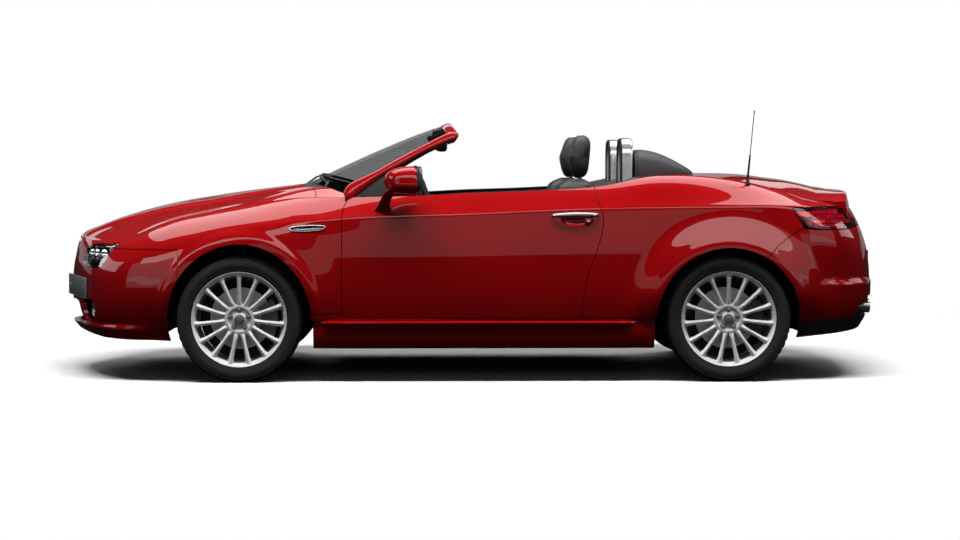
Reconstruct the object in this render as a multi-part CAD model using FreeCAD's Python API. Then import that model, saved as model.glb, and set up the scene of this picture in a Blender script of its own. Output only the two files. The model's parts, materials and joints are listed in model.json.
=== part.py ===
# Two-seat convertible car, left-hand drive, soft top folded away under its rigid cover.
# Frame: millimetres, +Z up, the nose points to -X, the car's left side is at -Y,
# origin on the ground at the middle of the car's length.
import FreeCAD
import Part
import math
import os

V = FreeCAD.Vector
os.makedirs("parts", exist_ok=True)

# ---------------------------------------------------------------- driving sizes
WHEELBASE = 2528.0
FRONT_AXLE_X = -1186.0
REAR_AXLE_X = FRONT_AXLE_X + WHEELBASE
TRACK_HALF = 780.0            # wheel centre plane to car centre plane
KINGPIN_Y = 755.0             # steering axis, vertical, 25 mm inside the wheel centre plane
TYRE_R = 326.0                # rolling radius of a 225/45 tyre
TYRE_W = 225.0
AXLE_Z = TYRE_R
RIM_R = 246.0                 # outer flange of an 18 inch rim
RIM_W = 212.0
ARCH_R = 374.0                # wheel opening in the wings
LINER_R = 380.0
GAP = 5.0                     # shut lines
DOOR_GAP = 7.0
SKIN = 22.0                   # wing and bumper skins with their inner frames
DOOR_FRONT_X = -655.0
DOOR_INNER_Y = 745.0
DOOR_HINGE = (-700.0, 863.0)
DOOR_BOTTOM_Z = 336.0
SILL_TOP_Z = 329.0
STEER_ANGLE = 33.0
SEAT_Y = 370.0
DISC_R = 165.0
SPOKES = 15
STEER_CENTRE = (-220.0, -370.0, 949.0)
STEER_TILT = 22.5             # lean of the steering wheel's plane from vertical
STEER_R = 187.0
HOOP_X = (812.0, 878.0)       # roll hoop, front and back faces
HOOP_TOP_Z = 1273.0

# ---------------------------------------------------------------- body side sections
# One row per station from the nose centre round the right side to the tail centre.
# x, y: plan curve of greatest girth. Then heights z and insets o of the section's points:
# b bottom edge, l lower line, g girth (inset 0), s shoulder line, t top edge (at: slope there, degrees), cr: sharpness of the shoulder line.
#   x      y    zb   ob   zl   ol   zg   zs   os   zt   ot   at   cr
SIDE = [
 (-2185,   0, 240, 62, 300, 14, 470, 620, 14, 735,  48, 50, 0.0),
 (-2162, 150, 238, 60, 300, 14, 470, 620, 14, 733,  50, 50, 0.0),
 (-2096, 380, 235, 58, 300, 14, 470, 615, 14, 722,  58, 45, 0.0),
 (-2016, 580, 228, 55, 300, 14, 475, 612, 16, 712,  70, 40, 0.0),
 (-1926, 722, 222, 52, 305, 16, 480, 612, 22, 712,  85, 35, 0.0),
 (-1800, 815, 217, 48, 310, 18, 490, 640, 30, 742, 120, 25, 0.0),
 (-1620, 869, 215, 44, 315, 18, 520, 700, 36, 815, 168, 18, 0.0),
 (-1400, 896, 205, 42, 320, 18, 570, 755, 38, 868, 185, 16, 0.0),
 (-1186, 907, 195, 42, 325, 18, 600, 790, 34, 905, 185, 16, 0.0),
 ( -930, 903, 188, 42, 328, 16, 620, 826, 24, 944, 165, 22, 0.4),
 ( -660, 899, 184, 42, 330, 14, 635, 848, 16, 953, 118, 38, 0.9),
 ( -300, 902, 184, 42, 330, 14, 640, 862, 16, 962,  98, 48, 1.0),
 (    0, 905, 184, 42, 330, 14, 640, 871, 16, 977,  96, 48, 1.0),
 (  350, 907, 184, 42, 330, 14, 640, 887, 16, 989,  96, 48, 1.0),
 (  690, 908, 184, 42, 330, 14, 640, 899, 16,1004, 100, 44, 1.0),
 (  960, 911, 184, 42, 330, 14, 640, 905, 18,1058, 150, 22, 0.9),
 ( 1342, 916, 190, 42, 335, 16, 620, 910, 26,1052, 195, 14, 0.8),
 ( 1600, 903, 215, 44, 340, 18, 580, 912, 34,1003, 200, 14, 0.7),
 ( 1800, 870, 232, 48, 340, 20, 540, 900, 45, 945, 180, 12, 0.3),
 ( 1950, 815, 245, 52, 340, 20, 510, 860, 58, 915, 150, 14, 0.0),
 ( 2060, 722, 255, 56, 340, 20, 500, 815, 66, 910, 128, 22, 0.0),
 ( 2128, 580, 262, 60, 340, 20, 495, 803, 70, 925, 130, 45, 0.0),
 ( 2168, 380, 268, 62, 340, 20, 495, 800, 73, 935, 136, 60, 0.0),
 ( 2188, 150, 270, 62, 340, 20, 495, 800, 74, 940, 140, 68, 0.0),
 ( 2194,   0, 272, 62, 340, 20, 495, 800, 74, 940, 140, 70, 0.0),
]
NCOL = 13
LAST = len(SIDE) - 1

# heights of the bonnet and rear deck on the centre line: x, z
BONNET_LINE = [(-2140, 735), (-2106, 760), (-2039, 786), (-1938, 825), (-1804, 868), (-1670, 903), (-1536, 931),
               (-1402, 953), (-1268, 974), (-1134, 991), (-1000, 1007), (-900, 1018), (-780, 1028)]
DECK_LINE = [(860, 1062), (1000, 1070), (1160, 1076), (1342, 1077), (1513, 1071), (1647, 1054), (1747, 1041),
             (1848, 1020), (1915, 1003), (1982, 992), (2060, 986)]


def _arc():
    s = [0.0]
    for i in range(LAST):
        s.append(s[-1] + math.hypot(SIDE[i + 1][0] - SIDE[i][0], SIDE[i + 1][1] - SIDE[i][1]))
    return s


ARC = _arc()


def _row(i):
    """Row i of the table, mirrored past both ends, with its arc position."""
    if i < 0:
        r = list(SIDE[-i]); r[1] = -r[1]
        return r, -ARC[-i]
    if i > LAST:
        k = 2 * LAST - i
        r = list(SIDE[k]); r[1] = -r[1]
        return r, 2 * ARC[LAST] - ARC[k]
    return list(SIDE[i]), ARC[i]


def side_row(t):
    """Smooth interpolation of the table at t, and the plan curve's unit outward normal."""
    i = min(max(int(math.floor(t)), 0), LAST - 1)
    u = t - i
    (p0, s0), (p1, s1), (p2, s2), (p3, s3) = _row(i - 1), _row(i), _row(i + 1), _row(i + 2)
    d0, d1, d2 = s1 - s0, s2 - s1, s3 - s2
    out, der = [], []
    for c in range(NCOL):
        m1 = ((p1[c] - p0[c]) / d0 * d1 + (p2[c] - p1[c]) / d1 * d0) / (d0 + d1)
        m2 = ((p2[c] - p1[c]) / d1 * d2 + (p3[c] - p2[c]) / d2 * d1) / (d1 + d2)
        a, b = m1 * d1, m2 * d1
        u2, u3 = u * u, u * u * u
        out.append(p1[c] * (2 * u3 - 3 * u2 + 1) + a * (u3 - 2 * u2 + u) + p2[c] * (3 * u2 - 2 * u3) + b * (u3 - u2))
        der.append(p1[c] * (6 * u2 - 6 * u) + a * (3 * u2 - 4 * u + 1) + p2[c] * (6 * u - 6 * u2) + b * (3 * u2 - 2 * u))
    n = math.hypot(der[0], der[1])
    return out, (-der[1] / n, der[0] / n)


def section(r, v):
    """(inset, z) at v of the section given by row r: v 0 bottom, 1 lower, 2 girth, 3 shoulder, 4 top."""
    P = [(r[3], r[2]), (r[5], r[4]), (0.0, r[6]), (r[8], r[7]), (r[10], r[9])]
    d = [math.hypot(P[k + 1][0] - P[k][0], P[k + 1][1] - P[k][1]) for k in range(4)]
    k = min(int(v), 3)
    u = v - k

    def chord(j):
        return ((P[j + 1][0] - P[j][0]) / d[j], (P[j + 1][1] - P[j][1]) / d[j])

    def tang(j, side_):
        if j == 0:
            return chord(0)
        if j == 4:
            a = math.radians(r[11])
            return (math.cos(a), math.sin(a))
        c0, c1 = chord(j - 1), chord(j)
        w = [(c0[q] * d[j] + c1[q] * d[j - 1]) / (d[j - 1] + d[j]) for q in (0, 1)]
        if j == 3:
            own = c0 if side_ == 0 else c1
            return tuple(w[q] * (1 - r[12]) + own[q] * r[12] for q in (0, 1))
        return tuple(w)

    t0, t1 = tang(k, 1), tang(k + 1, 0)
    u2, u3 = u * u, u * u * u
    h = (2 * u3 - 3 * u2 + 1, u3 - 2 * u2 + u, 3 * u2 - 2 * u3, u3 - u2)
    return tuple(P[k][q] * h[0] + t0[q] * d[k] * h[1] + P[k + 1][q] * h[2] + t1[q] * d[k] * h[3] for q in (0, 1))


def side_point(t, v, depth=0.0):
    """Point of the right body side, moved inwards by depth along the section's own normal."""
    sgn = 1.0
    if t < 0:
        t, sgn = -t, -1.0
    if t > LAST:
        t, sgn = 2 * LAST - t, -1.0
    r, n = side_row(t)
    o, z = section(r, v)
    if depth:
        e = 0.02
        a, b = section(r, max(v - e, 0)), section(r, min(v + e, 4))
        do, dz = b[0] - a[0], b[1] - a[1]
        q = math.hypot(do, dz)
        o, z = o + depth * dz / q, z - depth * do / q
    return (r[0] - n[0] * o, sgn * (r[1] - n[1] * o), z)


def t_at_x(x, v=2.0):
    lo, hi = 0.0, float(LAST)
    for _ in range(50):
        m = (lo + hi) / 2
        if side_point(m, v)[0] < x:
            lo = m
        else:
            hi = m
    return (lo + hi) / 2


def lerp_line(line, x):
    """Smooth height on a centre line table."""
    n = len(line)
    if x <= line[0][0]:
        return line[0][1]
    if x >= line[-1][0]:
        return line[-1][1]
    i = max(k for k in range(n - 1) if line[k][0] <= x)

    def slope(j):
        if j <= 0:
            return (line[1][1] - line[0][1]) / (line[1][0] - line[0][0])
        if j >= n - 1:
            return (line[-1][1] - line[-2][1]) / (line[-1][0] - line[-2][0])
        return (line[j + 1][1] - line[j - 1][1]) / (line[j + 1][0] - line[j - 1][0])

    h = line[i + 1][0] - line[i][0]
    u = (x - line[i][0]) / h
    u2, u3 = u * u, u * u * u
    return (line[i][1] * (2 * u3 - 3 * u2 + 1) + slope(i) * h * (u3 - 2 * u2 + u)
            + line[i + 1][1] * (3 * u2 - 2 * u3) + slope(i + 1) * h * (u3 - u2))


def top_edge(x):
    """(y, z) of the side's top edge at x."""
    p = side_point(t_at_x(x, 4.0), 4.0)
    return p[1], p[2]


def top_z(x, y, line, p=2.2):
    """Height of the bonnet or deck surface."""
    ye, ze = top_edge(x)
    zc = lerp_line(line, x)
    k = min(abs(y) / max(ye, 1.0), 1.0)
    return ze + (zc - ze) * (1 - k ** p)


# ---------------------------------------------------------------- solid helpers
def face(pts):
    w = Part.makePolygon([V(*p) for p in pts] + [V(*pts[0])])
    return Part.Face(w)


def flat(pts):
    """True when four points lie in one plane closely enough for a single facet."""
    a, b, c, d = [V(*p) for p in pts]
    n = (b - a).cross(c - a)
    if n.Length < 1e-3:
        return False
    n.normalize()
    return abs(n.dot(d - a)) < 1e-8


def dist(a, b):
    return math.dist(a, b)


def cap_faces(ring):
    """One facet for a level ring, a strip of triangles for one that is not quite level."""
    a = V(*ring[0])
    n = V(0, 0, 0)
    for k in range(1, len(ring) - 1):
        n = n + (V(*ring[k]) - a).cross(V(*ring[k + 1]) - a)
    n.normalize()
    if max(abs(n.dot(V(*p) - a)) for p in ring) < 1e-7:
        return [face(ring)]
    out, i, j = [], 0, len(ring) - 1
    while j - i > 1:
        if len(out) % 2:
            tri = [ring[i], ring[j - 1], ring[j]]
            j -= 1
        else:
            tri = [ring[i], ring[i + 1], ring[j]]
            i += 1
        out.append(face(tri))
    return out


def rings_solid(rings):
    """Closed solid of flat facets through rings of points (closed polygons of one count, the first and last are capped)."""
    faces = []
    n = len(rings[0])
    for a, b in zip(rings, rings[1:]):
        for k in range(n):
            q = [a[k], a[(k + 1) % n], b[(k + 1) % n], b[k]]
            if dist(q[0], q[1]) < 1e-6 and dist(q[2], q[3]) < 1e-6:
                continue
            if dist(q[0], q[1]) < 1e-6:
                faces.append(face([q[0], q[2], q[3]])); continue
            if dist(q[2], q[3]) < 1e-6:
                faces.append(face([q[0], q[1], q[2]])); continue
            if flat(q):
                faces.append(face(q))
            else:
                faces.append(face([q[0], q[1], q[2]]))
                faces.append(face([q[0], q[2], q[3]]))
    for cap in (rings[0], rings[-1]):
        faces.extend(cap_faces(cap))
    sh = Part.Shell(faces)
    sh.sewShape()
    s = Part.Solid(sh.Shells[0] if sh.ShapeType != "Shell" else sh)
    if s.Volume < 0:
        s.reverse()
    return s


def prism_y(pts, y0, y1):
    """Prism of an XZ outline between y0 and y1."""
    f = face([(p[0], y0, p[1]) for p in pts])
    return f.extrude(V(0, y1 - y0, 0))


def prism_z(pts, z0, z1):
    f = face([(p[0], p[1], z0) for p in pts])
    return f.extrude(V(0, 0, z1 - z0))


def prism_x(pts, x0, x1):
    f = face([(x0, p[0], p[1]) for p in pts])
    return f.extrude(V(x1 - x0, 0, 0))


def box(x0, x1, y0, y1, z0, z1):
    return Part.makeBox(x1 - x0, y1 - y0, z1 - z0, V(x0, y0, z0))


def cyl_y(x, z, r, y0, y1):
    return Part.makeCylinder(r, y1 - y0, V(x, y0, z), V(0, 1, 0))


def mirror(s):
    return s.mirror(V(0, 0, 0), V(0, 1, 0))


def circle_pts(cx, cz, r, a0, a1, n):
    return [(cx + r * math.cos(math.radians(a0 + (a1 - a0) * i / n)), cz + r * math.sin(math.radians(a0 + (a1 - a0) * i / n)))
            for i in range(n + 1)]


def fuse(shapes):
    s = shapes[0]
    if len(shapes) > 1:
        s = s.multiFuse(shapes[1:])
    return s.removeSplitter()


def solids_of(shape):
    return shape.Solids


OUT = {}


def put(name, *shapes):
    sol = []
    for s in shapes:
        sol.extend(s.Solids)
    for s in sol:
        if not s.isValid():
            print("INVALID", name)
        if s.Volume <= 0:
            print("NEGATIVE", name, s.Volume)
    shape = sol[0] if len(sol) == 1 else Part.makeCompound(sol)
    OUT[name] = shape
    shape.exportStep("parts/" + name + ".step")


def skin_ring(t, v0, v1, n, depth, cut0=0.0):
    """Closed ring of the side's skin between v0 and v1: outer points then inner points."""
    vs = [v0 + (v1 - v0) * k / n for k in range(n + 1)]
    outer = [side_point(t, v) for v in vs]
    inner = [side_point(t, v, depth) for v in vs]
    if v1 >= 4.0:
        inner[-1] = (outer[-1][0], outer[-1][1], outer[-1][2] - depth)
    return outer + inner[::-1]


def skin(t0, t1, nt, v0, v1, nv, depth=SKIN):
    return rings_solid([skin_ring(t0 + (t1 - t0) * i / nt, v0, v1, nv, depth) for i in range(nt + 1)])


def arch_cut(xc, r=ARCH_R, y0=500, y1=1000):
    pts = circle_pts(xc, AXLE_Z, r, 0, 352.5, 47)
    if xc < 0:      # the front opening is a little taller than round
        pts = [(x, z + 20 * max(0.0, (z - AXLE_Z) / r) ** 1.5) for x, z in pts]
    return prism_y(pts, y0, y1)


# ---------------------------------------------------------------- wings
def wing_front():
    s = skin(t_at_x(-1862), t_at_x(-640), 12, 0.9, 4.0, 8)
    region = [(-1838, 705), (-1560, 693), (-1500, 690), (-1500, 333), (DOOR_FRONT_X - GAP, 333), (DOOR_FRONT_X - GAP, 850),
              (-654, 905), (-630, 947), (-622, 1100), (-1870, 1100), (-1862, 740)]
    return s.common(prism_y(region, 500, 1000)).cut(arch_cut(FRONT_AXLE_X))


FL = wing_front()
put("front_wing_right", FL)
put("front_wing_left", mirror(FL))

DOOR_REAR = [(640, 996), (672, 914), (688, 847), (674, 747), (652, 691), (618, 592), (588, 470), (572, DOOR_BOTTOM_Z)]


def wing_rear():
    s = skin(t_at_x(560), t_at_x(1790), 12, 0.9, 4.0, 8)
    front = [(x + DOOR_GAP, z) for x, z in DOOR_REAR]
    region = [(front[0][0] - 6, 1200)] + front[:-1] + [(572 + DOOR_GAP, 333), (1100, 333), (1640, 333), (1640, 655), (1778, 772),
                                                      (1778, 1200)]
    # the lamp takes the upper rear corner
    region[-2:] = [(1705, 716), (1745, 783), (1690, 905), (1735, 920), (1790, 930), (1790, 1200)]
    return s.common(prism_y(region, 500, 1000)).cut(arch_cut(REAR_AXLE_X))


RQ = wing_rear()
put("rear_wing_right", RQ)
put("rear_wing_left", mirror(RQ))

# ---------------------------------------------------------------- sills, each with two jacking pads underneath
JACK_Z = 174.0
sill = prism_x([(700, 186), (862, 184), (885, 225), (898, 322), (880, SILL_TOP_Z), (700, SILL_TOP_Z)],
               FRONT_AXLE_X + 400, REAR_AXLE_X - 400)
for x in (-620, 780):
    sill = sill.fuse(box(x - 45, x + 45, 742, 818, JACK_Z, 200)).removeSplitter()
put("sills", sill, mirror(sill))

def plate(cx, cy, cz, yaw, w=520, h=110, th=8):
    s = box(-th / 2, th / 2, -w / 2, w / 2, -h / 2, h / 2)
    s.rotate(V(0, 0, 0), V(0, 0, 1), yaw)
    s.translate(V(cx, cy, cz))
    return s


# ---------------------------------------------------------------- bumpers
def bumper_front():
    t1 = t_at_x(-1500)
    n = 9
    ts = [-t1 + 2 * t1 * i / (2 * n) for i in range(2 * n + 1)]
    s = rings_solid([skin_ring(t, 0.0, 3.35, 8, 28) for t in ts])
    region = [(-2300, 150), (-1555, 150), (-1500, 690 - GAP), (-1838, 700 - GAP), (-1905, 585), (-2300, 585)]
    s = s.common(prism_y(region, -1000, 1000))
    for m in (1, -1):
        a = arch_cut(FRONT_AXLE_X)
        s = s.cut(a if m == 1 else mirror(a))
    # lower opening for the radiator
    s = s.cut(box(-2300, -2020, -480, 480, 300, 400))
    # flat for the number plate
    return s.cut(plate(-2110, -350, 470, 20, 530, 120, 16))


put("front_bumper", bumper_front())


def bumper_rear():
    t0 = t_at_x(1600)
    n = 8
    ts = [t0 + (2 * LAST - 2 * t0) * i / (2 * n) for i in range(2 * n + 1)]
    s = rings_solid([skin_ring(t, 1.0, 3.0, 6, 28) for t in ts])
    region = [(1645, 333), (1645, 650), (1700, 709), (1752, 778), (2050, 778), (2060, 716), (2300, 716), (2300, 340), (1900, 340)]
    s = s.common(prism_y(region, -1000, 1000))
    for m in (1, -1):
        a = arch_cut(REAR_AXLE_X)
        s = s.cut(a if m == 1 else mirror(a))
    for y in (-505, 505):
        s = s.cut(box(1950, 2300, y - 82, y + 82, 325, 408))
    return s


put("rear_bumper", bumper_rear())

t0 = t_at_x(1640)
ts = [t0 + (2 * LAST - 2 * t0) * i / 14 for i in range(15)]
val = rings_solid([skin_ring(t, 0.0, 0.93, 3, 30) for t in ts])
for m in (1, -1):
    a = arch_cut(REAR_AXLE_X)
    val = val.cut(a if m == 1 else mirror(a))
val = val.cut(box(1700, 1740, 600, 860, 200, 340)).cut(box(1700, 1740, -860, -600, 200, 340))
for y in (-505, 505):
    val = val.cut(box(1950, 2300, y - 82, y + 82, 320, 360))
val = max(val.Solids, key=lambda q: q.Volume)
put("rear_valance", val)

# ---------------------------------------------------------------- bonnet
def top_plate(x0, x1, nx, line, thick, inset, ny=8, p=2.2):
    rings = []
    for i in range(nx + 1):
        x = x0 + (x1 - x0) * i / nx
        ye = top_edge(x)[0] - inset
        ys = [-ye + 2 * ye * k / ny for k in range(ny + 1)]
        rings.append([(x, y, top_z(x, y, line, p)) for y in ys] + [(x, y, top_z(x, y, line, p) - thick) for y in reversed(ys)])
    return rings_solid(rings)


BONNET_REAR = [(-800, -760), (-800, -700), (-850, -560), (-910, -390), (-960, -200), (-985, 0), (-960, 200), (-910, 390),
               (-850, 560), (-800, 700), (-800, 760)]
b = top_plate(-2100, -795, 14, BONNET_LINE, 24, 13)
b = b.common(prism_z([(-2400, -760)] + BONNET_REAR + [(-2400, 760)], 500, 1200))
put("bonnet", b)

# ---------------------------------------------------------------- rear deck
TONNEAU_X = (905.0, 1332.0)
BOOT_X0 = 1338.0
tc = top_plate(TONNEAU_X[0], TONNEAU_X[1], 4, DECK_LINE, 24, 13)
put("soft_top_cover", tc)

fair = []
for side_ in (-1, 1):
    rings = []
    for x, w, h in ((888, 170, 1200), (930, 168, 1206), (985, 160, 1196), (1060, 148, 1165), (1130, 130, 1128), (1190, 105, 1092)):
        yc = side_ * SEAT_Y
        zb = [top_z(max(x, 906), yc + q * w, DECK_LINE) + 1.0 for q in (-1, 1)]
        ring = [(x, yc - w, zb[0]), (x, yc - w * 0.93, zb[0] + 0.45 * (h - zb[0])), (x, yc - w * 0.72, zb[0] + 0.82 * (h - zb[0])), (x, yc - w * 0.3, h),
                (x, yc + w * 0.3, h), (x, yc + w * 0.72, zb[1] + 0.82 * (h - zb[1])), (x, yc + w * 0.93, zb[1] + 0.45 * (h - zb[1])), (x, yc + w, zb[1])]
        rings.append(ring)
    fair.append(rings_solid(rings))
put("headrest_fairings", *fair)


def boot():
    top = top_plate(BOOT_X0, 2046, 6, DECK_LINE, 24, 13)
    t0 = 21.45
    ts = [t0 + (2 * LAST - 2 * t0) * i / 8 for i in range(9)]
    back = rings_solid([skin_ring(t, 2.60, 4.0, 5, 24) for t in ts])
    back = back.common(box(1900, 2300, -520, 520, 722, 1000))
    lip = []
    for y, z, d in ((-640, 935, 0), (-600, 948, 0), (-480, 972, 0), (-240, 984, 0), (0, 987, 0), (240, 984, 0), (480, 972, 0), (600, 948, 0), (640, 935, 0)):
        xr = 2112 - 95 * (abs(y) / 640.0) ** 2.4
        xf = xr - 150
        lip.append([(xf, y, z - 34), (xf, y, min(z, top_z(xf, y, DECK_LINE) + 1)), (xr - 30, y, z), (xr, y, z - 14), (xr - 26, y, z - 44)])
    lip = rings_solid(lip)
    return fuse([top, back, lip])


put("boot_lid", boot())

# ---------------------------------------------------------------- doors
def door():
    rings = []
    x0, x1, n = -655.0, 700.0, 8
    for i in range(n + 1):
        t = t_at_x(x0 + (x1 - x0) * i / n)
        pts = [side_point(t, v) for v in (0.98, 1.35, 1.7, 2.0, 2.5, 3.0, 3.5, 4.0)]
        x = pts[0][0]
        rings.append([(x, p[1], p[2]) for p in pts] + [(x, 757, pts[-1][2] + 2), (x, DOOR_INNER_Y, pts[-1][2] - 30), (x, DOOR_INNER_Y, pts[0][2])])
    s = rings_solid(rings)
    rear = [(x, z) for x, z in DOOR_REAR]
    s = s.cut(box(-700, -560, 700, 812, 936, 1000))
    front = [(DOOR_FRONT_X, DOOR_BOTTOM_Z), (DOOR_FRONT_X, 850), (-648, 905), (-622, 948), (-618, 1100)]
    skin = s.common(prism_y(front + [(640, 1100)] + rear, 868, 1000))
    # inboard of the skin the shell stops short, so that its rear edge clears the quarter while the door swings out
    inner = s.common(prism_y(front + [(626, 1100)] + [(x - 14, z) for x, z in rear], 600, 870))
    return fuse([skin, inner])


D = door()
put("door_right", D)
put("door_left", mirror(D))

# mirrors: shell on its foot
def door_mirror():
    rings = []
    for x, y0, y1, z0, z1 in ((-440, 880, 985, 1010, 1062), (-420, 868, 1020, 985, 1088), (-370, 862, 1048, 972, 1110), (-310, 862, 1060, 968, 1118),
                              (-272, 864, 1058, 972, 1112)):
        c = 0.28
        rings.append([(x, y0, z0 + c * (z1 - z0)), (x, y0 + c * (y1 - y0), z0), (x, y1 - c * (y1 - y0), z0), (x, y1, z0 + c * (z1 - z0)),
                      (x, y1, z1 - c * (z1 - z0)), (x, y1 - c * (y1 - y0), z1), (x, y0 + c * (y1 - y0), z1), (x, y0, z1 - c * (z1 - z0))])
    shell = rings_solid(rings)
    foot = rings_solid([[(-452, 835, 905), (-392, 835, 905), (-392, 872, 905), (-450, 872, 905)],
                        [(-440, 862, 950), (-385, 862, 950), (-385, 905, 950), (-438, 905, 950)],
                        [(-415, 880, 990), (-355, 880, 990), (-355, 930, 990), (-412, 930, 990)]])
    return fuse([shell, foot])


M = door_mirror()
M = M.cut(D)
put("mirror_right", M)
put("mirror_left", mirror(M))

# ---------------------------------------------------------------- windscreen
# glass sections from the foot to the header: x, half width, z on the centre line; bow: how far the edges lie behind, drop: how far below
GLASS = [(-866, 700, 1030, 235, 74), (-690, 672, 1113, 205, 62), (-500, 632, 1199, 165, 52), (-300, 585, 1282, 125, 44), (-150, 540, 1334, 62, 43)]


def glass_row(xc, w, zc, bow, drop, off, ny=8):
    return [(xc + bow * abs(k / (ny / 2)) ** 2.0, w * k / (ny / 2), zc - drop * abs(k / (ny / 2)) ** 2.0 + off) for k in
            [j - ny / 2 for j in range(ny + 1)]]


rings = [glass_row(*g, 0.0) + list(reversed(glass_row(*g, -6.0))) for g in GLASS]
glass = rings_solid(rings)


def pillar():
    # outline of the pillar's section along its run: x, z of the upper edge, x, z of the lower edge, outer y
    rows = [(-655, 975, -640, 946, 792), (-625, 1022, -600, 952, 768), (-466, 1102, -452, 1062, 712), (-360, 1163, -345, 1120, 674),
            (-239, 1226, -226, 1186, 632), (-150, 1273, -140, 1223, 600), (-108, 1291, -98, 1240, 584), (-54, 1293, -58, 1257, 566)]
    rings = []
    for xu, zu, xl, zl, y in rows:
        rings.append([(xu, y - 30, zu), (xu + 5, y - 6, zu - 14), ((xu + xl) / 2 + 2, y, (zu + zl) / 2 - 4), (xl, y - 14, zl + 4), (xl, y - 52, zl), (xu + 4, y - 62, zu - 16)])
    return rings_solid(rings)


P = pillar()
hdr = []
for k in range(-6, 7):
    u = k / 6.0
    y = 545 * u
    xh = -148 + 37 * abs(u) ** 2
    zh = 1337 - 46 * abs(u) ** 2
    hdr.append([(xh, y, zh - 5), (xh + 20, y, zh + 7), (xh + 54, y, zh + 17 - 18 * abs(u) ** 2), (xh + 58, y, zh - 12), (xh + 38, y, zh - 32), (xh + 4, y, zh - 20)])
hdr = rings_solid(hdr)
frame = fuse([P, mirror(P), hdr]).cut(box(-900, 0, -900, 900, 800, 946)).cut(OUT["front_wing_left"]).cut(OUT["front_wing_right"])
put("windscreen_frame", frame)
glass = glass.cut(frame).cut(OUT["firewall_and_cowl"]) if "firewall_and_cowl" in OUT else glass.cut(frame)
put("windscreen_glass", max(glass.Solids, key=lambda q: q.Volume))

# ---------------------------------------------------------------- tub
floor = fuse([box(-780, 940, -699, -145, 196, 222), box(-780, 940, 145, 699, 196, 222),
              box(-780, 940, -170, -145, 196, 430), box(-780, 940, 145, 170, 196, 430), box(-780, 940, -170, 170, 408, 430)])
put("floor_pan", floor)
cowl = prism_y([(-990, 872), (-781, 872), (-781, 890), (-742, 890), (-742, 930), (-840, 1002), (-990, 985)], -690, 690)
cowl = cowl.cut(prism_z([(-2400, -800), (-790, -800)] + [(x + 10, y) for x, y in BONNET_REAR] + [(-790, 800), (-2400, 800)], 895, 1200))
fire = fuse([box(-790, -781, -690, 690, 223, 900), box(-805, -781, -480, 480, 223, 872), cowl])
fire = fire.cut(box(-830, -760, -70, 70, 200, 360))
put("firewall_and_cowl", fire)
bulk = fuse([box(941, 952, -699, 699, 223, 905), box(941, 966, -600, 600, 400, 905), box(700, 966, -735, -560, 905, 985), box(700, 966, 560, 735, 905, 985),
             box(780, 966, -560, 560, 905, 985), box(700, 780, -560, 560, 955, 985)])
bulk = bulk.cut(box(900, 1000, -60, 60, 200, 360))
put("rear_bulkhead", bulk)
post = box(722, 940, 736, 866, 340, 984).cut(OUT["rear_wing_right"])
post = max(post.Solids, key=lambda q: q.Volume)
put("side_posts", post, mirror(post))
boot_tub = fuse([box(967, 1985, -590, 590, 412, 430), box(967, 1950, -590, -572, 430, 885), box(967, 1950, 572, 590, 430, 885),
                 box(1985, 2003, -590, 590, 412, 700), box(1950, 1985, -590, -572, 430, 700), box(1950, 1985, 572, 590, 430, 700)])
put("boot_tub", boot_tub)
rail = box(-1990, -807, 392, 452, 400, 500)
tower = box(-1300, -1070, 392, 452, 500, 800)
front = fuse([rail, mirror(rail), tower, mirror(tower), box(-2000, -1960, -452, 452, 300, 585)])
put("front_frame", front)
put("engine_block", box(-1830, -1230, -380, 380, 300, 780))

# wheel housings
def liner(xc, y0, y1):
    outer = circle_pts(xc, AXLE_Z, LINER_R + 10, -14, 194, 22)
    inner = circle_pts(xc, AXLE_Z, LINER_R, 194, -14, 22)
    band = prism_y(outer + inner, y0, y1)
    wall = prism_y(circle_pts(xc, AXLE_Z, LINER_R + 10, -14, 194, 22) + circle_pts(xc, AXLE_Z, 250, 194, -14, 22), y0 - 10, y0)
    return fuse([band, wall])


lf = liner(FRONT_AXLE_X, 500, 850).cut(box(FRONT_AXLE_X - 70, FRONT_AXLE_X + 70, 480, 640, 560, 900))
lr = liner(REAR_AXLE_X, 612, 850)
lf = lf.common(box(-1545, -792, 480, 900, 200, 900))
lr = lr.common(box(966, 1709, 480, 900, 240, 900))
put("wheel_housings", lf, mirror(lf), lr, mirror(lr))

# ---------------------------------------------------------------- cabin
dash = prism_y([(-740, 600), (-740, 888), (-640, 930), (-520, 935), (-420, 905), (-360, 820), (-380, 700), (-440, 620)], -725, 725)
column = Part.makeCylinder(32, 163, V(-410, -SEAT_Y, 870.3), V(math.cos(math.radians(STEER_TILT)), 0, math.sin(math.radians(STEER_TILT))))
put("dashboard", fuse([dash, column]))
console = prism_y([(-380, 431), (-380, 615), (-250, 560), (100, 520), (420, 560), (480, 540), (480, 431)], -120, 120)
put("centre_console", console)


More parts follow.
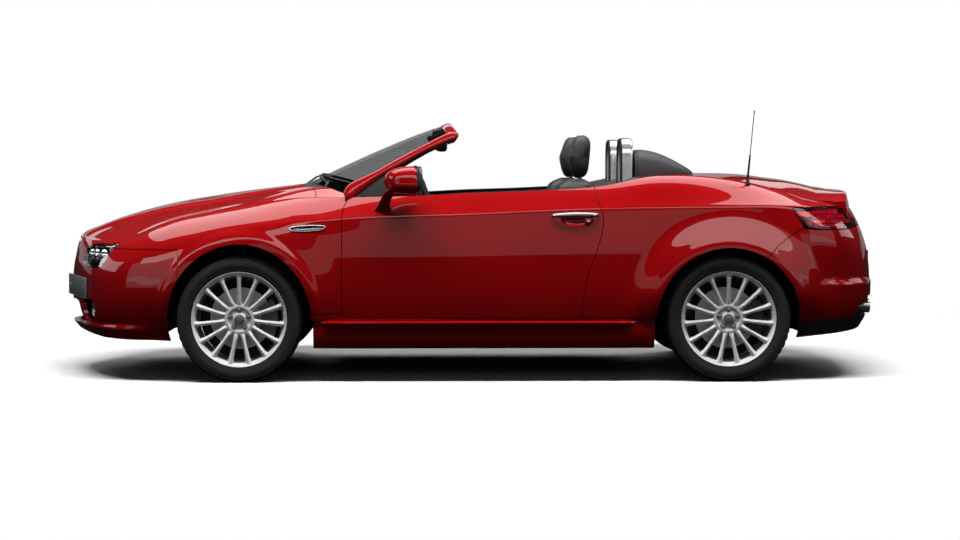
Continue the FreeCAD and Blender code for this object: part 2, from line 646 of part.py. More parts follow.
def seat(sy):
    y = sy * (SEAT_Y + 45)
    cushion = rings_solid([[(x, y - w, z0), (x, y - w, z1), (x, y - w + 60, z1 + 18), (x, y + w - 60, z1 + 18), (x, y + w, z1), (x, y + w, z0)]
                           for x, w, z0, z1 in ((-60, 205, 300, 440), (40, 228, 250, 462), (380, 232, 250, 420), (470, 225, 250, 400))])
    rows = ((452, 640, 430, 235), (500, 690, 640, 245), (555, 700, 850, 235), (575, 672, 960, 205), (585, 655, 1062, 130))
    back = rings_solid([[(x0 - 30, y - w, z), (x0 - 8, y - w + 50, z), (x0 - 8, y + w - 50, z), (x0 - 30, y + w, z), (x1 - 40, y + w, z), (x1, y + w - 60, z),
                         (x1, y - w + 60, z), (x1 - 40, y - w, z)] for x0, x1, z, w in rows])
    head = rings_solid([[(x0, y - w, z), (x0 - 12, y - w + 45, z), (x0 - 12, y + w - 45, z), (x0, y + w, z), (x1, y + w - 20, z), (x1, y - w + 20, z)]
                        for x0, x1, z, w in ((552, 640, 1082, 100), (548, 655, 1130, 132), (555, 655, 1210, 130), (575, 640, 1275, 92))])
    posts = [Part.makeCylinder(7, 40, V(604, y + q, 1050)) for q in (-60, 60)]
    return cushion, fuse([back, head] + posts)


for name, sy in (("left", -1), ("right", 1)):
    c, bk = seat(sy)
    c = c.cut(bk)
    put("seat_cushion_" + name, c)
    put("seat_back_" + name, bk)

# roll hoops: upright loops behind the seats
def hoop(sy):
    y = sy * SEAT_Y
    w, r = 152, 66
    z0, z1 = 986, HOOP_TOP_Z
    outer = [(y - w, z0), (y - w, z1 - r)] + [(y - w + r - r * math.cos(math.radians(a)), z1 - r + r * math.sin(math.radians(a))) for a in (22.5, 45, 67.5, 90)] \
        + [(y + w - r + r * math.sin(math.radians(a)), z1 - r + r * math.cos(math.radians(a))) for a in (0, 22.5, 45, 67.5)] + [(y + w, z1 - r), (y + w, z0)]
    k = 38
    r2 = r - k
    inner = [(y + w - k, z0), (y + w - k, z1 - r)] + [(y + w - r + r2 * math.cos(math.radians(a)), z1 - r + r2 * math.sin(math.radians(a))) for a in (22.5, 45, 67.5, 90)] \
        + [(y - w + r - r2 * math.sin(math.radians(a)), z1 - r + r2 * math.cos(math.radians(a))) for a in (0, 22.5, 45, 67.5)] + [(y - w + k, z1 - r), (y - w + k, z0)]
    return prism_x(outer + inner, HOOP_X[0], HOOP_X[1])


put("roll_hoops", hoop(-1), hoop(1))

# steering wheel, modelled in its own plane then tilted
def steering_wheel():
    ring = Part.makeTorus(STEER_R - 16, 16)
    hub = Part.makeCylinder(62, 34, V(0, 0, -34))
    spokes = [Part.makeBox(STEER_R - 30, 34, 16, V(0, -17, -26))]
    for a in (0, 180, 270):
        s = Part.makeBox(STEER_R - 22, 36, 16, V(0, -18, -22))
        s.rotate(V(0, 0, 0), V(0, 0, 1), a)
        spokes.append(s)
    w = ring.multiFuse([hub] + spokes[1:])
    # local x -> car -y.., local z -> towards the driver
    w.rotate(V(0, 0, 0), V(0, 0, 1), 90)
    w.rotate(V(0, 0, 0), V(0, 1, 0), 90 - STEER_TILT)
    w.translate(V(*STEER_CENTRE))
    return w


put("steering_wheel", steering_wheel())

# ---------------------------------------------------------------- lamps, grille, plates
def lamp_front():
    t0, t1 = 1.75, t_at_x(-1868, 3.3)
    ts = [t0 + (t1 - t0) * i / 6 for i in range(7)]
    s = rings_solid([skin_ring(t, 2.72, 3.86, 4, 90) for t in ts])
    region = [(-2300, 592), (-1912, 592), (-1845, 704), (-2300, 704)]
    return s.common(prism_y(region, 0, 1000)).common(box(-2300, -1700, 380, 1000, 500, 800)).cut(OUT["bonnet"]).cut(OUT["front_bumper"])


h = lamp_front()
put("headlamps", h, mirror(h))


def lamp_rear():
    t0, t1 = t_at_x(1660, 3.0), 21.4
    ts = [t0 + (t1 - t0) * i / 8 for i in range(9)]
    s = rings_solid([skin_ring(t, 2.55, 3.6, 5, 45) for t in ts])
    region = [(1698, 900), (1758, 785), (2200, 785), (2200, 904), (1740, 912)]
    return s.common(prism_y(region, 525, 1000))


h = lamp_rear()
put("tail_lamps", h, mirror(h))

grille_all = rings_solid([[(x0, -0.5 * w, z), (x0, 0.5 * w, z), (x1, 0.5 * w, z), (x1, -0.5 * w, z)]
                          for w, z, x0, x1 in ((60, 588, -2190, -2110), (200, 640, -2186, -2110), (300, 690, -2176, -2110), (310, 715, -2160, -2100))])
put("grille", grille_all)


put("number_plates", plate(-2110, -350, 470, 20), plate(2196, 0, 600, 0))

# ---------------------------------------------------------------- running gear
def wheel(outboard):
    """Rim with its brake disc, axis Y, centred on the origin; outboard is the y direction of the outer face."""
    hw = RIM_W / 2
    k = 1
    prof = [(RIM_R, hw), (RIM_R, hw - 8), (228, hw - 14), (226, 30), (222, -30), (226, -hw + 14), (RIM_R, -hw + 8), (RIM_R, -hw), (238, -hw), (216, -hw + 20),
            (208, -20), (210, 40), (222, hw - 22), (238, hw)]
    pts = [V(r, y, 0) for r, y in prof]
    w = Part.makePolygon(pts + [pts[0]])
    rim = Part.Face(w).revolve(V(0, 0, 0), V(0, 1, 0), 360)
    hub = Part.makeCylinder(74, 46, V(0, 48, 0), V(0, 1, 0))
    sp = []
    for i in range(SPOKES):
        a = 90 + 360.0 * i / SPOKES
        s = rings_solid([[(66, 58, -13), (66, 94, -13), (66, 94, 13), (66, 58, 13)], [(150, 68, -9), (150, 98, -9), (150, 98, 9), (150, 68, 9)],
                         [(224, 76, -12), (224, 104, -12), (224, 104, 12), (224, 76, 12)]])
        s.rotate(V(0, 0, 0), V(0, 1, 0), a)
        sp.append(s)
    disc = Part.makeCylinder(DISC_R, 26, V(0, -32, 0), V(0, 1, 0))
    bell = Part.makeCylinder(80, 56, V(0, -8, 0), V(0, 1, 0))
    s = rim.multiFuse([hub] + sp + [disc, bell])
    if outboard < 0:
        s = mirror(s)
    return s


def tyre():
    hw = TYRE_W / 2
    half = [(RIM_R + 1, hw - 9), (268, hw - 2), (290, hw), (TYRE_R - 18, hw - 5), (TYRE_R - 5, hw - 20), (TYRE_R, hw - 40)]
    prof = half + [(r, -y) for r, y in reversed(half)] + [(230, -90), (230, 90)]
    pts = [V(r, y, 0) for r, y in prof]
    t = Part.Face(Part.makePolygon(pts + [pts[0]])).revolve(V(0, 0, 0), V(0, 1, 0), 360)
    return t


RIM = {1: wheel(1), -1: wheel(-1)}
TY = tyre()
for name, x, sy in (("front_left", FRONT_AXLE_X, -1), ("front_right", FRONT_AXLE_X, 1), ("rear_left", REAR_AXLE_X, -1), ("rear_right", REAR_AXLE_X, 1)):
    at = V(x, sy * TRACK_HALF, TYRE_R)
    r = RIM[sy].copy(); r.translate(at)
    t = TY.cut(RIM[sy]); t.translate(at)
    put("rim_" + name, r)
    put("tyre_" + name, t)


# ---------------------------------------------------------------- hub carriers, suspension and steering
def caliper(x, z, back):
    """Brake caliper astride the disc, on the side given by back (+1 behind the axle, -1 ahead)."""
    ang = 0 if back > 0 else 180
    def sector(r0, r1, y0, y1, half=32):
        p = circle_pts(0, 0, r1, ang - half, ang + half, 6) + circle_pts(0, 0, r0, ang + half, ang - half, 6)
        return prism_y(p, y0, y1)
    s = fuse([sector(108, 196, 722, 742), sector(171, 196, 742, 780), sector(108, 196, 780, 806)])
    s.translate(V(x, 0, z))
    return s


def carrier(x, steered):
    z = TYRE_R
    body = fuse([box(x - 34, x + 34, 700, 738, z - 96, z + 96), cyl_y(x, z, 62, 690, 740), box(x + 30, x + 150, 706, 738, z - 30, z + 30),
                 caliper(x, z, 1)])
    if steered:
        arm = box(x + 118, x + 142, 676, 712, z - 70, z - 48)
        link = box(x + 118, x + 142, 700, 712, z - 70, z - 20)
        body = fuse([body, arm, link])
    return body


k = carrier(FRONT_AXLE_X, True)
put("knuckle_right", k)
put("knuckle_left", mirror(k))

X, Z = FRONT_AXLE_X, TYRE_R
lower = prism_z([(X - 36, 722), (X - 36, 560), (X - 120, 395), (X - 120, 370), (X + 160, 370), (X + 160, 395), (X + 36, 560), (X + 36, 722)], 204, 228)
upper = prism_z([(X - 30, 718), (X - 30, 560), (X - 70, 453), (X + 70, 453), (X + 30, 560), (X + 30, 718)], 438, 456)
damper = fuse([Part.makeCylinder(26, 150, V(X, 575, 462), V(0, -0.12, 1)), Part.makeCylinder(46, 170, V(X, 556, 600), V(0, -0.12, 1))])
shaft = fuse([cyl_y(X, Z, 14, 200, 656), cyl_y(X, Z, 38, 590, 656), cyl_y(X, Z, 34, 384, 450)])
parts_f = [lower, upper, damper, shaft]
sub = fuse([box(X - 140, X + 200, -369, 369, 196, 250)])
put("front_suspension", *(parts_f + [mirror(p) for p in parts_f] + [sub]))

rack = fuse([cyl_y(X + 130, Z - 28, 10, -696, 696)])
put("steering_rack", rack)
put("rack_housing", cyl_y(X + 130, Z - 28, 30, -300, 300).cut(cyl_y(X + 130, Z - 28, 16, -301, 301)))

X = REAR_AXLE_X
kr = carrier(X, False)
arm_r = prism_z([(X - 30, 705), (X - 30, 560), (X - 90, 470), (X - 90, 432), (X + 90, 432), (X + 90, 470), (X + 30, 560), (X + 30, 705)], 240, 266)
beam_leg = [box(X - 95, X + 95, sy * 415 - 16, sy * 415 + 16, 276, 318) for sy in (-1, 1)]
trail = prism_y([(X - 470, 300), (X - 470, 360), (X - 60, 372), (X - 60, 330)], 560, 590)
damp_r = Part.makeCylinder(22, 140, V(X + 62, 552, 260), V(0, 0, 1)).fuse(box(X + 30, X + 90, 500, 590, 240, 266))
spring_r = Part.makeCylinder(48, 130, V(X - 30, 500, 266), V(0, 0, 1))
beam = box(X - 95, X + 95, -399, 399, 318, 380)
half = fuse([kr, arm_r, damp_r, spring_r])
half = half.cut(box(X - 110, X + 110, -431, 431, 200, 400))
put("rear_suspension", half, mirror(half), fuse([beam] + beam_leg))

# ---------------------------------------------------------------- exhaust, tank, antenna
ex = fuse([box(1740, 1940, -560, 560, 262, 345), Part.makeCylinder(26, 2330, V(-580, 0, 286), V(1, 0, 0.0)), box(-880, -560, -50, 50, 258, 330)])
tips = []
for y in (-545, -465, 465, 545):
    tips.append(Part.makeCylinder(34, 210, V(1940, y, 366), V(1, 0, 0)))
up = [box(1940, 1989, y - 20, y + 20, 340, 366) for y in (-545, -465, 465, 545)]
ex = fuse([ex] + up + tips)
put("exhaust_system", ex)
put("fuel_tank", box(1000, 1225, -400, -60, 240, 395), box(1000, 1225, 60, 400, 240, 395))
ANT_X, ANT_Y = 1456.0, -736.0
ant = fuse([Part.makeCylinder(14, 46, V(ANT_X, ANT_Y, 1018), V(0, 0, 1)), Part.makeCone(8, 5, 132, V(ANT_X, ANT_Y, 1060), V(0.1, 0, 1)),
            Part.makeCylinder(2.5, 222, V(ANT_X + 13, ANT_Y, 1188), V(0.1, 0, 1))])
ant = ant.cut(OUT["rear_wing_left"])
ant = max(ant.Solids, key=lambda q: q.Volume)
put("antenna", ant)
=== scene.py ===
# Looks of the two-seat convertible around its packed construction frame.
# Metres. +X to the tail, +Y to the car's right side, +Z up, origin on the ground under the middle of the car.
import bpy, bmesh, json, math
import numpy as np
from mathutils import Vector, Matrix
from mathutils.bvhtree import BVHTree

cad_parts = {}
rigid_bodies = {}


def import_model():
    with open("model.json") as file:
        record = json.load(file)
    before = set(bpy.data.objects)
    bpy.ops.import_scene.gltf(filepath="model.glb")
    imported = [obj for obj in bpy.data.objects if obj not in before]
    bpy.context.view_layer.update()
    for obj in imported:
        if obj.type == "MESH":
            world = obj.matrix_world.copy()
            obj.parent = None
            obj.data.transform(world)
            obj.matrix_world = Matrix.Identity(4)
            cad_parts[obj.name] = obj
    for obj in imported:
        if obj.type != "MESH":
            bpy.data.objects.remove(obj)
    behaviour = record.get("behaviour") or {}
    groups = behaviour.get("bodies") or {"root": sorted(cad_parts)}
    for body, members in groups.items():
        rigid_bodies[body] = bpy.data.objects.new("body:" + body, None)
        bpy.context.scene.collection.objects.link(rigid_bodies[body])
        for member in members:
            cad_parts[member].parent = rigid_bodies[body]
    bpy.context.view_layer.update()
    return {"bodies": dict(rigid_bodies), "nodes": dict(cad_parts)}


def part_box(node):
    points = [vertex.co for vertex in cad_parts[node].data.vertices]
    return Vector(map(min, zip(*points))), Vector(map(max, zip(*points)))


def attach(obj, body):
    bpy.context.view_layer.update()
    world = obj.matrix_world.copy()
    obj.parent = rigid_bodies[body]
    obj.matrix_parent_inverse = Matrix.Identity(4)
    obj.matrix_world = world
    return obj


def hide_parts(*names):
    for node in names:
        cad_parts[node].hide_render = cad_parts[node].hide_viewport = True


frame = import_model()
BODIES = frame["bodies"]
SCENE = bpy.context.scene


def cad(node):
    lo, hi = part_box(node)
    return np.array(lo), np.array(hi)


FRONT_X = float((cad("tyre_front_left")[0][0] + cad("tyre_front_left")[1][0]) / 2)
REAR_X = float((cad("tyre_rear_left")[0][0] + cad("tyre_rear_left")[1][0]) / 2)
AXLE_Z = float((cad("tyre_front_left")[0][2] + cad("tyre_front_left")[1][2]) / 2)
TYRE_R = float((cad("tyre_front_left")[1][2] - cad("tyre_front_left")[0][2]) / 2)
WHEEL_Y = float(abs(cad("tyre_front_left")[0][1] + cad("tyre_front_left")[1][1]) / 2)
HOOP_LO, HOOP_HI = cad("roll_hoops")
SEAT_Y = 0.370

# ------------------------------------------------------------------ the body sides
# x, y of greatest girth in plan, then section heights z and insets o: b bottom, l lower, g girth, s shoulder, t top, at slope at top, cr sharpness
#   x       y     zb    ob    zl    ol    zg    zs    os    zt    ot   at   cr
SIDE = np.array([
 (-2.185, 0.000, .240, .062, .300, .014, .470, .620, .014, .735, .048, 50, 0.0),
 (-2.162, 0.150, .238, .060, .300, .014, .470, .620, .014, .733, .050, 50, 0.0),
 (-2.096, 0.380, .235, .058, .300, .014, .470, .615, .014, .722, .058, 45, 0.0),
 (-2.016, 0.580, .228, .055, .300, .014, .475, .612, .016, .712, .070, 40, 0.0),
 (-1.926, 0.722, .222, .052, .305, .016, .480, .612, .022, .712, .085, 35, 0.0),
 (-1.800, 0.811, .217, .048, .310, .018, .490, .640, .030, .742, .120, 25, 0.0),
 (-1.620, 0.862, .215, .044, .315, .018, .520, .700, .036, .815, .168, 18, 0.0),
 (-1.400, 0.884, .205, .042, .320, .018, .570, .755, .038, .868, .185, 16, 0.0),
 (-1.186, 0.892, .195, .042, .325, .018, .600, .790, .030, .905, .180, 16, 0.0),
 (-0.930, 0.895, .188, .042, .328, .016, .620, .826, .022, .944, .162, 22, 0.4),
 (-0.660, 0.897, .184, .042, .330, .014, .635, .848, .016, .953, .118, 38, 0.9),
 (-0.300, 0.902, .184, .042, .330, .014, .640, .862, .016, .962, .098, 48, 1.0),
 ( 0.000, 0.905, .184, .042, .330, .014, .640, .871, .016, .977, .096, 48, 1.0),
 ( 0.350, 0.907, .184, .042, .330, .014, .640, .887, .016, .989, .096, 48, 1.0),
 ( 0.690, 0.906, .184, .042, .330, .014, .640, .899, .016,1.013, .104, 42, 1.0),
 ( 0.960, 0.900, .184, .042, .330, .014, .640, .905, .016,1.062, .145, 22, 1.0),
 ( 1.342, 0.892, .190, .042, .335, .016, .620, .910, .016,1.052, .180, 14, 1.0),
 ( 1.600, 0.880, .215, .044, .340, .018, .580, .912, .022,1.003, .185, 14, 0.9),
 ( 1.800, 0.852, .232, .048, .340, .020, .540, .900, .036, .945, .165, 12, 0.5),
 ( 1.950, 0.802, .245, .052, .340, .020, .510, .860, .052, .915, .140, 14, 0.1),
 ( 2.060, 0.716, .255, .056, .340, .020, .500, .800, .046, .910, .124, 26, 0.0),
 ( 2.128, 0.580, .262, .060, .340, .020, .495, .784, .048, .925, .132, 45, 0.0),
 ( 2.168, 0.380, .268, .062, .340, .020, .495, .780, .050, .935, .140, 56, 0.0),
 ( 2.188, 0.150, .270, .062, .340, .020, .495, .780, .050, .940, .144, 62, 0.0),
 ( 2.194, 0.000, .272, .062, .340, .020, .495, .780, .050, .940, .144, 64, 0.0),
])
LAST = len(SIDE) - 1
ARC = np.concatenate([[0.0], np.cumsum(np.hypot(np.diff(SIDE[:, 0]), np.diff(SIDE[:, 1])))])
_ext = np.vstack([SIDE[1] * np.array([1, -1] + [1] * 11), SIDE, SIDE[LAST - 1] * np.array([1, -1] + [1] * 11)])
_exs = np.concatenate([[-ARC[1]], ARC, [2 * ARC[LAST] - ARC[LAST - 1]]])

BONNET_LINE = np.array([(-2.140, .735), (-2.106, .760), (-2.039, .786), (-1.938, .825), (-1.804, .868), (-1.670, .903), (-1.536, .931),
                        (-1.402, .953), (-1.268, .974), (-1.134, .991), (-1.000, 1.007), (-.900, 1.018), (-.780, 1.028)])
DECK_LINE = np.array([(.860, 1.062), (1.000, 1.070), (1.160, 1.076), (1.342, 1.077), (1.513, 1.071), (1.647, 1.054), (1.747, 1.041),
                      (1.848, 1.020), (1.915, 1.003), (1.982, .992), (2.060, .986), (2.120, .975)])


def rows(t):
    """Rows of the side table at stations t (0 nose centre .. LAST tail centre), and the plan curve's outward normals."""
    t = np.asarray(t, float)
    i = np.clip(np.floor(t).astype(int), 0, LAST - 1)
    u = (t - i)[..., None]
    p0, p1, p2, p3 = (_ext[i + k] for k in range(4))
    s0, s1, s2, s3 = (_exs[i + k][..., None] for k in range(4))
    d0, d1, d2 = s1 - s0, s2 - s1, s3 - s2
    m1 = ((p1 - p0) / d0 * d1 + (p2 - p1) / d1 * d0) / (d0 + d1) * d1
    m2 = ((p2 - p1) / d1 * d2 + (p3 - p2) / d2 * d1) / (d1 + d2) * d1
    u2, u3 = u * u, u * u * u
    out = p1 * (2 * u3 - 3 * u2 + 1) + m1 * (u3 - 2 * u2 + u) + p2 * (3 * u2 - 2 * u3) + m2 * (u3 - u2)
    der = p1 * (6 * u2 - 6 * u) + m1 * (3 * u2 - 4 * u + 1) + p2 * (6 * u - 6 * u2) + m2 * (3 * u2 - 2 * u)
    n = np.hypot(der[..., 0], der[..., 1])
    return out, np.stack([-der[..., 1] / n, der[..., 0] / n], -1)


def section(r, v):
    """(inset, z) along the section of rows r at v: 0 bottom, 1 lower, 2 girth, 3 shoulder, 4 top."""
    z0 = np.zeros_like(r[..., 0])
    P = np.stack([np.stack([r[..., 3], r[..., 2]], -1), np.stack([r[..., 5], r[..., 4]], -1), np.stack([z0, r[..., 6]], -1),
                  np.stack([r[..., 8], r[..., 7]], -1), np.stack([r[..., 10], r[..., 9]], -1)], -2)
    D = np.linalg.norm(np.diff(P, axis=-2), axis=-1)
    C = np.diff(P, axis=-2) / D[..., None]
    T0 = [C[..., 0, :]]
    T1 = [None]
    for j in (1, 2, 3):
        w = (C[..., j - 1, :] * D[..., j, None] + C[..., j, :] * D[..., j - 1, None]) / (D[..., j - 1] + D[..., j])[..., None]
        if j == 3:
            cr = r[..., 12, None]
            T1.append(w * (1 - cr) + C[..., 2, :] * cr)      # arriving
            T0.append(w * (1 - cr) + C[..., 3, :] * cr)      # leaving
        else:
            T1.append(w)
            T0.append(w)
    a = np.radians(r[..., 11])
    T1.append(np.stack([np.cos(a), np.sin(a)], -1))
    v = np.broadcast_to(v, r[..., 0].shape)
    k = np.clip(v.astype(int), 0, 3)
    u = (v - k)[..., None]
    T0 = np.stack(T0, -2)
    T1 = np.stack(T1[1:], -2)
    idx = k[..., None, None]
    g = lambda A, off=0: np.take_along_axis(A, np.broadcast_to(idx + off, A.shape[:-2] + (1, 2)), -2)[..., 0, :]
    d = np.take_along_axis(D, k[..., None], -1)
    u2, u3 = u * u, u * u * u
    return g(P) * (2 * u3 - 3 * u2 + 1) + g(T0) * d * (u3 - 2 * u2 + u) + g(P, 1) * (3 * u2 - 2 * u3) + g(T1) * d * (u3 - u2)


def smooth(a, b, x):
    q = np.clip((x - a) / (b - a), 0, 1)
    return q * q * (3 - 2 * q)


ARCH_R = 0.374
ARCH_UP = 0.020    # the front opening is taller than round by this much


def flare(x, z):
    """How far the skin stands out around the wheel openings: a raised lip, and a broad bulge above it."""
    out = np.zeros_like(x)
    for xc, lip, lw, bulge, bw, up in ((FRONT_X, .009, .042, .012, .20, 0.0), (REAR_X, .004, .030, .030, .19, 1.0)):
        dz = z - AXLE_Z
        if xc < 0:
            dz = dz - ARCH_UP * np.clip(dz / ARCH_R, 0, 1.3) ** 1.5
        r = np.hypot(x - xc, dz)
        hi = smooth(-.10, .16, z - AXLE_Z)
        out += lip * (1 - smooth(ARCH_R + lw - .018, ARCH_R + lw + .028, r)) * smooth(-.16, .02, z - AXLE_Z)
        out += bulge * (1 - smooth(ARCH_R + .012, ARCH_R + bw, r)) * hi
    return out


def side(t, v, depth=0.0, extra=True):
    """Points of the right body side. Stations below 0 and above LAST wrap to the left side."""
    t = np.asarray(t, float)
    v = np.broadcast_to(np.asarray(v, float), t.shape).copy()
    sg = np.where((t < 0) | (t > LAST), -1.0, 1.0)
    tt = np.where(t < 0, -t, np.where(t > LAST, 2 * LAST - t, t))
    r, n = rows(tt)
    oz = section(r, v)
    o, z = oz[..., 0], oz[..., 1]
    if np.any(depth):
        e = 0.02
        a, b = section(r, np.clip(v - e, 0, 4)), section(r, np.clip(v + e, 0, 4))
        dd = b - a
        q = np.linalg.norm(dd, axis=-1)
        o = o + depth * dd[..., 1] / q
        z = z - depth * dd[..., 0] / q
    x = r[..., 0] - n[..., 0] * o
    y = r[..., 1] - n[..., 1] * o
    if extra:
        f = flare(x, z) + bumper_steps(x, y, z)
        x = x + n[..., 0] * f
        y = y + n[..., 1] * f
    return np.stack([x, y * sg, z], -1)


def bumper_steps(x, y, z):
    f = np.zeros_like(x)
    # rear: the bumper's lower part stands out under a ledge that starts behind the wheel
    f += .013 * (1 - .68 * smooth(2.10, 2.19, x)) * smooth(.522, .508, z) * smooth(1.80, 1.93, x)
    # front: body-coloured lip low down
    f += .016 * smooth(.300, .268, z) * smooth(-1.60, -1.85, x) + .017 * smooth(.312, .272, z) * smooth(-1.93, -2.12, x)
    return f


def t_at(x, v=2.0):
    lo, hi = 0.0, float(LAST)
    for _ in range(45):
        m = (lo + hi) / 2
        if side(np.array([m]), v, extra=False)[0][0] < x:
            lo = m
        else:
            hi = m
    return (lo + hi) / 2


_te = np.linspace(0, LAST, 1601)
_tp = side(_te, 4.0, extra=False)


def top_edge(x):
    """y and z of the side's top edge at x."""
    return np.interp(x, _tp[:, 0], _tp[:, 1]), np.interp(x, _tp[:, 0], _tp[:, 2])


def curve1(line, x):
    """Smooth curve through a short table."""
    X, Z = line[:, 0], line[:, 1]
    m = np.empty(len(X))
    m[1:-1] = (Z[2:] - Z[:-2]) / (X[2:] - X[:-2])
    m[0] = (Z[1] - Z[0]) / (X[1] - X[0])
    m[-1] = (Z[-1] - Z[-2]) / (X[-1] - X[-2])
    x = np.clip(x, X[0], X[-1])
    i = np.clip(np.searchsorted(X, x, side="right") - 1, 0, len(X) - 2)
    h = X[i + 1] - X[i]
    u = (x - X[i]) / h
    u2, u3 = u * u, u * u * u
    return Z[i] * (2 * u3 - 3 * u2 + 1) + m[i] * h * (u3 - 2 * u2 + u) + Z[i + 1] * (3 * u2 - 2 * u3) + m[i + 1] * h * (u3 - u2)


def smooth_poly(pts, n=8, closed=False):
    """Catmull-Rom curve through points (any dimension)."""
    P = np.array(pts, float)
    if closed:
        E = np.vstack([P[-1], P, P[0], P[1]])
    else:
        E = np.vstack([2 * P[0] - P[1], P, 2 * P[-1] - P[-2]])
    out = []
    m = len(P) if closed else len(P) - 1
    for i in range(m):
        p0, p1, p2, p3 = E[i:i + 4]
        for k in range(n):
            u = k / n
            out.append(0.5 * ((2 * p1) + (p2 - p0) * u + (2 * p0 - 5 * p1 + 4 * p2 - p3) * u * u + (3 * p1 - p0 - 3 * p2 + p3) * u ** 3))
    if not closed:
        out.append(P[-1])
    return np.array(out)


# ------------------------------------------------------------------ meshes
def new_obj(name, verts, faces, mats=(), smooth_=True):
    me = bpy.data.meshes.new(name)
    me.from_pydata([tuple(map(float, v)) for v in verts], [], [tuple(int(i) for i in f) for f in faces])
    me.validate()
    ob = bpy.data.objects.new(name, me)
    SCENE.collection.objects.link(ob)
    for m in mats:
        me.materials.append(m)
    if smooth_:
        me.polygons.foreach_set("use_smooth", [True] * len(me.polygons))
    return ob


def sharp(ob, deg=35):
    ob.data.set_sharp_from_angle(angle=math.radians(deg))
    return ob


def grid_faces(nu, nv, off=0, flip=False, wrap_u=False, wrap_v=False):
    f = []
    mu = nu if wrap_u else nu - 1
    mv = nv if wrap_v else nv - 1
    for i in range(mu):
        for j in range(mv):
            a, b = off + i * nv + j, off + ((i + 1) % nu) * nv + j
            c, d = off + ((i + 1) % nu) * nv + (j + 1) % nv, off + i * nv + (j + 1) % nv
            f.append((a, d, c, b) if flip else (a, b, c, d))
    return f


def shell(name, outer, inner, flip=False):
    """Closed shell from two grids of points of one size (nu, nv, 3)."""
    nu, nv = outer.shape[:2]
    V = np.concatenate([outer.reshape(-1, 3), inner.reshape(-1, 3)])
    n = nu * nv
    F = grid_faces(nu, nv, 0, flip) + grid_faces(nu, nv, n, not flip)
    ring = [i * nv for i in range(nu)] + [(nu - 1) * nv + j for j in range(1, nv)] + [i * nv + nv - 1 for i in range(nu - 2, -1, -1)] + [j for j in range(nv - 2, 0, -1)]
    for a, b in zip(ring, ring[1:] + ring[:1]):
        F.append((a, a + n, b + n, b) if not flip else (b, b + n, a + n, a))
    return V, F


def recalc(ob):
    bm = bmesh.new()
    bm.from_mesh(ob.data)
    bmesh.ops.recalc_face_normals(bm, faces=bm.faces)
    bm.to_mesh(ob.data)
    bm.free()
    return ob


def boolean(ob, cutter, op="DIFFERENCE", keep=False):
    start = ob.data.copy()
    n0 = len(start.vertices)
    for solver in ("MANIFOLD", "EXACT"):
        m = ob.modifiers.new("b", "BOOLEAN")
        m.operation = op
        m.solver = solver
        m.object = cutter
        apply_mods(ob)
        if len(ob.data.polygons) and len(ob.data.vertices) != n0:
            break
        ob.data = start.copy()
    if not keep:
        me = cutter.data
        bpy.data.objects.remove(cutter)
        bpy.data.meshes.remove(me)
    bpy.data.meshes.remove(start)
    return ob


def apply_mods(ob):
    bpy.context.view_layer.update()
    dg = bpy.context.evaluated_depsgraph_get()
    me = bpy.data.meshes.new_from_object(ob.evaluated_get(dg))
    old = ob.data
    ob.modifiers.clear()
    ob.data = me
    if old.users == 0:
        bpy.data.meshes.remove(old)
    return ob


def dedupe(P, tol=1e-4):
    P = np.array(P, float)
    keep = [i for i in range(len(P)) if np.linalg.norm(P[i] - P[i - 1]) > tol]
    return P[keep]


def prism(name, outline, lo, hi, axis="y"):
    """Prism of a 2-D outline: axis y takes (x, z), axis z takes (x, y), axis x takes (y, z)."""
    P = dedupe(outline)
    if axis == "y":
        A = [(p[0], lo, p[1]) for p in P]; B = [(p[0], hi, p[1]) for p in P]
    elif axis == "z":
        A = [(p[0], p[1], lo) for p in P]; B = [(p[0], p[1], hi) for p in P]
    else:
        A = [(lo, p[0], p[1]) for p in P]; B = [(hi, p[0], p[1]) for p in P]
    n = len(P)
    F = [tuple(range(n)), tuple(range(2 * n - 1, n - 1, -1))] + [(i, i + n, (i + 1) % n + n, (i + 1) % n) for i in range(n)]
    ob = new_obj(name, A + B, F, smooth_=False)
    return recalc(ob)


def offset_poly(P, d):
    """Outline moved inwards by d (counter-clockwise or clockwise alike)."""
    P = dedupe(P)
    area = 0.5 * np.sum(P[:, 0] * np.roll(P[:, 1], -1) - np.roll(P[:, 0], -1) * P[:, 1])
    s = 1 if area > 0 else -1
    out = []
    n = len(P)
    for i in range(n):
        a, b, c = P[i - 1], P[i], P[(i + 1) % n]
        e1, e2 = b - a, c - b
        e1 /= max(np.linalg.norm(e1), 1e-9)
        e2 /= max(np.linalg.norm(e2), 1e-9)
        n1, n2 = np.array([-e1[1], e1[0]]) * s, np.array([-e2[1], e2[0]]) * s
        m = n1 + n2
        m /= max(np.linalg.norm(m), 1e-9)
        k = max(np.dot(m, n1), 0.35)
        out.append(b + m * d / k)
    return np.array(out)


def surface_ref(outer, flip=False):
    """Lookup of exact normals on a surface grid."""
    du = np.gradient(outer, axis=0)
    dv = np.gradient(outer, axis=1)
    n = np.cross(du, dv)
    n /= np.maximum(np.linalg.norm(n, axis=-1, keepdims=True), 1e-12)
    if flip:
        n = -n
    nu, nv = outer.shape[:2]
    V = outer.reshape(-1, 3)
    F = grid_faces(nu, nv)
    T = []
    for a, b, c, d in F:
        T.append((a, b, c)); T.append((a, c, d))
    return BVHTree.FromPolygons([tuple(v) for v in V], T), np.array(T), V, n.reshape(-1, 3)


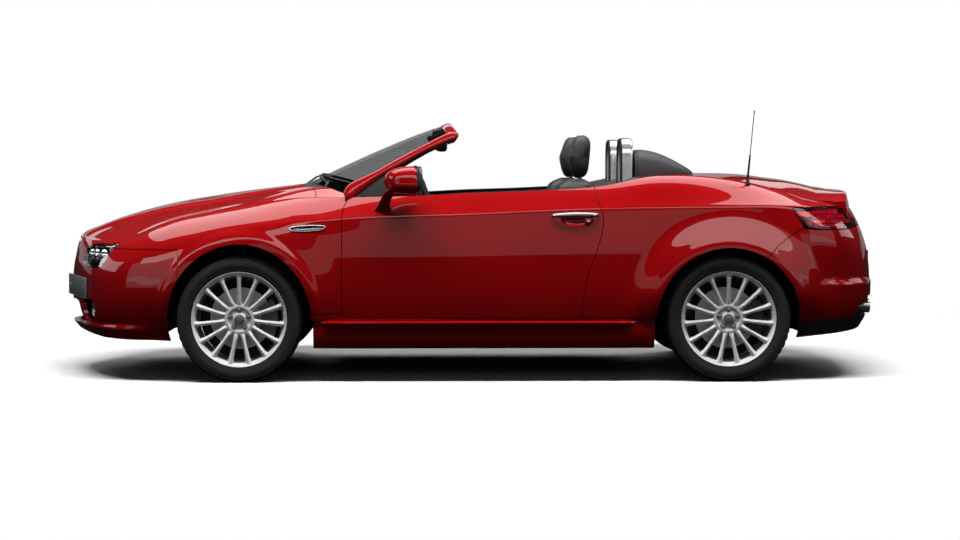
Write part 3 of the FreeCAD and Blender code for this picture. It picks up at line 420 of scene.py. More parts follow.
def exact_normals(ob, refs, tol=0.0004, dot=0.80):
    """Corners lying on a reference surface take its normal, other corners their face's own or a smoothed one."""
    me = ob.data
    me.polygons.foreach_set("use_smooth", [True] * len(me.polygons))
    base = np.zeros(len(me.loops) * 3, np.float32)
    me.set_sharp_from_angle(angle=math.radians(30))
    me.corner_normals.foreach_get("vector", base)
    nor = base.reshape(-1, 3).astype(float)
    co = np.zeros(len(me.vertices) * 3, np.float32)
    me.vertices.foreach_get("co", co)
    co = co.reshape(-1, 3)
    cache = {}
    for p in me.polygons:
        pn = p.normal
        for li in p.loop_indices:
            vi = me.loops[li].vertex_index
            if vi not in cache:
                best = None
                q = Vector(co[vi])
                for bvh, T, V, N in refs:
                    loc, _, fi, dist = bvh.find_nearest(q, 0.01)
                    if loc is not None and dist < tol and (best is None or dist < best[0]):
                        a, b, c = T[fi]
                        A, B, C = V[a], V[b], V[c]
                        P = np.array(loc)
                        v0, v1, v2 = B - A, C - A, P - A
                        d00, d01, d11, d20, d21 = v0 @ v0, v0 @ v1, v1 @ v1, v2 @ v0, v2 @ v1
                        den = d00 * d11 - d01 * d01
                        if abs(den) > 1e-18:
                            w1 = (d11 * d20 - d01 * d21) / den
                            w2 = (d00 * d21 - d01 * d20) / den
                        else:
                            w1 = w2 = 1 / 3
                        nn = N[a] * (1 - w1 - w2) + N[b] * w1 + N[c] * w2
                        nn = nn / max(np.linalg.norm(nn), 1e-9)
                        best = (dist, nn)
                cache[vi] = best
            b = cache[vi]
            if b is not None and pn.dot(Vector(b[1])) > dot:
                nor[li] = b[1]
    me.normals_split_custom_set([tuple(map(float, n)) for n in nor])
    return ob


def mirrored(ob, name):
    """Copy of a piece on the other side of the car's middle plane."""
    me = ob.data
    nv = len(me.vertices)
    co = np.zeros(nv * 3, np.float32)
    me.vertices.foreach_get("co", co)
    co = co.reshape(-1, 3).copy()
    co[:, 1] *= -1
    nor = np.zeros(len(me.loops) * 3, np.float32)
    me.corner_normals.foreach_get("vector", nor)
    nor = nor.reshape(-1, 3)
    F, N, M = [], [], []
    for p in me.polygons:
        F.append([me.loops[i].vertex_index for i in p.loop_indices][::-1])
        for i in list(p.loop_indices)[::-1]:
            N.append((float(nor[i][0]), -float(nor[i][1]), float(nor[i][2])))
        M.append(p.material_index)
    m2 = bpy.data.meshes.new(name)
    m2.from_pydata([tuple(map(float, v)) for v in co], [], F)
    m2.polygons.foreach_set("use_smooth", [p.use_smooth for p in me.polygons])
    m2.polygons.foreach_set("material_index", M)
    for m in me.materials:
        m2.materials.append(m)
    m2.normals_split_custom_set(N)
    o2 = bpy.data.objects.new(name, m2)
    SCENE.collection.objects.link(o2)
    return o2


def join(name, obs):
    obs = [o for o in obs if o is not None]
    bpy.context.view_layer.update()
    for o in bpy.context.selected_objects:
        o.select_set(False)
    for o in obs:
        o.select_set(True)
    bpy.context.view_layer.objects.active = obs[0]
    if len(obs) > 1:
        bpy.ops.object.join()
    obs[0].name = name
    obs[0].data.name = name
    obs[0].select_set(False)
    return obs[0]


def transform(ob, M):
    ob.data.transform(M)
    return ob


def lathe(name, prof, n=96, axis="y", center=(0, 0, 0), mats=(), closed=True, a0=0.0, a1=2 * math.pi):
    """Revolve (r, h) profile about an axis through center."""
    full = abs(a1 - a0 - 2 * math.pi) < 1e-6
    na = n if full else n + 1
    V = []
    for i in range(na):
        a = a0 + (a1 - a0) * i / n
        c, s = math.cos(a), math.sin(a)
        for r, h in prof:
            if axis == "y":
                V.append((r * c, h, r * s))
            elif axis == "z":
                V.append((r * c, r * s, h))
            else:
                V.append((h, r * c, r * s))
    V = np.array(V) + np.array(center)
    F = grid_faces(na, len(prof), 0, False, wrap_u=full, wrap_v=closed)
    ob = new_obj(name, V, F, mats)
    bm = bmesh.new(); bm.from_mesh(ob.data)
    bmesh.ops.remove_doubles(bm, verts=bm.verts, dist=1e-6)
    bmesh.ops.recalc_face_normals(bm, faces=bm.faces)
    bm.to_mesh(ob.data); bm.free()
    return ob


def loft(name, rings, mats=(), caps=True, wrap=True, smooth_=True):
    """Skin through rings of one point count."""
    R = np.array(rings, float)
    nu, nv = R.shape[:2]
    F = grid_faces(nu, nv, 0, False, wrap_v=wrap)
    V = list(R.reshape(-1, 3))
    if caps and wrap:
        F.append(tuple(range(nv))[::-1])
        F.append(tuple((nu - 1) * nv + k for k in range(nv)))
    ob = new_obj(name, V, F, mats, smooth_)
    return recalc(ob)


def bevel(ob, w=0.003, seg=2, angle=30):
    m = ob.modifiers.new("bv", "BEVEL")
    m.width = w
    m.segments = seg
    m.limit_method = "ANGLE"
    m.angle_limit = math.radians(angle)
    m.harden_normals = False
    apply_mods(ob)
    ob.data.polygons.foreach_set("use_smooth", [True] * len(ob.data.polygons))
    sharp(ob, 40)
    return ob


def subsurf(ob, lv=1):
    m = ob.modifiers.new("ss", "SUBSURF")
    m.levels = m.render_levels = lv
    return apply_mods(ob)


def tube(name, pts, r, n=12, mats=(), caps=True, rfun=None):
    """Round tube along a path."""
    P = np.array(pts, float)
    T = np.gradient(P, axis=0)
    T /= np.linalg.norm(T, axis=1, keepdims=True)
    up = np.array([0, 0, 1.0]) if abs(T[0][2]) < 0.9 else np.array([1.0, 0, 0])
    N = np.cross(T[0], up); N /= np.linalg.norm(N)
    rings = []
    for i in range(len(P)):
        N = N - T[i] * (N @ T[i]); N /= np.linalg.norm(N)
        B = np.cross(T[i], N)
        rr = r if rfun is None else rfun(i / (len(P) - 1))
        rings.append([P[i] + rr * (N * math.cos(2 * math.pi * k / n) + B * math.sin(2 * math.pi * k / n)) for k in range(n)])
    return loft(name, rings, mats, caps=caps)


def rbox(name, c, size, r=0.004, mats=(), seg=3):
    """Box with rounded edges at centre c."""
    sx, sy, sz = [s / 2 for s in size]
    V = [(c[0] + i * sx, c[1] + j * sy, c[2] + k * sz) for i in (-1, 1) for j in (-1, 1) for k in (-1, 1)]
    F = [(0, 1, 3, 2), (4, 6, 7, 5), (0, 4, 5, 1), (2, 3, 7, 6), (0, 2, 6, 4), (1, 5, 7, 3)]
    ob = recalc(new_obj(name, V, F, mats))
    return bevel(ob, min(r, 0.49 * min(size)), seg, 30)


def place(ob, body, slot, *nodes):
    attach(ob, body)
    if nodes:
        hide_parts(*nodes)
    return ob

# ------------------------------------------------------------------ finishes
def mat(name):
    m = bpy.data.materials.new(name)
    m.use_nodes = True
    nt = m.node_tree
    return m, nt, nt.nodes["Principled BSDF"]


def node(nt, kind, **kw):
    n = nt.nodes.new(kind)
    for k, v in kw.items():
        if k.startswith("in_"):
            n.inputs[k[3:].replace("_", " ")].default_value = v
        else:
            setattr(n, k, v)
    return n


def link(nt, a, ao, b, bi):
    nt.links.new(a.outputs[ao], b.inputs[bi])


def coords(nt, scale=1.0):
    c = node(nt, "ShaderNodeTexCoord")
    mp = node(nt, "ShaderNodeMapping")
    if not hasattr(scale, "__len__"):
        scale = (scale,) * 3
    mp.inputs["Scale"].default_value = scale
    link(nt, c, "Object", mp, "Vector")
    return mp


def noise(nt, mp, scale, detail=4.0, rough=0.5):
    n = node(nt, "ShaderNodeTexNoise")
    n.inputs["Scale"].default_value = scale
    n.inputs["Detail"].default_value = detail
    n.inputs["Roughness"].default_value = rough
    link(nt, mp, "Vector", n, "Vector")
    return n


def ramp(nt, src, out, stops):
    r = node(nt, "ShaderNodeValToRGB")
    el = r.color_ramp.elements
    while len(el) < len(stops):
        el.new(0.5)
    for e, (p, c) in zip(el, stops):
        e.position = p
        e.color = c if len(c) == 4 else (*c, 1)
    link(nt, src, out, r, "Fac")
    return r


def rng(nt, src, out, a, b, c, d):
    m = node(nt, "ShaderNodeMapRange")
    m.inputs["From Min"].default_value = a
    m.inputs["From Max"].default_value = b
    m.inputs["To Min"].default_value = c
    m.inputs["To Max"].default_value = d
    link(nt, src, out, m, "Value")
    return m


def add_bump(nt, bsdf, src, out, strength, dist=0.001, prev=None):
    b = node(nt, "ShaderNodeBump")
    b.inputs["Strength"].default_value = strength
    b.inputs["Distance"].default_value = dist
    link(nt, src, out, b, "Height")
    if prev is not None:
        link(nt, prev, "Normal", b, "Normal")
    nt.links.new(b.outputs["Normal"], bsdf.inputs["Normal"])
    return b


def plastic(name, col, rough=0.55, grain=900.0, bump=0.12, var=0.18, spec=0.5, coat=0.0):
    """Moulded plastic with a fine leather-like grain and slightly uneven gloss."""
    m, nt, b = mat(name)
    mp = coords(nt)
    n1 = noise(nt, mp, 14.0, 5.0)
    c = [min(1, x) for x in col]
    r = ramp(nt, n1, "Fac", [(0.30, [x * (1 - var) for x in c]), (0.70, [min(1, x * (1 + var)) for x in c])])
    nt.links.new(r.outputs["Color"], b.inputs["Base Color"])
    rr = rng(nt, n1, "Fac", 0.3, 0.7, rough - 0.06, rough + 0.06)
    nt.links.new(rr.outputs["Result"], b.inputs["Roughness"])
    b.inputs["Specular IOR Level"].default_value = spec
    if coat:
        b.inputs["Coat Weight"].default_value = coat
        b.inputs["Coat Roughness"].default_value = 0.05
    if bump:
        v = node(nt, "ShaderNodeTexVoronoi")
        v.inputs["Scale"].default_value = grain
        link(nt, mp, "Vector", v, "Vector")
        add_bump(nt, b, v, "Distance", bump, 0.0006)
    return m


def metal(name, col, rough=0.25, streak=None, bump=0.03, metallic=1.0, var=0.08):
    m, nt, b = mat(name)
    mp = coords(nt, streak if streak else 1.0)
    n1 = noise(nt, mp, 30.0, 6.0)
    r = ramp(nt, n1, "Fac", [(0.3, [x * (1 - var) for x in col]), (0.7, [min(1, x * (1 + var)) for x in col])])
    nt.links.new(r.outputs["Color"], b.inputs["Base Color"])
    b.inputs["Metallic"].default_value = metallic
    rr = rng(nt, n1, "Fac", 0.3, 0.7, max(rough - 0.05, 0.02), rough + 0.05)
    nt.links.new(rr.outputs["Result"], b.inputs["Roughness"])
    if bump:
        n2 = noise(nt, mp, 400.0, 3.0)
        add_bump(nt, b, n2, "Fac", bump, 0.0004)
    return m


def paint():
    """Deep red metallic under clear lacquer."""
    m, nt, b = mat("paint_red")
    mp = coords(nt)
    fl = node(nt, "ShaderNodeTexVoronoi")
    fl.inputs["Scale"].default_value = 1400.0
    link(nt, mp, "Vector", fl, "Vector")
    n1 = noise(nt, mp, 2.2, 3.0)
    r = ramp(nt, n1, "Fac", [(0.25, (0.300, 0.0010, 0.0022)), (0.75, (0.330, 0.0012, 0.0026))])
    nt.links.new(r.outputs["Color"], b.inputs["Base Color"])
    b.inputs["Metallic"].default_value = 0.10
    rr = rng(nt, fl, "Distance", 0.0, 1.0, 0.44, 0.54)
    nt.links.new(rr.outputs["Result"], b.inputs["Roughness"])
    b.inputs["Coat Weight"].default_value = 1.0
    b.inputs["Coat Roughness"].default_value = 0.012
    b.inputs["Coat IOR"].default_value = 1.5
    b.inputs["Specular IOR Level"].default_value = 0.03
    add_bump(nt, b, fl, "Distance", 0.05, 0.0002)
    return m


def glass(name, col=(0.78, 0.84, 0.82), rough=0.0, alpha=None, refl=(0.04, 0.30)):
    """Thin tinted glass: clear to look through, with a sharp reflection."""
    m = bpy.data.materials.new(name)
    m.use_nodes = True
    nt = m.node_tree
    nt.nodes.clear()
    out = nt.nodes.new("ShaderNodeOutputMaterial")
    b = nt.nodes.new("ShaderNodeBsdfPrincipled")
    b.inputs["Base Color"].default_value = (*col, 1)
    b.inputs["Roughness"].default_value = 0.03
    b.inputs["Specular IOR Level"].default_value = 0.5
    tr = nt.nodes.new("ShaderNodeBsdfTransparent")
    tr.inputs["Color"].default_value = (*col, 1)
    gl = nt.nodes.new("ShaderNodeBsdfGlossy")
    gl.inputs["Roughness"].default_value = 0.02
    gl.inputs["Color"].default_value = (1, 1, 1, 1)
    lw = nt.nodes.new("ShaderNodeLayerWeight")
    lw.inputs["Blend"].default_value = 0.35
    fr0 = nt.nodes.new("ShaderNodeMapRange")
    fr0.inputs["From Min"].default_value = 0.0
    fr0.inputs["From Max"].default_value = 1.0
    fr0.inputs["To Min"].default_value = refl[0]
    fr0.inputs["To Max"].default_value = refl[1]
    nt.links.new(lw.outputs["Facing"], fr0.inputs["Value"])
    fr = fr0
    mx = nt.nodes.new("ShaderNodeMixShader")
    nt.links.new(fr.outputs["Result"], mx.inputs["Fac"])
    nt.links.new(tr.outputs["BSDF"], mx.inputs[1])
    nt.links.new(gl.outputs["BSDF"], mx.inputs[2])
    nt.links.new(mx.outputs["Shader"], out.inputs["Surface"])
    nt.nodes.remove(b)
    return m


def rubber(name, col=(0.018, 0.018, 0.019), rough=0.62):
    m, nt, b = mat(name)
    mp = coords(nt)
    n1 = noise(nt, mp, 24.0, 6.0)
    r = ramp(nt, n1, "Fac", [(0.3, [x * 0.75 for x in col]), (0.7, [x * 1.3 for x in col])])
    nt.links.new(r.outputs["Color"], b.inputs["Base Color"])
    rr = rng(nt, n1, "Fac", 0.3, 0.7, rough - 0.08, rough + 0.08)
    nt.links.new(rr.outputs["Result"], b.inputs["Roughness"])
    b.inputs["Specular IOR Level"].default_value = 0.35
    n2 = noise(nt, mp, 900.0, 2.0)
    add_bump(nt, b, n2, "Fac", 0.12, 0.0003)
    return m


def leather(name, col=(0.026, 0.025, 0.026), rough=0.48, grain=420.0):
    m, nt, b = mat(name)
    mp = coords(nt)
    n1 = noise(nt, mp, 8.0, 5.0)
    r = ramp(nt, n1, "Fac", [(0.3, [x * 0.8 for x in col]), (0.7, [x * 1.25 for x in col])])
    nt.links.new(r.outputs["Color"], b.inputs["Base Color"])
    v = node(nt, "ShaderNodeTexVoronoi", feature="DISTANCE_TO_EDGE")
    v.inputs["Scale"].default_value = grain
    link(nt, mp, "Vector", v, "Vector")
    w = node(nt, "ShaderNodeTexVoronoi", feature="DISTANCE_TO_EDGE")
    w.inputs["Scale"].default_value = grain * 0.45
    link(nt, mp, "Vector", w, "Vector")
    b1 = add_bump(nt, b, v, "Distance", 0.22, 0.0010)
    add_bump(nt, b, w, "Distance", 0.15, 0.0012, b1)
    rr = rng(nt, n1, "Fac", 0.3, 0.7, rough - 0.05, rough + 0.07)
    nt.links.new(rr.outputs["Result"], b.inputs["Roughness"])
    b.inputs["Specular IOR Level"].default_value = 0.4
    return m


def carpet(name, col=(0.020, 0.020, 0.021)):
    m, nt, b = mat(name)
    mp = coords(nt)
    n1 = noise(nt, mp, 700.0, 4.0)
    r = ramp(nt, n1, "Fac", [(0.3, [x * 0.5 for x in col]), (0.7, [x * 1.6 for x in col])])
    nt.links.new(r.outputs["Color"], b.inputs["Base Color"])
    b.inputs["Roughness"].default_value = 0.95
    b.inputs["Specular IOR Level"].default_value = 0.1
    b.inputs["Sheen Weight"].default_value = 0.25
    add_bump(nt, b, n1, "Fac", 0.8, 0.003)
    return m


def fabric(name, col, scale=650.0):
    m, nt, b = mat(name)
    mp = coords(nt)
    w1 = node(nt, "ShaderNodeTexWave", wave_type="BANDS", bands_direction="Y")
    w1.inputs["Scale"].default_value = scale
    w2 = node(nt, "ShaderNodeTexWave", wave_type="BANDS", bands_direction="Z")
    w2.inputs["Scale"].default_value = scale
    link(nt, mp, "Vector", w1, "Vector"); link(nt, mp, "Vector", w2, "Vector")
    n1 = noise(nt, mp, 10.0, 4.0)
    r = ramp(nt, n1, "Fac", [(0.3, [x * 0.8 for x in col]), (0.7, [x * 1.2 for x in col])])
    nt.links.new(r.outputs["Color"], b.inputs["Base Color"])
    b.inputs["Roughness"].default_value = 0.9
    b1 = add_bump(nt, b, w1, "Color", 0.25, 0.0006)
    add_bump(nt, b, w2, "Color", 0.25, 0.0006, b1)
    return m


def lens(name, col, emit=0.0):
    """Coloured lamp lens with fine ribs below the surface."""
    m, nt, b = mat(name)
    mp = coords(nt)
    w = node(nt, "ShaderNodeTexWave", wave_type="BANDS", bands_direction="Z")
    w.inputs["Scale"].default_value = 60.0
    link(nt, mp, "Vector", w, "Vector")
    r = ramp(nt, w, "Fac", [(0.2, [x * 0.55 for x in col]), (0.8, col)])
    nt.links.new(r.outputs["Color"], b.inputs["Base Color"])
    b.inputs["Roughness"].default_value = 0.25
    b.inputs["Coat Weight"].default_value = 1.0
    b.inputs["Coat Roughness"].default_value = 0.02
    if emit:
        nt.links.new(r.outputs["Color"], b.inputs["Emission Color"])
        b.inputs["Emission Strength"].default_value = emit
    return m


def add_translucent(m, amount=0.4):
    return m


PAINT = paint()
TRIM = plastic("trim_black", (0.012, 0.012, 0.013), 0.50)
TRIM_GLOSS = plastic("trim_gloss_black", (0.006, 0.006, 0.007), 0.12, bump=0.0, coat=0.6)
TRIM_GREY = plastic("trim_grey", (0.045, 0.045, 0.047), 0.50)
DASH = plastic("dash_skin", (0.016, 0.016, 0.017), 0.62, grain=520.0, bump=0.25)
UNDER = plastic("underbody", (0.022, 0.022, 0.023), 0.8, grain=200.0, bump=0.3)
LINER = plastic("liner", (0.008, 0.008, 0.008), 0.85, grain=250.0, bump=0.3)
STEEL = metal("bare_steel", (0.30, 0.30, 0.31), 0.42)
DARK_STEEL = metal("dark_steel", (0.06, 0.06, 0.065), 0.5, metallic=0.6)
IRON = metal("cast_iron", (0.16, 0.155, 0.15), 0.6, metallic=0.8, bump=0.3)
CHROME = metal("chrome", (0.86, 0.86, 0.88), 0.07, bump=0.0, var=0.02)
SATIN = metal("satin_alloy", (0.55, 0.56, 0.58), 0.30, var=0.04)
RIM_MAT = metal("rim_silver", (0.86, 0.86, 0.87), 0.38, metallic=0.40, var=0.03, bump=0.02)
HOOP_MAT = metal("hoop_bright", (0.78, 0.78, 0.79), 0.22, metallic=0.80, var=0.02, bump=0.0)
# dark grey for the barrel's inside behind the spokes and for the bolt wells: painted shade in the wheel's hollows
RIM_PAINTED_SHADE = metal("rim_barrel", (0.10, 0.10, 0.105), 0.60, metallic=0.3, var=0.05)
# brake disc: steel grey, made paler than bare steel so it shows in the shade inside the wheel; the extra paleness is
# painted light
DISC_STEEL_PAINTED_LIGHT = metal("brake_disc", (0.74, 0.74, 0.75), 0.40, metallic=0.30, var=0.05)
RUBBER = rubber("tyre_rubber")
SEAL = rubber("rubber_seal", (0.010, 0.010, 0.010), 0.6)
LEATHER = leather("leather_charcoal")
LEATHER2 = leather("leather_perforated", (0.030, 0.029, 0.030), 0.55, 700.0)
CARPET = carpet("carpet_black")
THREAD = fabric("thread_grey", (0.10, 0.10, 0.105))
GLASS = glass("screen_glass", (0.655, 0.66, 0.66), refl=(0.035, 0.075))
LENS_CLEAR = glass("lens_clear", (0.93, 0.95, 0.96))
LENS_TAIL = glass("lens_smoked", (0.86, 0.70, 0.74), refl=(0.03, 0.12))
SIDE_GLASS = glass("side_glass", (0.82, 0.87, 0.86))
MIRROR = metal("mirror_silver", (0.88, 0.89, 0.90), 0.03, bump=0.0, var=0.01)
PLATE = plastic("plate_blank", (0.24, 0.245, 0.255), 0.35, grain=1200.0, bump=0.05, var=0.05)
LAMP_RED = lens("lamp_red", (0.62, 0.008, 0.045), 0.22)
LAMP_ORANGE = lens("lamp_orange_red", (0.95, 0.045, 0.012), 0.50)
LAMP_DARK = plastic("lamp_surround", (0.022, 0.014, 0.018), 0.25, bump=0.0, coat=0.8)
LAMP_AMBER = lens("lamp_amber", (0.75, 0.22, 0.03), 0.05)
COVER = plastic("cover_grey", (0.024, 0.024, 0.0255), 0.55, grain=520.0, bump=0.25)
FABRIC_BELT = fabric("belt_web", (0.012, 0.012, 0.013), 900.0)
DIAL = plastic("dial_face", (0.012, 0.012, 0.014), 0.45, grain=300.0, bump=0.02)
DIAL_MARK = plastic("dial_mark", (0.75, 0.75, 0.73), 0.5, grain=300.0, bump=0.0)
DIAL_GLASS = DIAL
BRUSHED = metal("brushed_panel", (0.42, 0.42, 0.44), 0.34, streak=(1.0, 60.0, 1.0), bump=0.05)
THREAD_DARK = fabric("binding", (0.015, 0.015, 0.016), 1200.0)

# ------------------------------------------------------------------ painted side panels
def panel(name, outline, x0, x1, v0, v1, nt=None, nv=40, depth=0.018, y0=0.30, y1=1.05, gap=0.002, holes=(), mats=None, lip=None, tt=None):
    """A piece of the right body side inside an outline drawn in side view, cut from a fine grid of the exact surface."""
    if tt is None:
        tt = (t_at(x0), t_at(x1))
    if nt is None:
        nt = max(6, int(abs(x1 - x0) / 0.0125))
    T = np.linspace(tt[0], tt[1], nt + 1)
    Vv = np.linspace(v0, v1, nv + 1)
    TT, VV = np.meshgrid(T, Vv, indexing="ij")
    outer = side(TT, VV)
    inner = side(TT, VV, depth)
    if v1 >= 4.0:
        inner[:, -1] = outer[:, -1] - np.array([0, 0, depth])
    V, F = shell(name, outer, inner)
    ob = new_obj(name, V, F, mats or [PAINT])
    recalc(ob)
    P = offset_poly(outline, gap)
    boolean(ob, prism("cut", P, y0, y1), "INTERSECT")
    for h in holes:
        boolean(ob, prism("cut", h, y0 - 0.1, y1 + 0.1), "DIFFERENCE")
    ref = surface_ref(outer)
    # the reference normals point outwards from the car
    bvh, TR, VV_, N = ref
    c = VV_.mean(0)
    if np.sum(N[:, 1]) < 0:
        N *= -1
    exact_normals(ob, [(bvh, TR, VV_, N)])
    return ob


def circle(xc, zc, r, a0=0.0, a1=360.0, n=96):
    a = np.radians(np.linspace(a0, a1, n + 1))
    if abs(a1 - a0) >= 360:
        a = a[:-1]
    return np.stack([xc + r * np.cos(a), zc + r * np.sin(a)], -1)


ARCH_F = circle(FRONT_X, AXLE_Z - .004, ARCH_R)
ARCH_F[:, 1] += ARCH_UP * np.clip((ARCH_F[:, 1] - AXLE_Z) / ARCH_R, 0, 1) ** 1.5
ARCH_B = circle(REAR_X, AXLE_Z - .004, ARCH_R)

# shut lines in side view (x, z)
DOOR_FRONT = smooth_poly([(-.622, .965), (-.632, .938), (-.648, .905), (-.656, .868), (-.657, .80), (-.657, .60), (-.657, .333)], 8)
DOOR_REAR = smooth_poly([(.648, 1.02), (.652, .985), (.668, .925), (.683, .880), (.690, .838), (.684, .780), (.667, .715), (.640, .640), (.612, .560), (.592, .470),
                         (.583, .400), (.580, .333)], 6)
# headlamp opening seen from the front (y, z), right side
LAMP_F = smooth_poly([(.440, .658), (.446, .626), (.470, .600), (.540, .586), (.620, .582), (.680, .582), (.701, .589), (.714, .620), (.712, .660), (.702, .690), (.684, .7115), (.640, .7120),
                      (.540, .7060), (.470, .690)], 5, closed=True)
VENT = smooth_poly([(-.925, .7930), (-.900, .8045), (-.820, .8105), (-.750, .8080), (-.742, .8005), (-.765, .7885), (-.840, .7815), (-.905, .7840)], 5, closed=True)
HANDLE_DISH = smooth_poly([(.470, .846), (.480, .822), (.510, .806), (.555, .802), (.600, .806), (.628, .820), (.640, .846), (.600, .862), (.520, .862)], 5, closed=True)


def body_sides():
    obs = []
    # door skin
    out = np.vstack([DOOR_FRONT, DOOR_REAR[::-1]])
    out = np.vstack([[(-.622, 1.06)], DOOR_FRONT, [(-.657, .333)], DOOR_REAR[::-1], [(.648, 1.06)]])
    d = panel("door_skin_right", out, -.70, .72, 0.96, 4.0, nv=64, depth=0.016, holes=[HANDLE_DISH])
    # front wing
    o = np.vstack([[(-1.90, .60 + .0855)], [(-1.50, .6855)], [(-1.50, .30)], [(-.80, .30)], [(-.80, .357)], [(-.657, .357)], DOOR_FRONT[::-1][1:], [(-.622, 1.2), (-1.90, 1.2)]])
    w = panel("front_wing_right", o, -1.880, -.60, 0.96, 4.0, nv=64, holes=[ARCH_F], depth=0.016)
    boolean(w, prism("cut", LAMP_F, -2.3, -1.7, "x"))
    boolean(w, prism("cut", VENT, .84, 1.0))
    # front bumper (whole width)
    T1 = t_at(-1.50)
    T = np.linspace(-T1, T1, 241)
    Vv = np.linspace(0, 4.0, 61)
    TT, VV = np.meshgrid(T, Vv, indexing="ij")
    outer, inner = side(TT, VV), side(TT, VV, 0.020)
    inner[:, -1] = outer[:, -1] - np.array([0, 0, .020])
    V, F = shell("fb", outer, inner)
    fb = recalc(new_obj("front_bumper_skin", V, F, [PAINT]))
    bot = [(-2.30, .10), (-1.49, .10)]
    outl = offset_poly(np.array([(-2.30, .10), (-1.490, .10), (-1.490, .6855), (-1.850, .6855), (-1.870, .6855), (-1.870, .80), (-2.30, .80)]), .002)
    boolean(fb, prism("cut", outl, -1.1, 1.1), "INTERSECT")
    for s in (1, -1):
        boolean(fb, prism("cut", [(s * a, b) for a, b in LAMP_F], -2.3, -1.7, "x"))
    boolean(fb, prism("cut", ARCH_F, -1.1, 1.1))
    N = surface_ref(outer)
    c = outer.reshape(-1, 3) - np.array([-1.2, 0, .5])
    if np.sum(N[3] * c) < 0:
        N[3][:] *= -1
    bumper_front_details(fb)
    exact_normals(fb, [N])
    # rear wing
    o = np.vstack([[(.648, 1.2)], DOOR_REAR[DOOR_REAR[:, 1] > .338], [(.580, .3335), (1.10, .3335), (1.10, .30), (1.50, .30), (1.52, .62), (1.545, .650), (1.595, .708), (1.655, .752), (1.713, .788), (1.735, .795),
                   (1.722, .820), (1.700, .850), (1.680, .880), (1.672, .897), (1.700, .902), (1.90, .905), (2.02, .908), (2.02, 1.2)]])
    q = panel("rear_wing_right", o, .54, 2.035, 0.96, 4.0, nv=72, holes=[ARCH_B], depth=0.016)
    # rear bumper (whole width)
    T0 = t_at(1.49)
    T = np.linspace(T0, 2 * LAST - T0, 241)
    Vv = np.linspace(0.55, 3.4, 55)
    TT, VV = np.meshgrid(T, Vv, indexing="ij")
    outer, inner = side(TT, VV), side(TT, VV, 0.020)
    V, F = shell("rb", outer, inner)
    rb = recalc(new_obj("rear_bumper_skin", V, F, [PAINT]))
    outl = offset_poly(np.array([(1.52, .285), (1.52, .622), (1.545, .650), (1.595, .708), (1.655, .752), (1.713, .788), (1.735, .794), (1.80, .787), (1.90, .785), (1.972, .788), (2.03, .797), (2.06, .803), (2.085, .808), (2.0939, .787), (2.1077, .75),
                                 (2.1185, .7175), (2.30, .7165), (2.30, .338), (2.10, .335), (2.00, .327), (1.87, .317), (1.70, .297)]), .002)
    boolean(rb, prism("cut", outl, -1.1, 1.1), "INTERSECT")
    # tail pipes' cut-outs, open towards the valance and the rear
    for s in (1, -1):
        lo_, hi_ = sorted((s * .385, s * 1.0))
        boolean(rb, prism("cut", smooth_poly([(2.018, .320), (2.052, .390), (2.076, .416), (2.116, .432)], 4).tolist() + [(2.30, .437), (2.30, .320)], lo_, hi_))
    boolean(rb, prism("cut", ARCH_B, -1.1, 1.1))
    N2 = surface_ref(outer)
    c = outer.reshape(-1, 3) - np.array([1.2, 0, .5])
    if np.sum(N2[3] * c) < 0:
        N2[3][:] *= -1
    bumper_rear_details(rb)
    exact_normals(rb, [N2])
    # black valance under the rear bumper
    Vv = np.linspace(0.0, 1.35, 23)
    TT, VV = np.meshgrid(T, Vv, indexing="ij")
    outer, inner = side(TT, VV, .0015), side(TT, VV, 0.020)
    V, F = shell("va", outer, inner)
    va = recalc(new_obj("rear_valance_skin", V, F, [TRIM]))
    boolean(va, prism("cut", [(1.585, .0), (1.585, .295), (1.70, .307), (1.87, .327), (2.00, .337), (2.10, .335), (2.3, .335), (2.3, .0)], -1.1, 1.1), "INTERSECT")
    boolean(va, prism("cut", ARCH_B, -1.1, 1.1))
    bumper_valance_details(va)
    sharp(va, 35)
    return d, w, fb, q, rb, va


SHIELD = smooth_poly([(-.172, .800), (-.172, .716), (-.166, .670), (-.150, .600), (-.126, .535), (-.100, .500), (-.060, .488), (0, .485), (.060, .488), (.100, .500), (.126, .535),
                      (.150, .600), (.166, .670), (.172, .716), (.172, .800)], 6)
GRILLE_LOW = smooth_poly([(-.470, .300), (-.440, .352), (-.400, .388), (-.300, .398), (-.150, .392), (0, .390), (.150, .392), (.300, .398), (.400, .388), (.440, .352), (.470, .300), (.430, .282),
                          (.250, .276), (0, .275), (-.250, .276), (-.430, .282)], 6, closed=True)
GRILLE_SIDE = smooth_poly([(.505, .408), (.560, .418), (.640, .414), (.672, .400), (.676, .370), (.660, .330), (.630, .306), (.560, .300), (.524, .316), (.506, .360)], 6, closed=True)


def bumper_front_details(fb):
    """Openings for grille, lower intake and the plate's flat."""
    # central shield, from the bonnet edge down into a point
    boolean(fb, prism("cut", SHIELD, -2.30, -2.06, "x"))
    # lower openings: one long one under the plate's height, and one at each corner, parted by leaning struts
    boolean(fb, prism("cut", GRILLE_LOW, -2.30, -1.90, "x"))
    for s in (1, -1):
        boolean(fb, prism("cut", [(s * a, b) for a, b in GRILLE_SIDE], -2.30, -1.80, "x"))


def bumper_rear_details(rb):
    for s in (1, -1):
        c = smooth_poly([(s * .405, .360), (s * .405, .398), (s * .430, .418), (s * .505, .422), (s * .580, .418), (s * .610, .398), (s * .610, .330), (s * .405, .330)], 6, closed=True)
        boolean(rb, prism("cut", c, 1.90, 2.40, "x"))


def bumper_valance_details(va):
    for s in (1, -1):
        c = [(s * .412, .440), (s * .412, .335), (s * .440, .318), (s * .570, .318), (s * .600, .335), (s * .600, .440)]
        boolean(va, prism("cut", c, 1.90, 2.40, "x"))


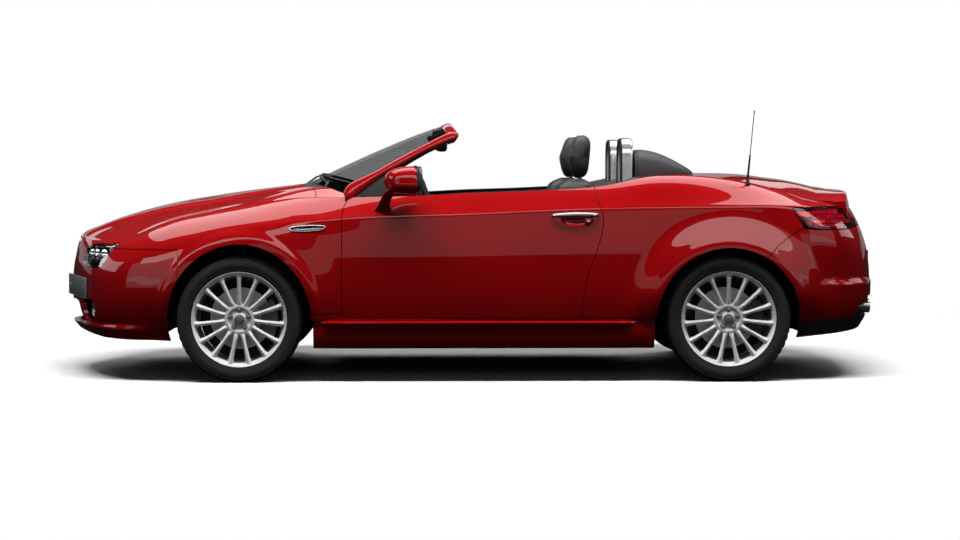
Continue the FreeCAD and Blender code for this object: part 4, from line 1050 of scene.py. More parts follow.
def sills():
    """Sill with its moulding line, right side."""
    prof = [(.700, .177), (.862, .175), (.868, .179), (.884, .221), (.8895, .292), (.893, .300), (.9035, .305), (.9045, .310), (.8985, .3155), (.889, .318), (.889, .332), (.700, .332)]
    xs = np.concatenate([np.linspace(-.806, -.70, 12), np.linspace(-.68, .84, 40), np.linspace(.86, .958, 12)])
    rings = []
    for x in xs:
        k = float(smooth(-.775, -.72, x) * smooth(.865, .80, x))
        f = -.010 * float(smooth(-.62, -.80, x)) - .008 * float(smooth(.80, .955, x))
        ring = []
        for (y, z) in prof:
            yy = y
            if .30 <= z <= .317 and y > .89:
                yy = .889 + (y - .889) * k
            if y > .8:
                yy += f
            ring.append((x, yy, z))
        rings.append(ring)
    ob = loft("sill_right", rings, [PAINT])
    sharp(ob, 28)
    f = skin_piece("filler", [(-.800, .300), (-.6585, .300), (-.6585, .3545), (-.800, .3545)], "y", .80, 1.0, 0.0, .016, [PAINT], (-.84, -.62), (.9, 2.2), 24, 30)
    pads = [rbox("pad", (x, .780, .188), (.090, .074, .026), .004, [RUBBER]) for x in (-.620, .780)]
    return join("sill_right", [ob, f] + pads)


# ------------------------------------------------------------------ bonnet and deck
def bonnet_extra(x, y):
    """Raised middle of the bonnet with soft shoulders that run to the shield."""
    yc = np.interp(x, [-2.15, -2.05, -1.80, -1.40, -1.00, -.75], [.165, .205, .300, .395, .455, .480])
    h = np.interp(x, [-2.15, -2.08, -1.9, -1.4, -.80], [.000, .006, .012, .012, .006])
    a = np.abs(y)
    return h * (smooth(yc + .050, yc - .012, a) - 1.0) + h * .35 * np.exp(-((a - yc + .01) / .05) ** 2)


def deck_z(x, y, line, p=2.2, extra=None):
    ye, ze = top_edge(x)
    zc = curve1(line, x)
    k = np.clip(np.abs(y) / np.maximum(ye, 1e-3), 0, 1)
    pp = p + (3.4 * smooth(-1.40, -.80, np.asarray(x, float)) if extra is not None else 0.0)
    z = ze + (zc - ze) * (1 - k ** pp)
    if extra is not None:
        z = z + .016 * smooth(-1.20, -.76, np.asarray(x, float)) * np.exp(-((np.abs(y) - .665) / .055) ** 2)
    if extra is not None:
        z = z + extra(x, y) * smooth(1.0, .85, k)
    return z


def top_panel(name, x0, x1, line, thick=.016, inset=.002, nx=None, ny=96, extra=None, outline=None, z0=.5, z1=1.3, mats=None, p=2.2, holes=(), smax=1.0):
    nx = nx or max(8, int((x1 - x0) / .012))
    X = np.linspace(x0, x1, nx + 1)
    S = np.linspace(-smax, smax, ny + 1)
    S = np.sign(S) * np.abs(S) ** .92
    XX, SS = np.meshgrid(X, S, indexing="ij")
    ye, _ = top_edge(XX)
    YY = SS * (ye - inset)
    ZZ = deck_z(XX, YY, line, p, extra)
    outer = np.stack([XX, YY, ZZ], -1)
    inner = outer - np.array([0, 0, thick])
    V, F = shell(name, outer, inner)
    ob = recalc(new_obj(name, V, F, mats or [PAINT]))
    if outline is not None:
        boolean(ob, prism("cut", outline, z0, z1, "z"), "INTERSECT")
    for h in holes:
        boolean(ob, prism("cut", h, z0, z1, "z"))
    R = surface_ref(outer)
    if np.sum(R[3][:, 2]) < 0:
        R[3][:] *= -1
    exact_normals(ob, [R])
    return ob, outer


BONNET_REAR = smooth_poly([(-.800, -.760), (-.803, -.700), (-.845, -.560), (-.906, -.390), (-.957, -.200), (-.977, 0), (-.957, .200), (-.906, .390), (-.845, .560), (-.803, .700),
                           (-.800, .760)], 6)


RED_EDGE = np.array([(-.977, 0), (-.957, .200), (-.906, .390), (-.868, .500), (-.800, .600), (-.745, .660), (-.700, .700), (-.655, .735), (-.640, .750)])


def corner_panels():
    """Body-coloured corners between the bonnet's rear edge, the wings and the pillars' feet."""
    obs = []
    X = np.linspace(-.900, -.640, 40)
    S = np.linspace(.55, 1.0, 40)
    XX, SS = np.meshgrid(X, S, indexing="ij")
    ye, _ = top_edge(XX)
    YY = SS * (ye - .002)
    ZZ = deck_z(XX, YY, BONNET_LINE, 2.2, bonnet_extra)
    outer = np.stack([XX, YY, ZZ], -1)
    V, F = shell("cp", outer, outer - np.array([0, 0, .016]))
    ob = recalc(new_obj("cp", V, F, [PAINT]))
    R = RED_EDGE[3:]
    R = smooth_poly(R, 5)
    B = BONNET_REAR[(BONNET_REAR[:, 1] > .49)]
    B = B[np.argsort(B[:, 1])] + np.array([.004, 0])
    outl = np.vstack([B, [(-.80, .80), (-.60, .80)], R[::-1]])
    boolean(ob, prism("cut", outl, .7, 1.3, "z"), "INTERSECT")
    N = surface_ref(outer)
    if np.sum(N[3][:, 2]) < 0:
        N[3][:] *= -1
    exact_normals(ob, [N])
    both(ob, "cowl_corner", "body", "body", "body_paint")


def top_panels():
    # bonnet: front edge follows the nose, with the shield's notch
    nose = smooth_poly([(-1.852, .80), (-1.860, .735), (-1.955, .640), (-2.052, .480), (-2.100, .330), (-2.128, .175), (-2.135, .150), (-2.140, 0), (-2.135, -.150), (-2.128, -.175), (-2.100, -.330),
                        (-2.052, -.480), (-1.955, -.640), (-1.860, -.735), (-1.852, -.80)], 5)
    outl = np.vstack([nose, BONNET_REAR])
    b, bo = top_panel("bonnet_skin", -2.142, -.79, BONNET_LINE, extra=bonnet_extra, outline=outl, nx=120)
    tc, _ = top_panel("cover_skin", .905, 1.333, DECK_LINE, mats=[PAINT], nx=40)
    bl, _ = top_panel("boot_skin", 1.337, 2.042, DECK_LINE, mats=[PAINT], nx=64, outline=[(1.3, -.9), (2.10, -.9), (2.10, .9), (1.3, .9)])
    return b, tc, bl


def boot_back():
    """Rear face of the boot lid with its spoiler lip."""
    T = np.linspace(20.9, 2 * LAST - 20.9, 121)
    Vv = np.linspace(2.55, 4.0, 25)
    TT, VV = np.meshgrid(T, Vv, indexing="ij")
    outer, inner = side(TT, VV), side(TT, VV, .016)
    V, F = shell("bb", outer, inner)
    ob = recalc(new_obj("boot_back", V, F, [PAINT]))
    outl = [(-.518, .7205), (.518, .7205), (.518, .785), (.500, .812), (.500, .897), (.640, .904), (.640, 1.05), (-.640, 1.05), (-.640, .904), (-.500, .897), (-.500, .812), (-.518, .785)]
    boolean(ob, prism("cut", offset_poly(outl, .001), 1.9, 2.4, "x"), "INTERSECT")
    R = surface_ref(outer)
    if np.sum(R[3][:, 0]) < 0:
        R[3][:] *= -1
    exact_normals(ob, [R])
    rings = []
    for u in np.linspace(-1, 1, 49):
        y = .660 * u
        a = abs(u)
        z = .987 - .012 * a ** 2 - .045 * a ** 6
        xr = 2.060 - .072 * a ** 2.6
        xf = xr - .150
        zf = float(deck_z(np.array(xf), np.array(y), DECK_LINE)) + .001
        rings.append([(xf, y, zf - .030), (xf, y, zf), (xf + .05, y, zf + (z - zf) * .40), (xr - .050, y, z - .002), (xr - .020, y, z + .001), (xr - .005, y, z - .002), (xr, y, z - .008),
                      (xr + .004, y, z - .030), (xr + .012, y, z - .058), (xr - .050, y, z - .072)])
    lip = loft("boot_lip", rings, [PAINT])
    sharp(lip, 40)
    return ob, lip

# ------------------------------------------------------------------ looking up the finished skin
def _grid_bvh():
    T = np.linspace(0, LAST, 560)
    Vv = np.linspace(0, 4.0, 120)
    TT, VV = np.meshgrid(T, Vv, indexing="ij")
    A = side(TT, VV)
    P = [tuple(p) for p in A.reshape(-1, 3)]
    F = grid_faces(560, 120)
    for x0, x1, line, ex in ((-2.142, -.79, BONNET_LINE, bonnet_extra), (.90, 2.06, DECK_LINE, None)):
        X = np.linspace(x0, x1, 110)
        S = np.linspace(0, 1, 60)
        XX, SS = np.meshgrid(X, S, indexing="ij")
        ye, _ = top_edge(XX)
        YY = SS * ye
        B = np.stack([XX, YY, deck_z(XX, YY, line, 2.2, ex)], -1)
        F += grid_faces(110, 60, len(P))
        P += [tuple(p) for p in B.reshape(-1, 3)]
    return BVHTree.FromPolygons(P, F)


SKIN = None


def hit(axis, a, b, fallback=None):
    """Skin point and outward normal seen along an axis: y takes (x, z), front and rear take (y, z), z takes (x, y)."""
    global SKIN
    if SKIN is None:
        SKIN = _grid_bvh()
    s = 1.0
    if axis == "y":
        o, d = (a, 3, b), (0, -1, 0)
    elif axis == "front":
        s = -1.0 if a < 0 else 1.0
        o, d = (-4, abs(a), b), (1, 0, 0)
    elif axis == "rear":
        s = -1.0 if a < 0 else 1.0
        o, d = (4, abs(a), b), (-1, 0, 0)
    else:
        s = -1.0 if b < 0 else 1.0
        o, d = (a, abs(b), 3), (0, 0, -1)
    loc, n, _, _ = SKIN.ray_cast(Vector(o), Vector(d))
    if loc is None:
        return (None, None) if fallback is None else (np.array(fallback, float), -np.array(d, float))
    n = np.array(n)
    if np.dot(n, d) > 0:
        n = -n
    p = np.array(loc)
    p[1] *= s
    n[1] *= s
    return p, n


def skin_piece(name, outline, axis, lo, hi, d_out, d_in, mats, tx=None, v=(0.0, 4.0), nt=70, nv=60, wrap=None, normals=True):
    """A layer of the right side's skin between two depths, inside an outline seen along an axis."""
    t0, t1 = (t_at(tx[0]), t_at(tx[1])) if wrap is None else wrap
    T = np.linspace(t0, t1, nt)
    Vv = np.linspace(v[0], v[1], nv)
    TT, VV = np.meshgrid(T, Vv, indexing="ij")
    outer = side(TT, VV, d_out) if d_out else side(TT, VV)
    inner = side(TT, VV, d_in)
    V, F = shell(name, outer, inner)
    ob = recalc(new_obj(name, V, F, mats))
    boolean(ob, prism("cut", outline, lo, hi, axis), "INTERSECT")
    if normals:
        R = surface_ref(outer)
        mid = outer.reshape(-1, 3).mean(0)
        c = outer.reshape(-1, 3) - np.array([mid[0] * .8, 0, .5])
        if np.sum(R[3] * c) < 0:
            R[3][:] *= -1
        exact_normals(ob, [R])
    return ob


def rim_wall(name, outline, axis, depth0, depth1, mats, thick=.0015, s=1):
    """Wall that follows an outline from the skin inwards. Outline in (y, z) for front and rear, (x, z) for y."""
    P = dedupe(outline)
    rings = []
    n = len(P)
    c = P.mean(0)
    prev = None
    for a, b in P:
        p, _ = hit(axis, a, b)
        if p is None:
            p = prev
        prev = p
        if p is None:
            continue
        sg = {"front": np.array([1, 0, 0]), "rear": np.array([-1, 0, 0]), "y": np.array([0, -1, 0])}[axis]
        q = np.array([0, a, b]) if axis != "y" else np.array([a, 0, b])
        cc = np.array([0, c[0], c[1]]) if axis != "y" else np.array([c[0], 0, c[1]])
        out = q - cc
        out /= max(np.linalg.norm(out), 1e-6)
        rings.append([p + sg * depth0, p + sg * depth1, p + sg * depth1 + out * thick, p + sg * depth0 + out * thick])
    rings.append(rings[0])
    R = np.array(rings)
    ob = loft(name, R, mats, caps=False)
    bm = bmesh.new(); bm.from_mesh(ob.data)
    bmesh.ops.remove_doubles(bm, verts=bm.verts, dist=1e-6)
    bmesh.ops.recalc_face_normals(bm, faces=bm.faces)
    bm.to_mesh(ob.data); bm.free()
    sharp(ob, 40)
    return ob


def sweep(name, path, section_pts, mats, closed=False, up=(0, 0, 1), scale=None, caps=True):
    """Section (a, b) carried along a path, a across (path x up) and b along up."""
    P = np.array(path, float)
    if closed:
        T = np.roll(P, -1, 0) - np.roll(P, 1, 0)
    else:
        T = np.gradient(P, axis=0)
    T /= np.maximum(np.linalg.norm(T, axis=1, keepdims=True), 1e-9)
    U = np.array(up, float)
    rings = []
    for i in range(len(P)):
        u = U[i] if U.ndim == 2 else U
        A = np.cross(T[i], u)
        A /= max(np.linalg.norm(A), 1e-9)
        B = np.cross(A, T[i])
        k = 1.0 if scale is None else scale(i / (len(P) - 1))
        rings.append([P[i] + k * (A * a + B * b) for a, b in section_pts])
    if closed:
        V = np.array(rings)
        nu, nv = V.shape[:2]
        F = grid_faces(nu, nv, 0, False, wrap_u=True, wrap_v=True)
        return recalc(new_obj(name, V.reshape(-1, 3), F, mats))
    return loft(name, rings, mats, caps=caps)


def ellipse_sec(a, b, n=12):
    return [(a * math.cos(2 * math.pi * k / n), b * math.sin(2 * math.pi * k / n)) for k in range(n)]


def superellipse(a, b, p=3.0, n=32):
    out = []
    for k in range(n):
        t = 2 * math.pi * k / n
        c, s = math.cos(t), math.sin(t)
        out.append((a * math.copysign(abs(c) ** (2 / p), c), b * math.copysign(abs(s) ** (2 / p), s)))
    return out


def copy_obj(ob, name):
    o = bpy.data.objects.new(name, ob.data.copy())
    SCENE.collection.objects.link(o)
    return o


def both(ob, name, body_r, body_l, slot, nodes=()):
    """Keeps a right-hand piece and adds its left-hand one."""
    ob.name = name + "_right"
    l = mirrored(ob, name + "_left")
    place(ob, body_r, slot, *nodes)
    place(l, body_l, slot)
    return ob, l

# ------------------------------------------------------------------ wheels (made once, centred, outboard +Y)
def make_rim():
    obs = []
    R = .246
    prof = [(.2445, .1060), (R, .1050), (R + .0006, .1015), (R, .0985), (.2405, .0965), (.2335, .0930), (.2290, .0860), (.2270, .0700), (.2262, .0300), (.2205, -.0300), (.2262, -.0780), (.2335, -.0930),
            (.2405, -.0965), (R, -.1010), (R, -.1050), (.2440, -.1060), (.2390, -.1040), (.2330, -.0980), (.2240, -.0880), (.2190, -.0700), (.2130, -.0250), (.2100, .0300), (.2180, .0600),
            (.2235, .0800), (.2290, .0925), (.2345, .0990), (.2400, .1035)]
    rim = lathe("rim_barrel", prof, 144, mats=[RIM_MAT, RIM_PAINTED_SHADE])
    # faces inside the barrel, behind the spokes, take the dark finish: painted shade
    for p in rim.data.polygons:
        c = p.center
        r = math.hypot(c[0], c[2])
        if r < .2275 and c[1] < .078:
            p.material_index = 1
    sharp(rim, 35)
    obs.append(rim)
    # hub centre
    hp = [(0, .0600), (.050, .0600), (.060, .0640), (.0720, .0700), (.0790, .0765), (.0800, .0815), (.0770, .0850), (.0700, .0865), (.0630, .0862), (.0600, .0830), (.0560, .0805), (.0360, .0800),
          (.0325, .0820), (.0310, .0850), (.0290, .0860), (0, .0862)]
    hub = lathe("hub", hp, 96, mats=[RIM_MAT], closed=False)
    sharp(hub, 35)
    obs.append(hub)
    cap = lathe("cap", [(0, .0840), (.0265, .0840), (.0270, .0880), (.0255, .0900), (.018, .0910), (0, .0914)], 64, mats=[SATIN], closed=False)
    sharp(cap, 40)
    obs.append(cap)
    for i in range(5):
        a = math.radians(90 + 72 * i)
        c = (0.0490 * math.cos(a), 0, 0.0490 * math.sin(a))
        # the bolt wells take the dark finish: painted shade in the recesses
        well = lathe("well", [(.0135, .0835), (.0125, .0850), (.0108, .0838), (.0100, .0800), (.0100, .0790)], 24, center=c, mats=[RIM_PAINTED_SHADE], closed=False)
        bolt = lathe("bolt", [(.0, .0888), (.0055, .0888), (.0080, .0876), (.0088, .0860), (.0088, .0790)], 6, center=c, mats=[SATIN], closed=False)
        obs += [well, bolt]
    # fifteen spokes: ridge section, flaring into the hub and stepping out at the rim
    #       r      half w  top y  ridge  bottom y
    rows_ = [(.0700, .0165, .0840, .0010, .0600), (.0800, .0140, .0855, .0016, .0600), (.0950, .0112, .0875, .0024, .0620), (.1200, .0096, .0900, .0030, .0650), (.1500, .0100, .0925, .0032, .0680),
             (.1800, .0110, .0945, .0032, .0710), (.2030, .0120, .0962, .0032, .0740), (.2100, .0126, .0968, .0032, .0750), (.2125, .0150, .0962, .0026, .0755), (.2240, .0154, .0972, .0024, .0790),
             (.2310, .0148, .0985, .0016, .0850)]
    base = []
    for r, w, y, k, yb in rows_:
        base.append([(r, yb, -w * .80), (r, y - .0095, -w * 1.0), (r, y - .0040, -w * .97), (r, y - .0012, -w * .78), (r, y + k * .55, -w * .28), (r, y + k, 0), (r, y + k * .55, w * .28), (r, y - .0012, w * .78),
                     (r, y - .0040, w * .97), (r, y - .0095, w * 1.0), (r, yb, w * .80)])
    base = np.array(base)
    # finer along the length
    fine = np.stack([smooth_poly(base[:, j], 3) for j in range(base.shape[1])], 1)
    sp0 = loft("spoke", fine, [RIM_MAT])
    sharp(sp0, 28)
    for i in range(15):
        o = sp0 if i == 0 else None
        if i:
            o = bpy.data.objects.new("spoke", sp0.data.copy())
            SCENE.collection.objects.link(o)
        obs.append(o)
    for i, o in enumerate(obs[-15:]):
        o.data.transform(Matrix.Rotation(-math.radians(90 + 24 * i), 4, "Y"))
    # tyre valve
    v = tube("valve", [(.216 * math.cos(math.radians(78)), .086, .216 * math.sin(math.radians(78))), (.200 * math.cos(math.radians(78)), .096, .200 * math.sin(math.radians(78)))], .0038, 10, [SEAL])
    obs.append(v)
    rimo = join("rim_proto", obs)
    return rimo


def make_disc():
    prof = [(.070, -.006), (.160, -.006), (.160, -.014), (.156, -.0145), (.156, -.0225), (.160, -.023), (.160, -.031), (.070, -.031)]
    # the disc's pale finish is partly painted light, standing in for light that the shade inside the wheel keeps off it
    d = lathe("disc", prof, 120, mats=[DISC_STEEL_PAINTED_LIGHT])
    bell = lathe("bell", [(0, .052), (.066, .052), (.074, .048), (.077, .040), (.077, -.012), (.0, -.012)], 64, mats=[IRON], closed=False)
    vanes = []
    n = 36
    V, F = [], []
    for i in range(n):
        a = 2 * math.pi * i / n
        for r in (.110, .157):
            for y in (-.0150, -.0220):
                for da in (-.012, .012):
                    V.append((r * math.cos(a + da), y, r * math.sin(a + da)))
        k = 8 * i
        F += [(k, k + 1, k + 5, k + 4), (k + 2, k + 6, k + 7, k + 3), (k, k + 4, k + 6, k + 2), (k + 1, k + 3, k + 7, k + 5), (k + 4, k + 5, k + 7, k + 6), (k, k + 2, k + 3, k + 1)]
    vn = recalc(new_obj("vanes", V, F, [IRON], False))
    o = join("disc_proto", [d, bell, vn])
    sharp(o, 35)
    return o


def make_tyre():
    hw = .1125
    R = TYRE_R
    half = [(.2475, .1010), (.2540, .1052), (.2600, .1088), (.2625, .1082), (.2660, .1096), (.2760, .1120), (.2800, .1124), (.2810, .1117), (.2830, .1117), (.2840, .1124), (.2930, .1123), (.3020, .1105), (.3065, .1088),
            (.3080, .1100), (.3105, .1098), (.3120, .1070), (.3165, .1030), (.3200, .0975), (.3228, .0900), (.3242, .0820), (R - .0008, .0740)]
    inner = [(R, .0600), (R, .0500), (R - .0075, .0492), (R - .0075, .0408), (R, .0400), (R, .0200), (R - .0075, .0192), (R - .0075, .0108), (R, .0100)]
    up = half + inner
    prof = up + [(r, -y) for r, y in reversed(up)] + [(.2400, -.0985), (.2330, -.0900), (.2330, .0900), (.2400, .0985)]
    n = 200
    V = []
    npf = len(prof)
    for i in range(n):
        a = 2 * math.pi * i / n
        c, s = math.cos(a), math.sin(a)
        cut = (i % 4) in (0,)
        for r, h in prof:
            rr = r
            if cut and r > .3190 and abs(h) > .056:
                rr = r - .0045
            V.append((rr * c, h, rr * s))
    F = grid_faces(n, npf, 0, False, wrap_u=True, wrap_v=True)
    ob = recalc(new_obj("tyre_proto", V, F, [RUBBER]))
    sharp(ob, 32)
    return ob


def make_wheels():
    rim, disc, tyre = make_rim(), make_disc(), make_tyre()
    for name, x, s in (("front_left", FRONT_X, -1), ("front_right", FRONT_X, 1), ("rear_left", REAR_X, -1), ("rear_right", REAR_X, 1)):
        for proto, kind, slot in ((rim, "rim", "rim"), (disc, "disc", "rim"), (tyre, "tyre", "tyre")):
            if s > 0:
                o = bpy.data.objects.new("v_%s_%s" % (kind, name), proto.data.copy())
                SCENE.collection.objects.link(o)
            else:
                o = mirrored(proto, "v_%s_%s" % (kind, name))
            o.data.transform(Matrix.Translation((x, s * WHEEL_Y, AXLE_Z)))
            if kind == "rim":
                place(o, "wheel_" + name, slot, "rim_" + name)
            elif kind == "tyre":
                place(o, "wheel_" + name, slot, "tyre_" + name)
            else:
                place(o, "wheel_" + name, slot)
    for o in (rim, disc, tyre):
        bpy.data.objects.remove(o)
    # splash shields behind the discs, on the uprights
    sh = lathe("splash", [(.052, -.050), (.120, -.050), (.150, -.046), (.208, -.046), (.2125, -.0455), (.2149, -.0470), (.2149, -.0490), (.211, -.0505), (.150, -.050), (.120, -.054), (.052, -.054)], 72, mats=[LINER])
    for z in (-.112, .122):
        boolean(sh, rbox("cut", (0, -.050, z), (.130, .040, .062), .004, [LINER]), "DIFFERENCE")
    for name, x, s, body in (("front_left", FRONT_X, -1, "knuckle_left"), ("front_right", FRONT_X, 1, "knuckle_right"), ("rear_left", REAR_X, -1, "body"), ("rear_right", REAR_X, 1, "body")):
        o = bpy.data.objects.new("splash_" + name, sh.data.copy()) if s > 0 else mirrored(sh, "splash_" + name)
        if s > 0:
            SCENE.collection.objects.link(o)
        o.data.transform(Matrix.Translation((x, s * WHEEL_Y, AXLE_Z)))
        place(o, body, "dark_trim")
    bpy.data.objects.remove(sh)
# ------------------------------------------------------------------ wheel-arch liners
def liners():
    obs = []
    for X0, y_in, hole in ((FRONT_X, .500, .245), (REAR_X, .612, .245)):
        n = 72
        A = np.radians(np.linspace(-11, 191, n))
        prof = []
        rings = []
        lift = lambda s: ARCH_UP * max(0.0, s) ** 1.5 if X0 < 0 else 0.0
        for k, a in enumerate(A):
            c, s = math.cos(a), math.sin(a)
            x, z = X0 + .392 * c, AXLE_Z + .392 * s + lift(s)
            q, _ = hit("y", x, z)
            yo = min(float(q[1]) - .011, .892) if q is not None else .80
            rib = .0022 * (1 if (k // 3) % 2 else 0)
            row = []
            for t in (0, .02, .35, .37, .70, .72, .985, 1.0):
                y = y_in + (yo - y_in) * t
                r = .3855 + (rib if .02 <= t <= .985 else 0) + (.002 if .36 < t < .71 else 0)
                row.append((X0 + r * c, y, AXLE_Z + r * s + lift(s)))
            rings.append(row)
        G = np.array(rings)
        G2 = G.copy()
        G2[:, :, 0] = X0 + (G[:, :, 0] - X0) * 1.0105
        G2[:, :, 2] = AXLE_Z + (G[:, :, 2] - AXLE_Z) * 1.0105
        V, F = shell("ln", G, G2)
        o = recalc(new_obj("liner", V, F, [LINER], False))
        obs.append(o)
        # inner wall with an opening for the hub and links
        W = np.array([[(X0 + r * math.cos(a), y_in + dy, AXLE_Z + r * math.sin(a) + lift(math.sin(a)) * (r > .35)) for r, dy in ((.390, 0), (.360, -.004), (.330, -.004), (.300, 0), (hole + .012, 0), (hole, -.012))] for a in A])
        V, F = shell("lw", W, W - np.array([0, .003, 0]))
        obs.append(recalc(new_obj("liner_wall", V, F, [LINER], False)))
        # push-in fasteners
        for a in np.radians([15, 60, 105, 150, 178]):
            r = .3845
            for y in (y_in + .06, y_in + .20):
                c = np.array([X0 + r * math.cos(a), y, AXLE_Z + r * math.sin(a) + lift(math.sin(a))])
                b = lathe("cl", [(0, .0), (.006, .0005), (.008, .002), (.0085, .004), (0, .004)], 14, "z", (0, 0, 0), [SEAL], closed=False)
                b.data.transform(Matrix.Translation(Vector(c)) @ Matrix.Rotation(math.pi / 2 - a, 4, "Y"))
                obs.append(b)
    o = join("wheel_liners", obs)
    left = mirrored(o, "wheel_liners_left")
    place(o, "body", "dark_trim", "wheel_housings")
    place(left, "body", "dark_trim")

# ------------------------------------------------------------------ lamps, grilles, plates
def headlamps():
    out = []
    tx = (-2.150, -1.780)
    # clear cover, flush with the skin
    lens_ = skin_piece("lamp_cover", offset_poly(LAMP_F, .002), "x", -2.3, -1.7, .0006, .0040, [LENS_CLEAR], tx, (2.4, 4.0), 70, 60)
    # dark bowl
    bowl = skin_piece("lamp_bowl", offset_poly(LAMP_F, .001), "x", -2.3, -1.7, .070, .073, [TRIM_GLOSS], tx, (2.3, 4.0), 50, 40, normals=False)
    wall = rim_wall("lamp_wall", offset_poly(LAMP_F, .0022), "front", .004, .080, [TRIM_GLOSS])
    # hood inside, along the top, and a thin bright blade across
    parts = [bowl, wall]
    for (y, r, z) in ((.500, .0270, .645), (.574, .0300, .645), (.650, .0300, .645)):
        p, n = hit("front", y, z)
        c = p + np.array([.030, 0, 0])
        ring = lathe("lr", [(r, -.012), (r + .003, -.014), (r + .006, -.012), (r + .007, .004), (r + .002, .030), (r - .002, .030), (r - .001, -.004)], 48, "x", tuple(c), [CHROME])
        refl = lathe("refl", [(.012, .045), (.020, .038), (r * .80, .018), (r, -.002), (r + .001, .000), (r * .82, .022), (.020, .042), (.012, .048)], 48, "x", tuple(c), [CHROME])
        ball = lathe("ball", [(0, .004), (.007, .005), (.014, .009), (.0195, .016), (.0200, .030), (0, .030)], 32, "x", tuple(c), [MIRROR], closed=False)
        parts += [ring, refl, ball]
    # bright blade in front of the lamps
    pts = []
    for y in np.linspace(.465, .700, 24):
        z = .6235 + .006 * (y - .47) / .28
        p, n = hit("front", y, z)
        pts.append(p + np.array([.018, 0, 0]))
    blade = sweep("blade", pts, [(-.010, -.0015), (.010, -.0015), (.010, .0015), (-.010, .0015)], [SATIN])
    pts = []
    for y in np.linspace(.540, .690, 24):
        z = .692 + .030 * (y - .56)
        p, n = hit("front", y, z)
        pts.append(p + np.array([.014, 0, 0]))
    blade2 = sweep("blade2", pts, [(-.012, -.004), (.012, -.004), (.010, .004), (-.008, .004)], [CHROME])
    # vertical fin and side marker
    p, _ = hit("front", .690, .665)
    fin = rbox("fin", tuple(p + np.array([.035, -.004, 0])), (.040, .006, .060), .002, [SATIN])
    mk, _ = hit("front", .697, .615)
    mk = rbox("mk", tuple(mk + np.array([.022, -.006, 0])), (.018, .018, .030), .004, [LAMP_AMBER])
    inner = join("headlamp_inner", parts + [blade, blade2, fin, mk])
    lens_.name = "headlamp_cover_right"
    l2 = mirrored(lens_, "headlamp_cover_left")
    i2 = mirrored(inner, "headlamp_inner_left")
    inner.name = "headlamp_inner_right"
    place(lens_, "body", "headlamp", "headlamps")
    place(l2, "body", "headlamp")
    place(inner, "body", "headlamp")
    place(i2, "body", "headlamp")


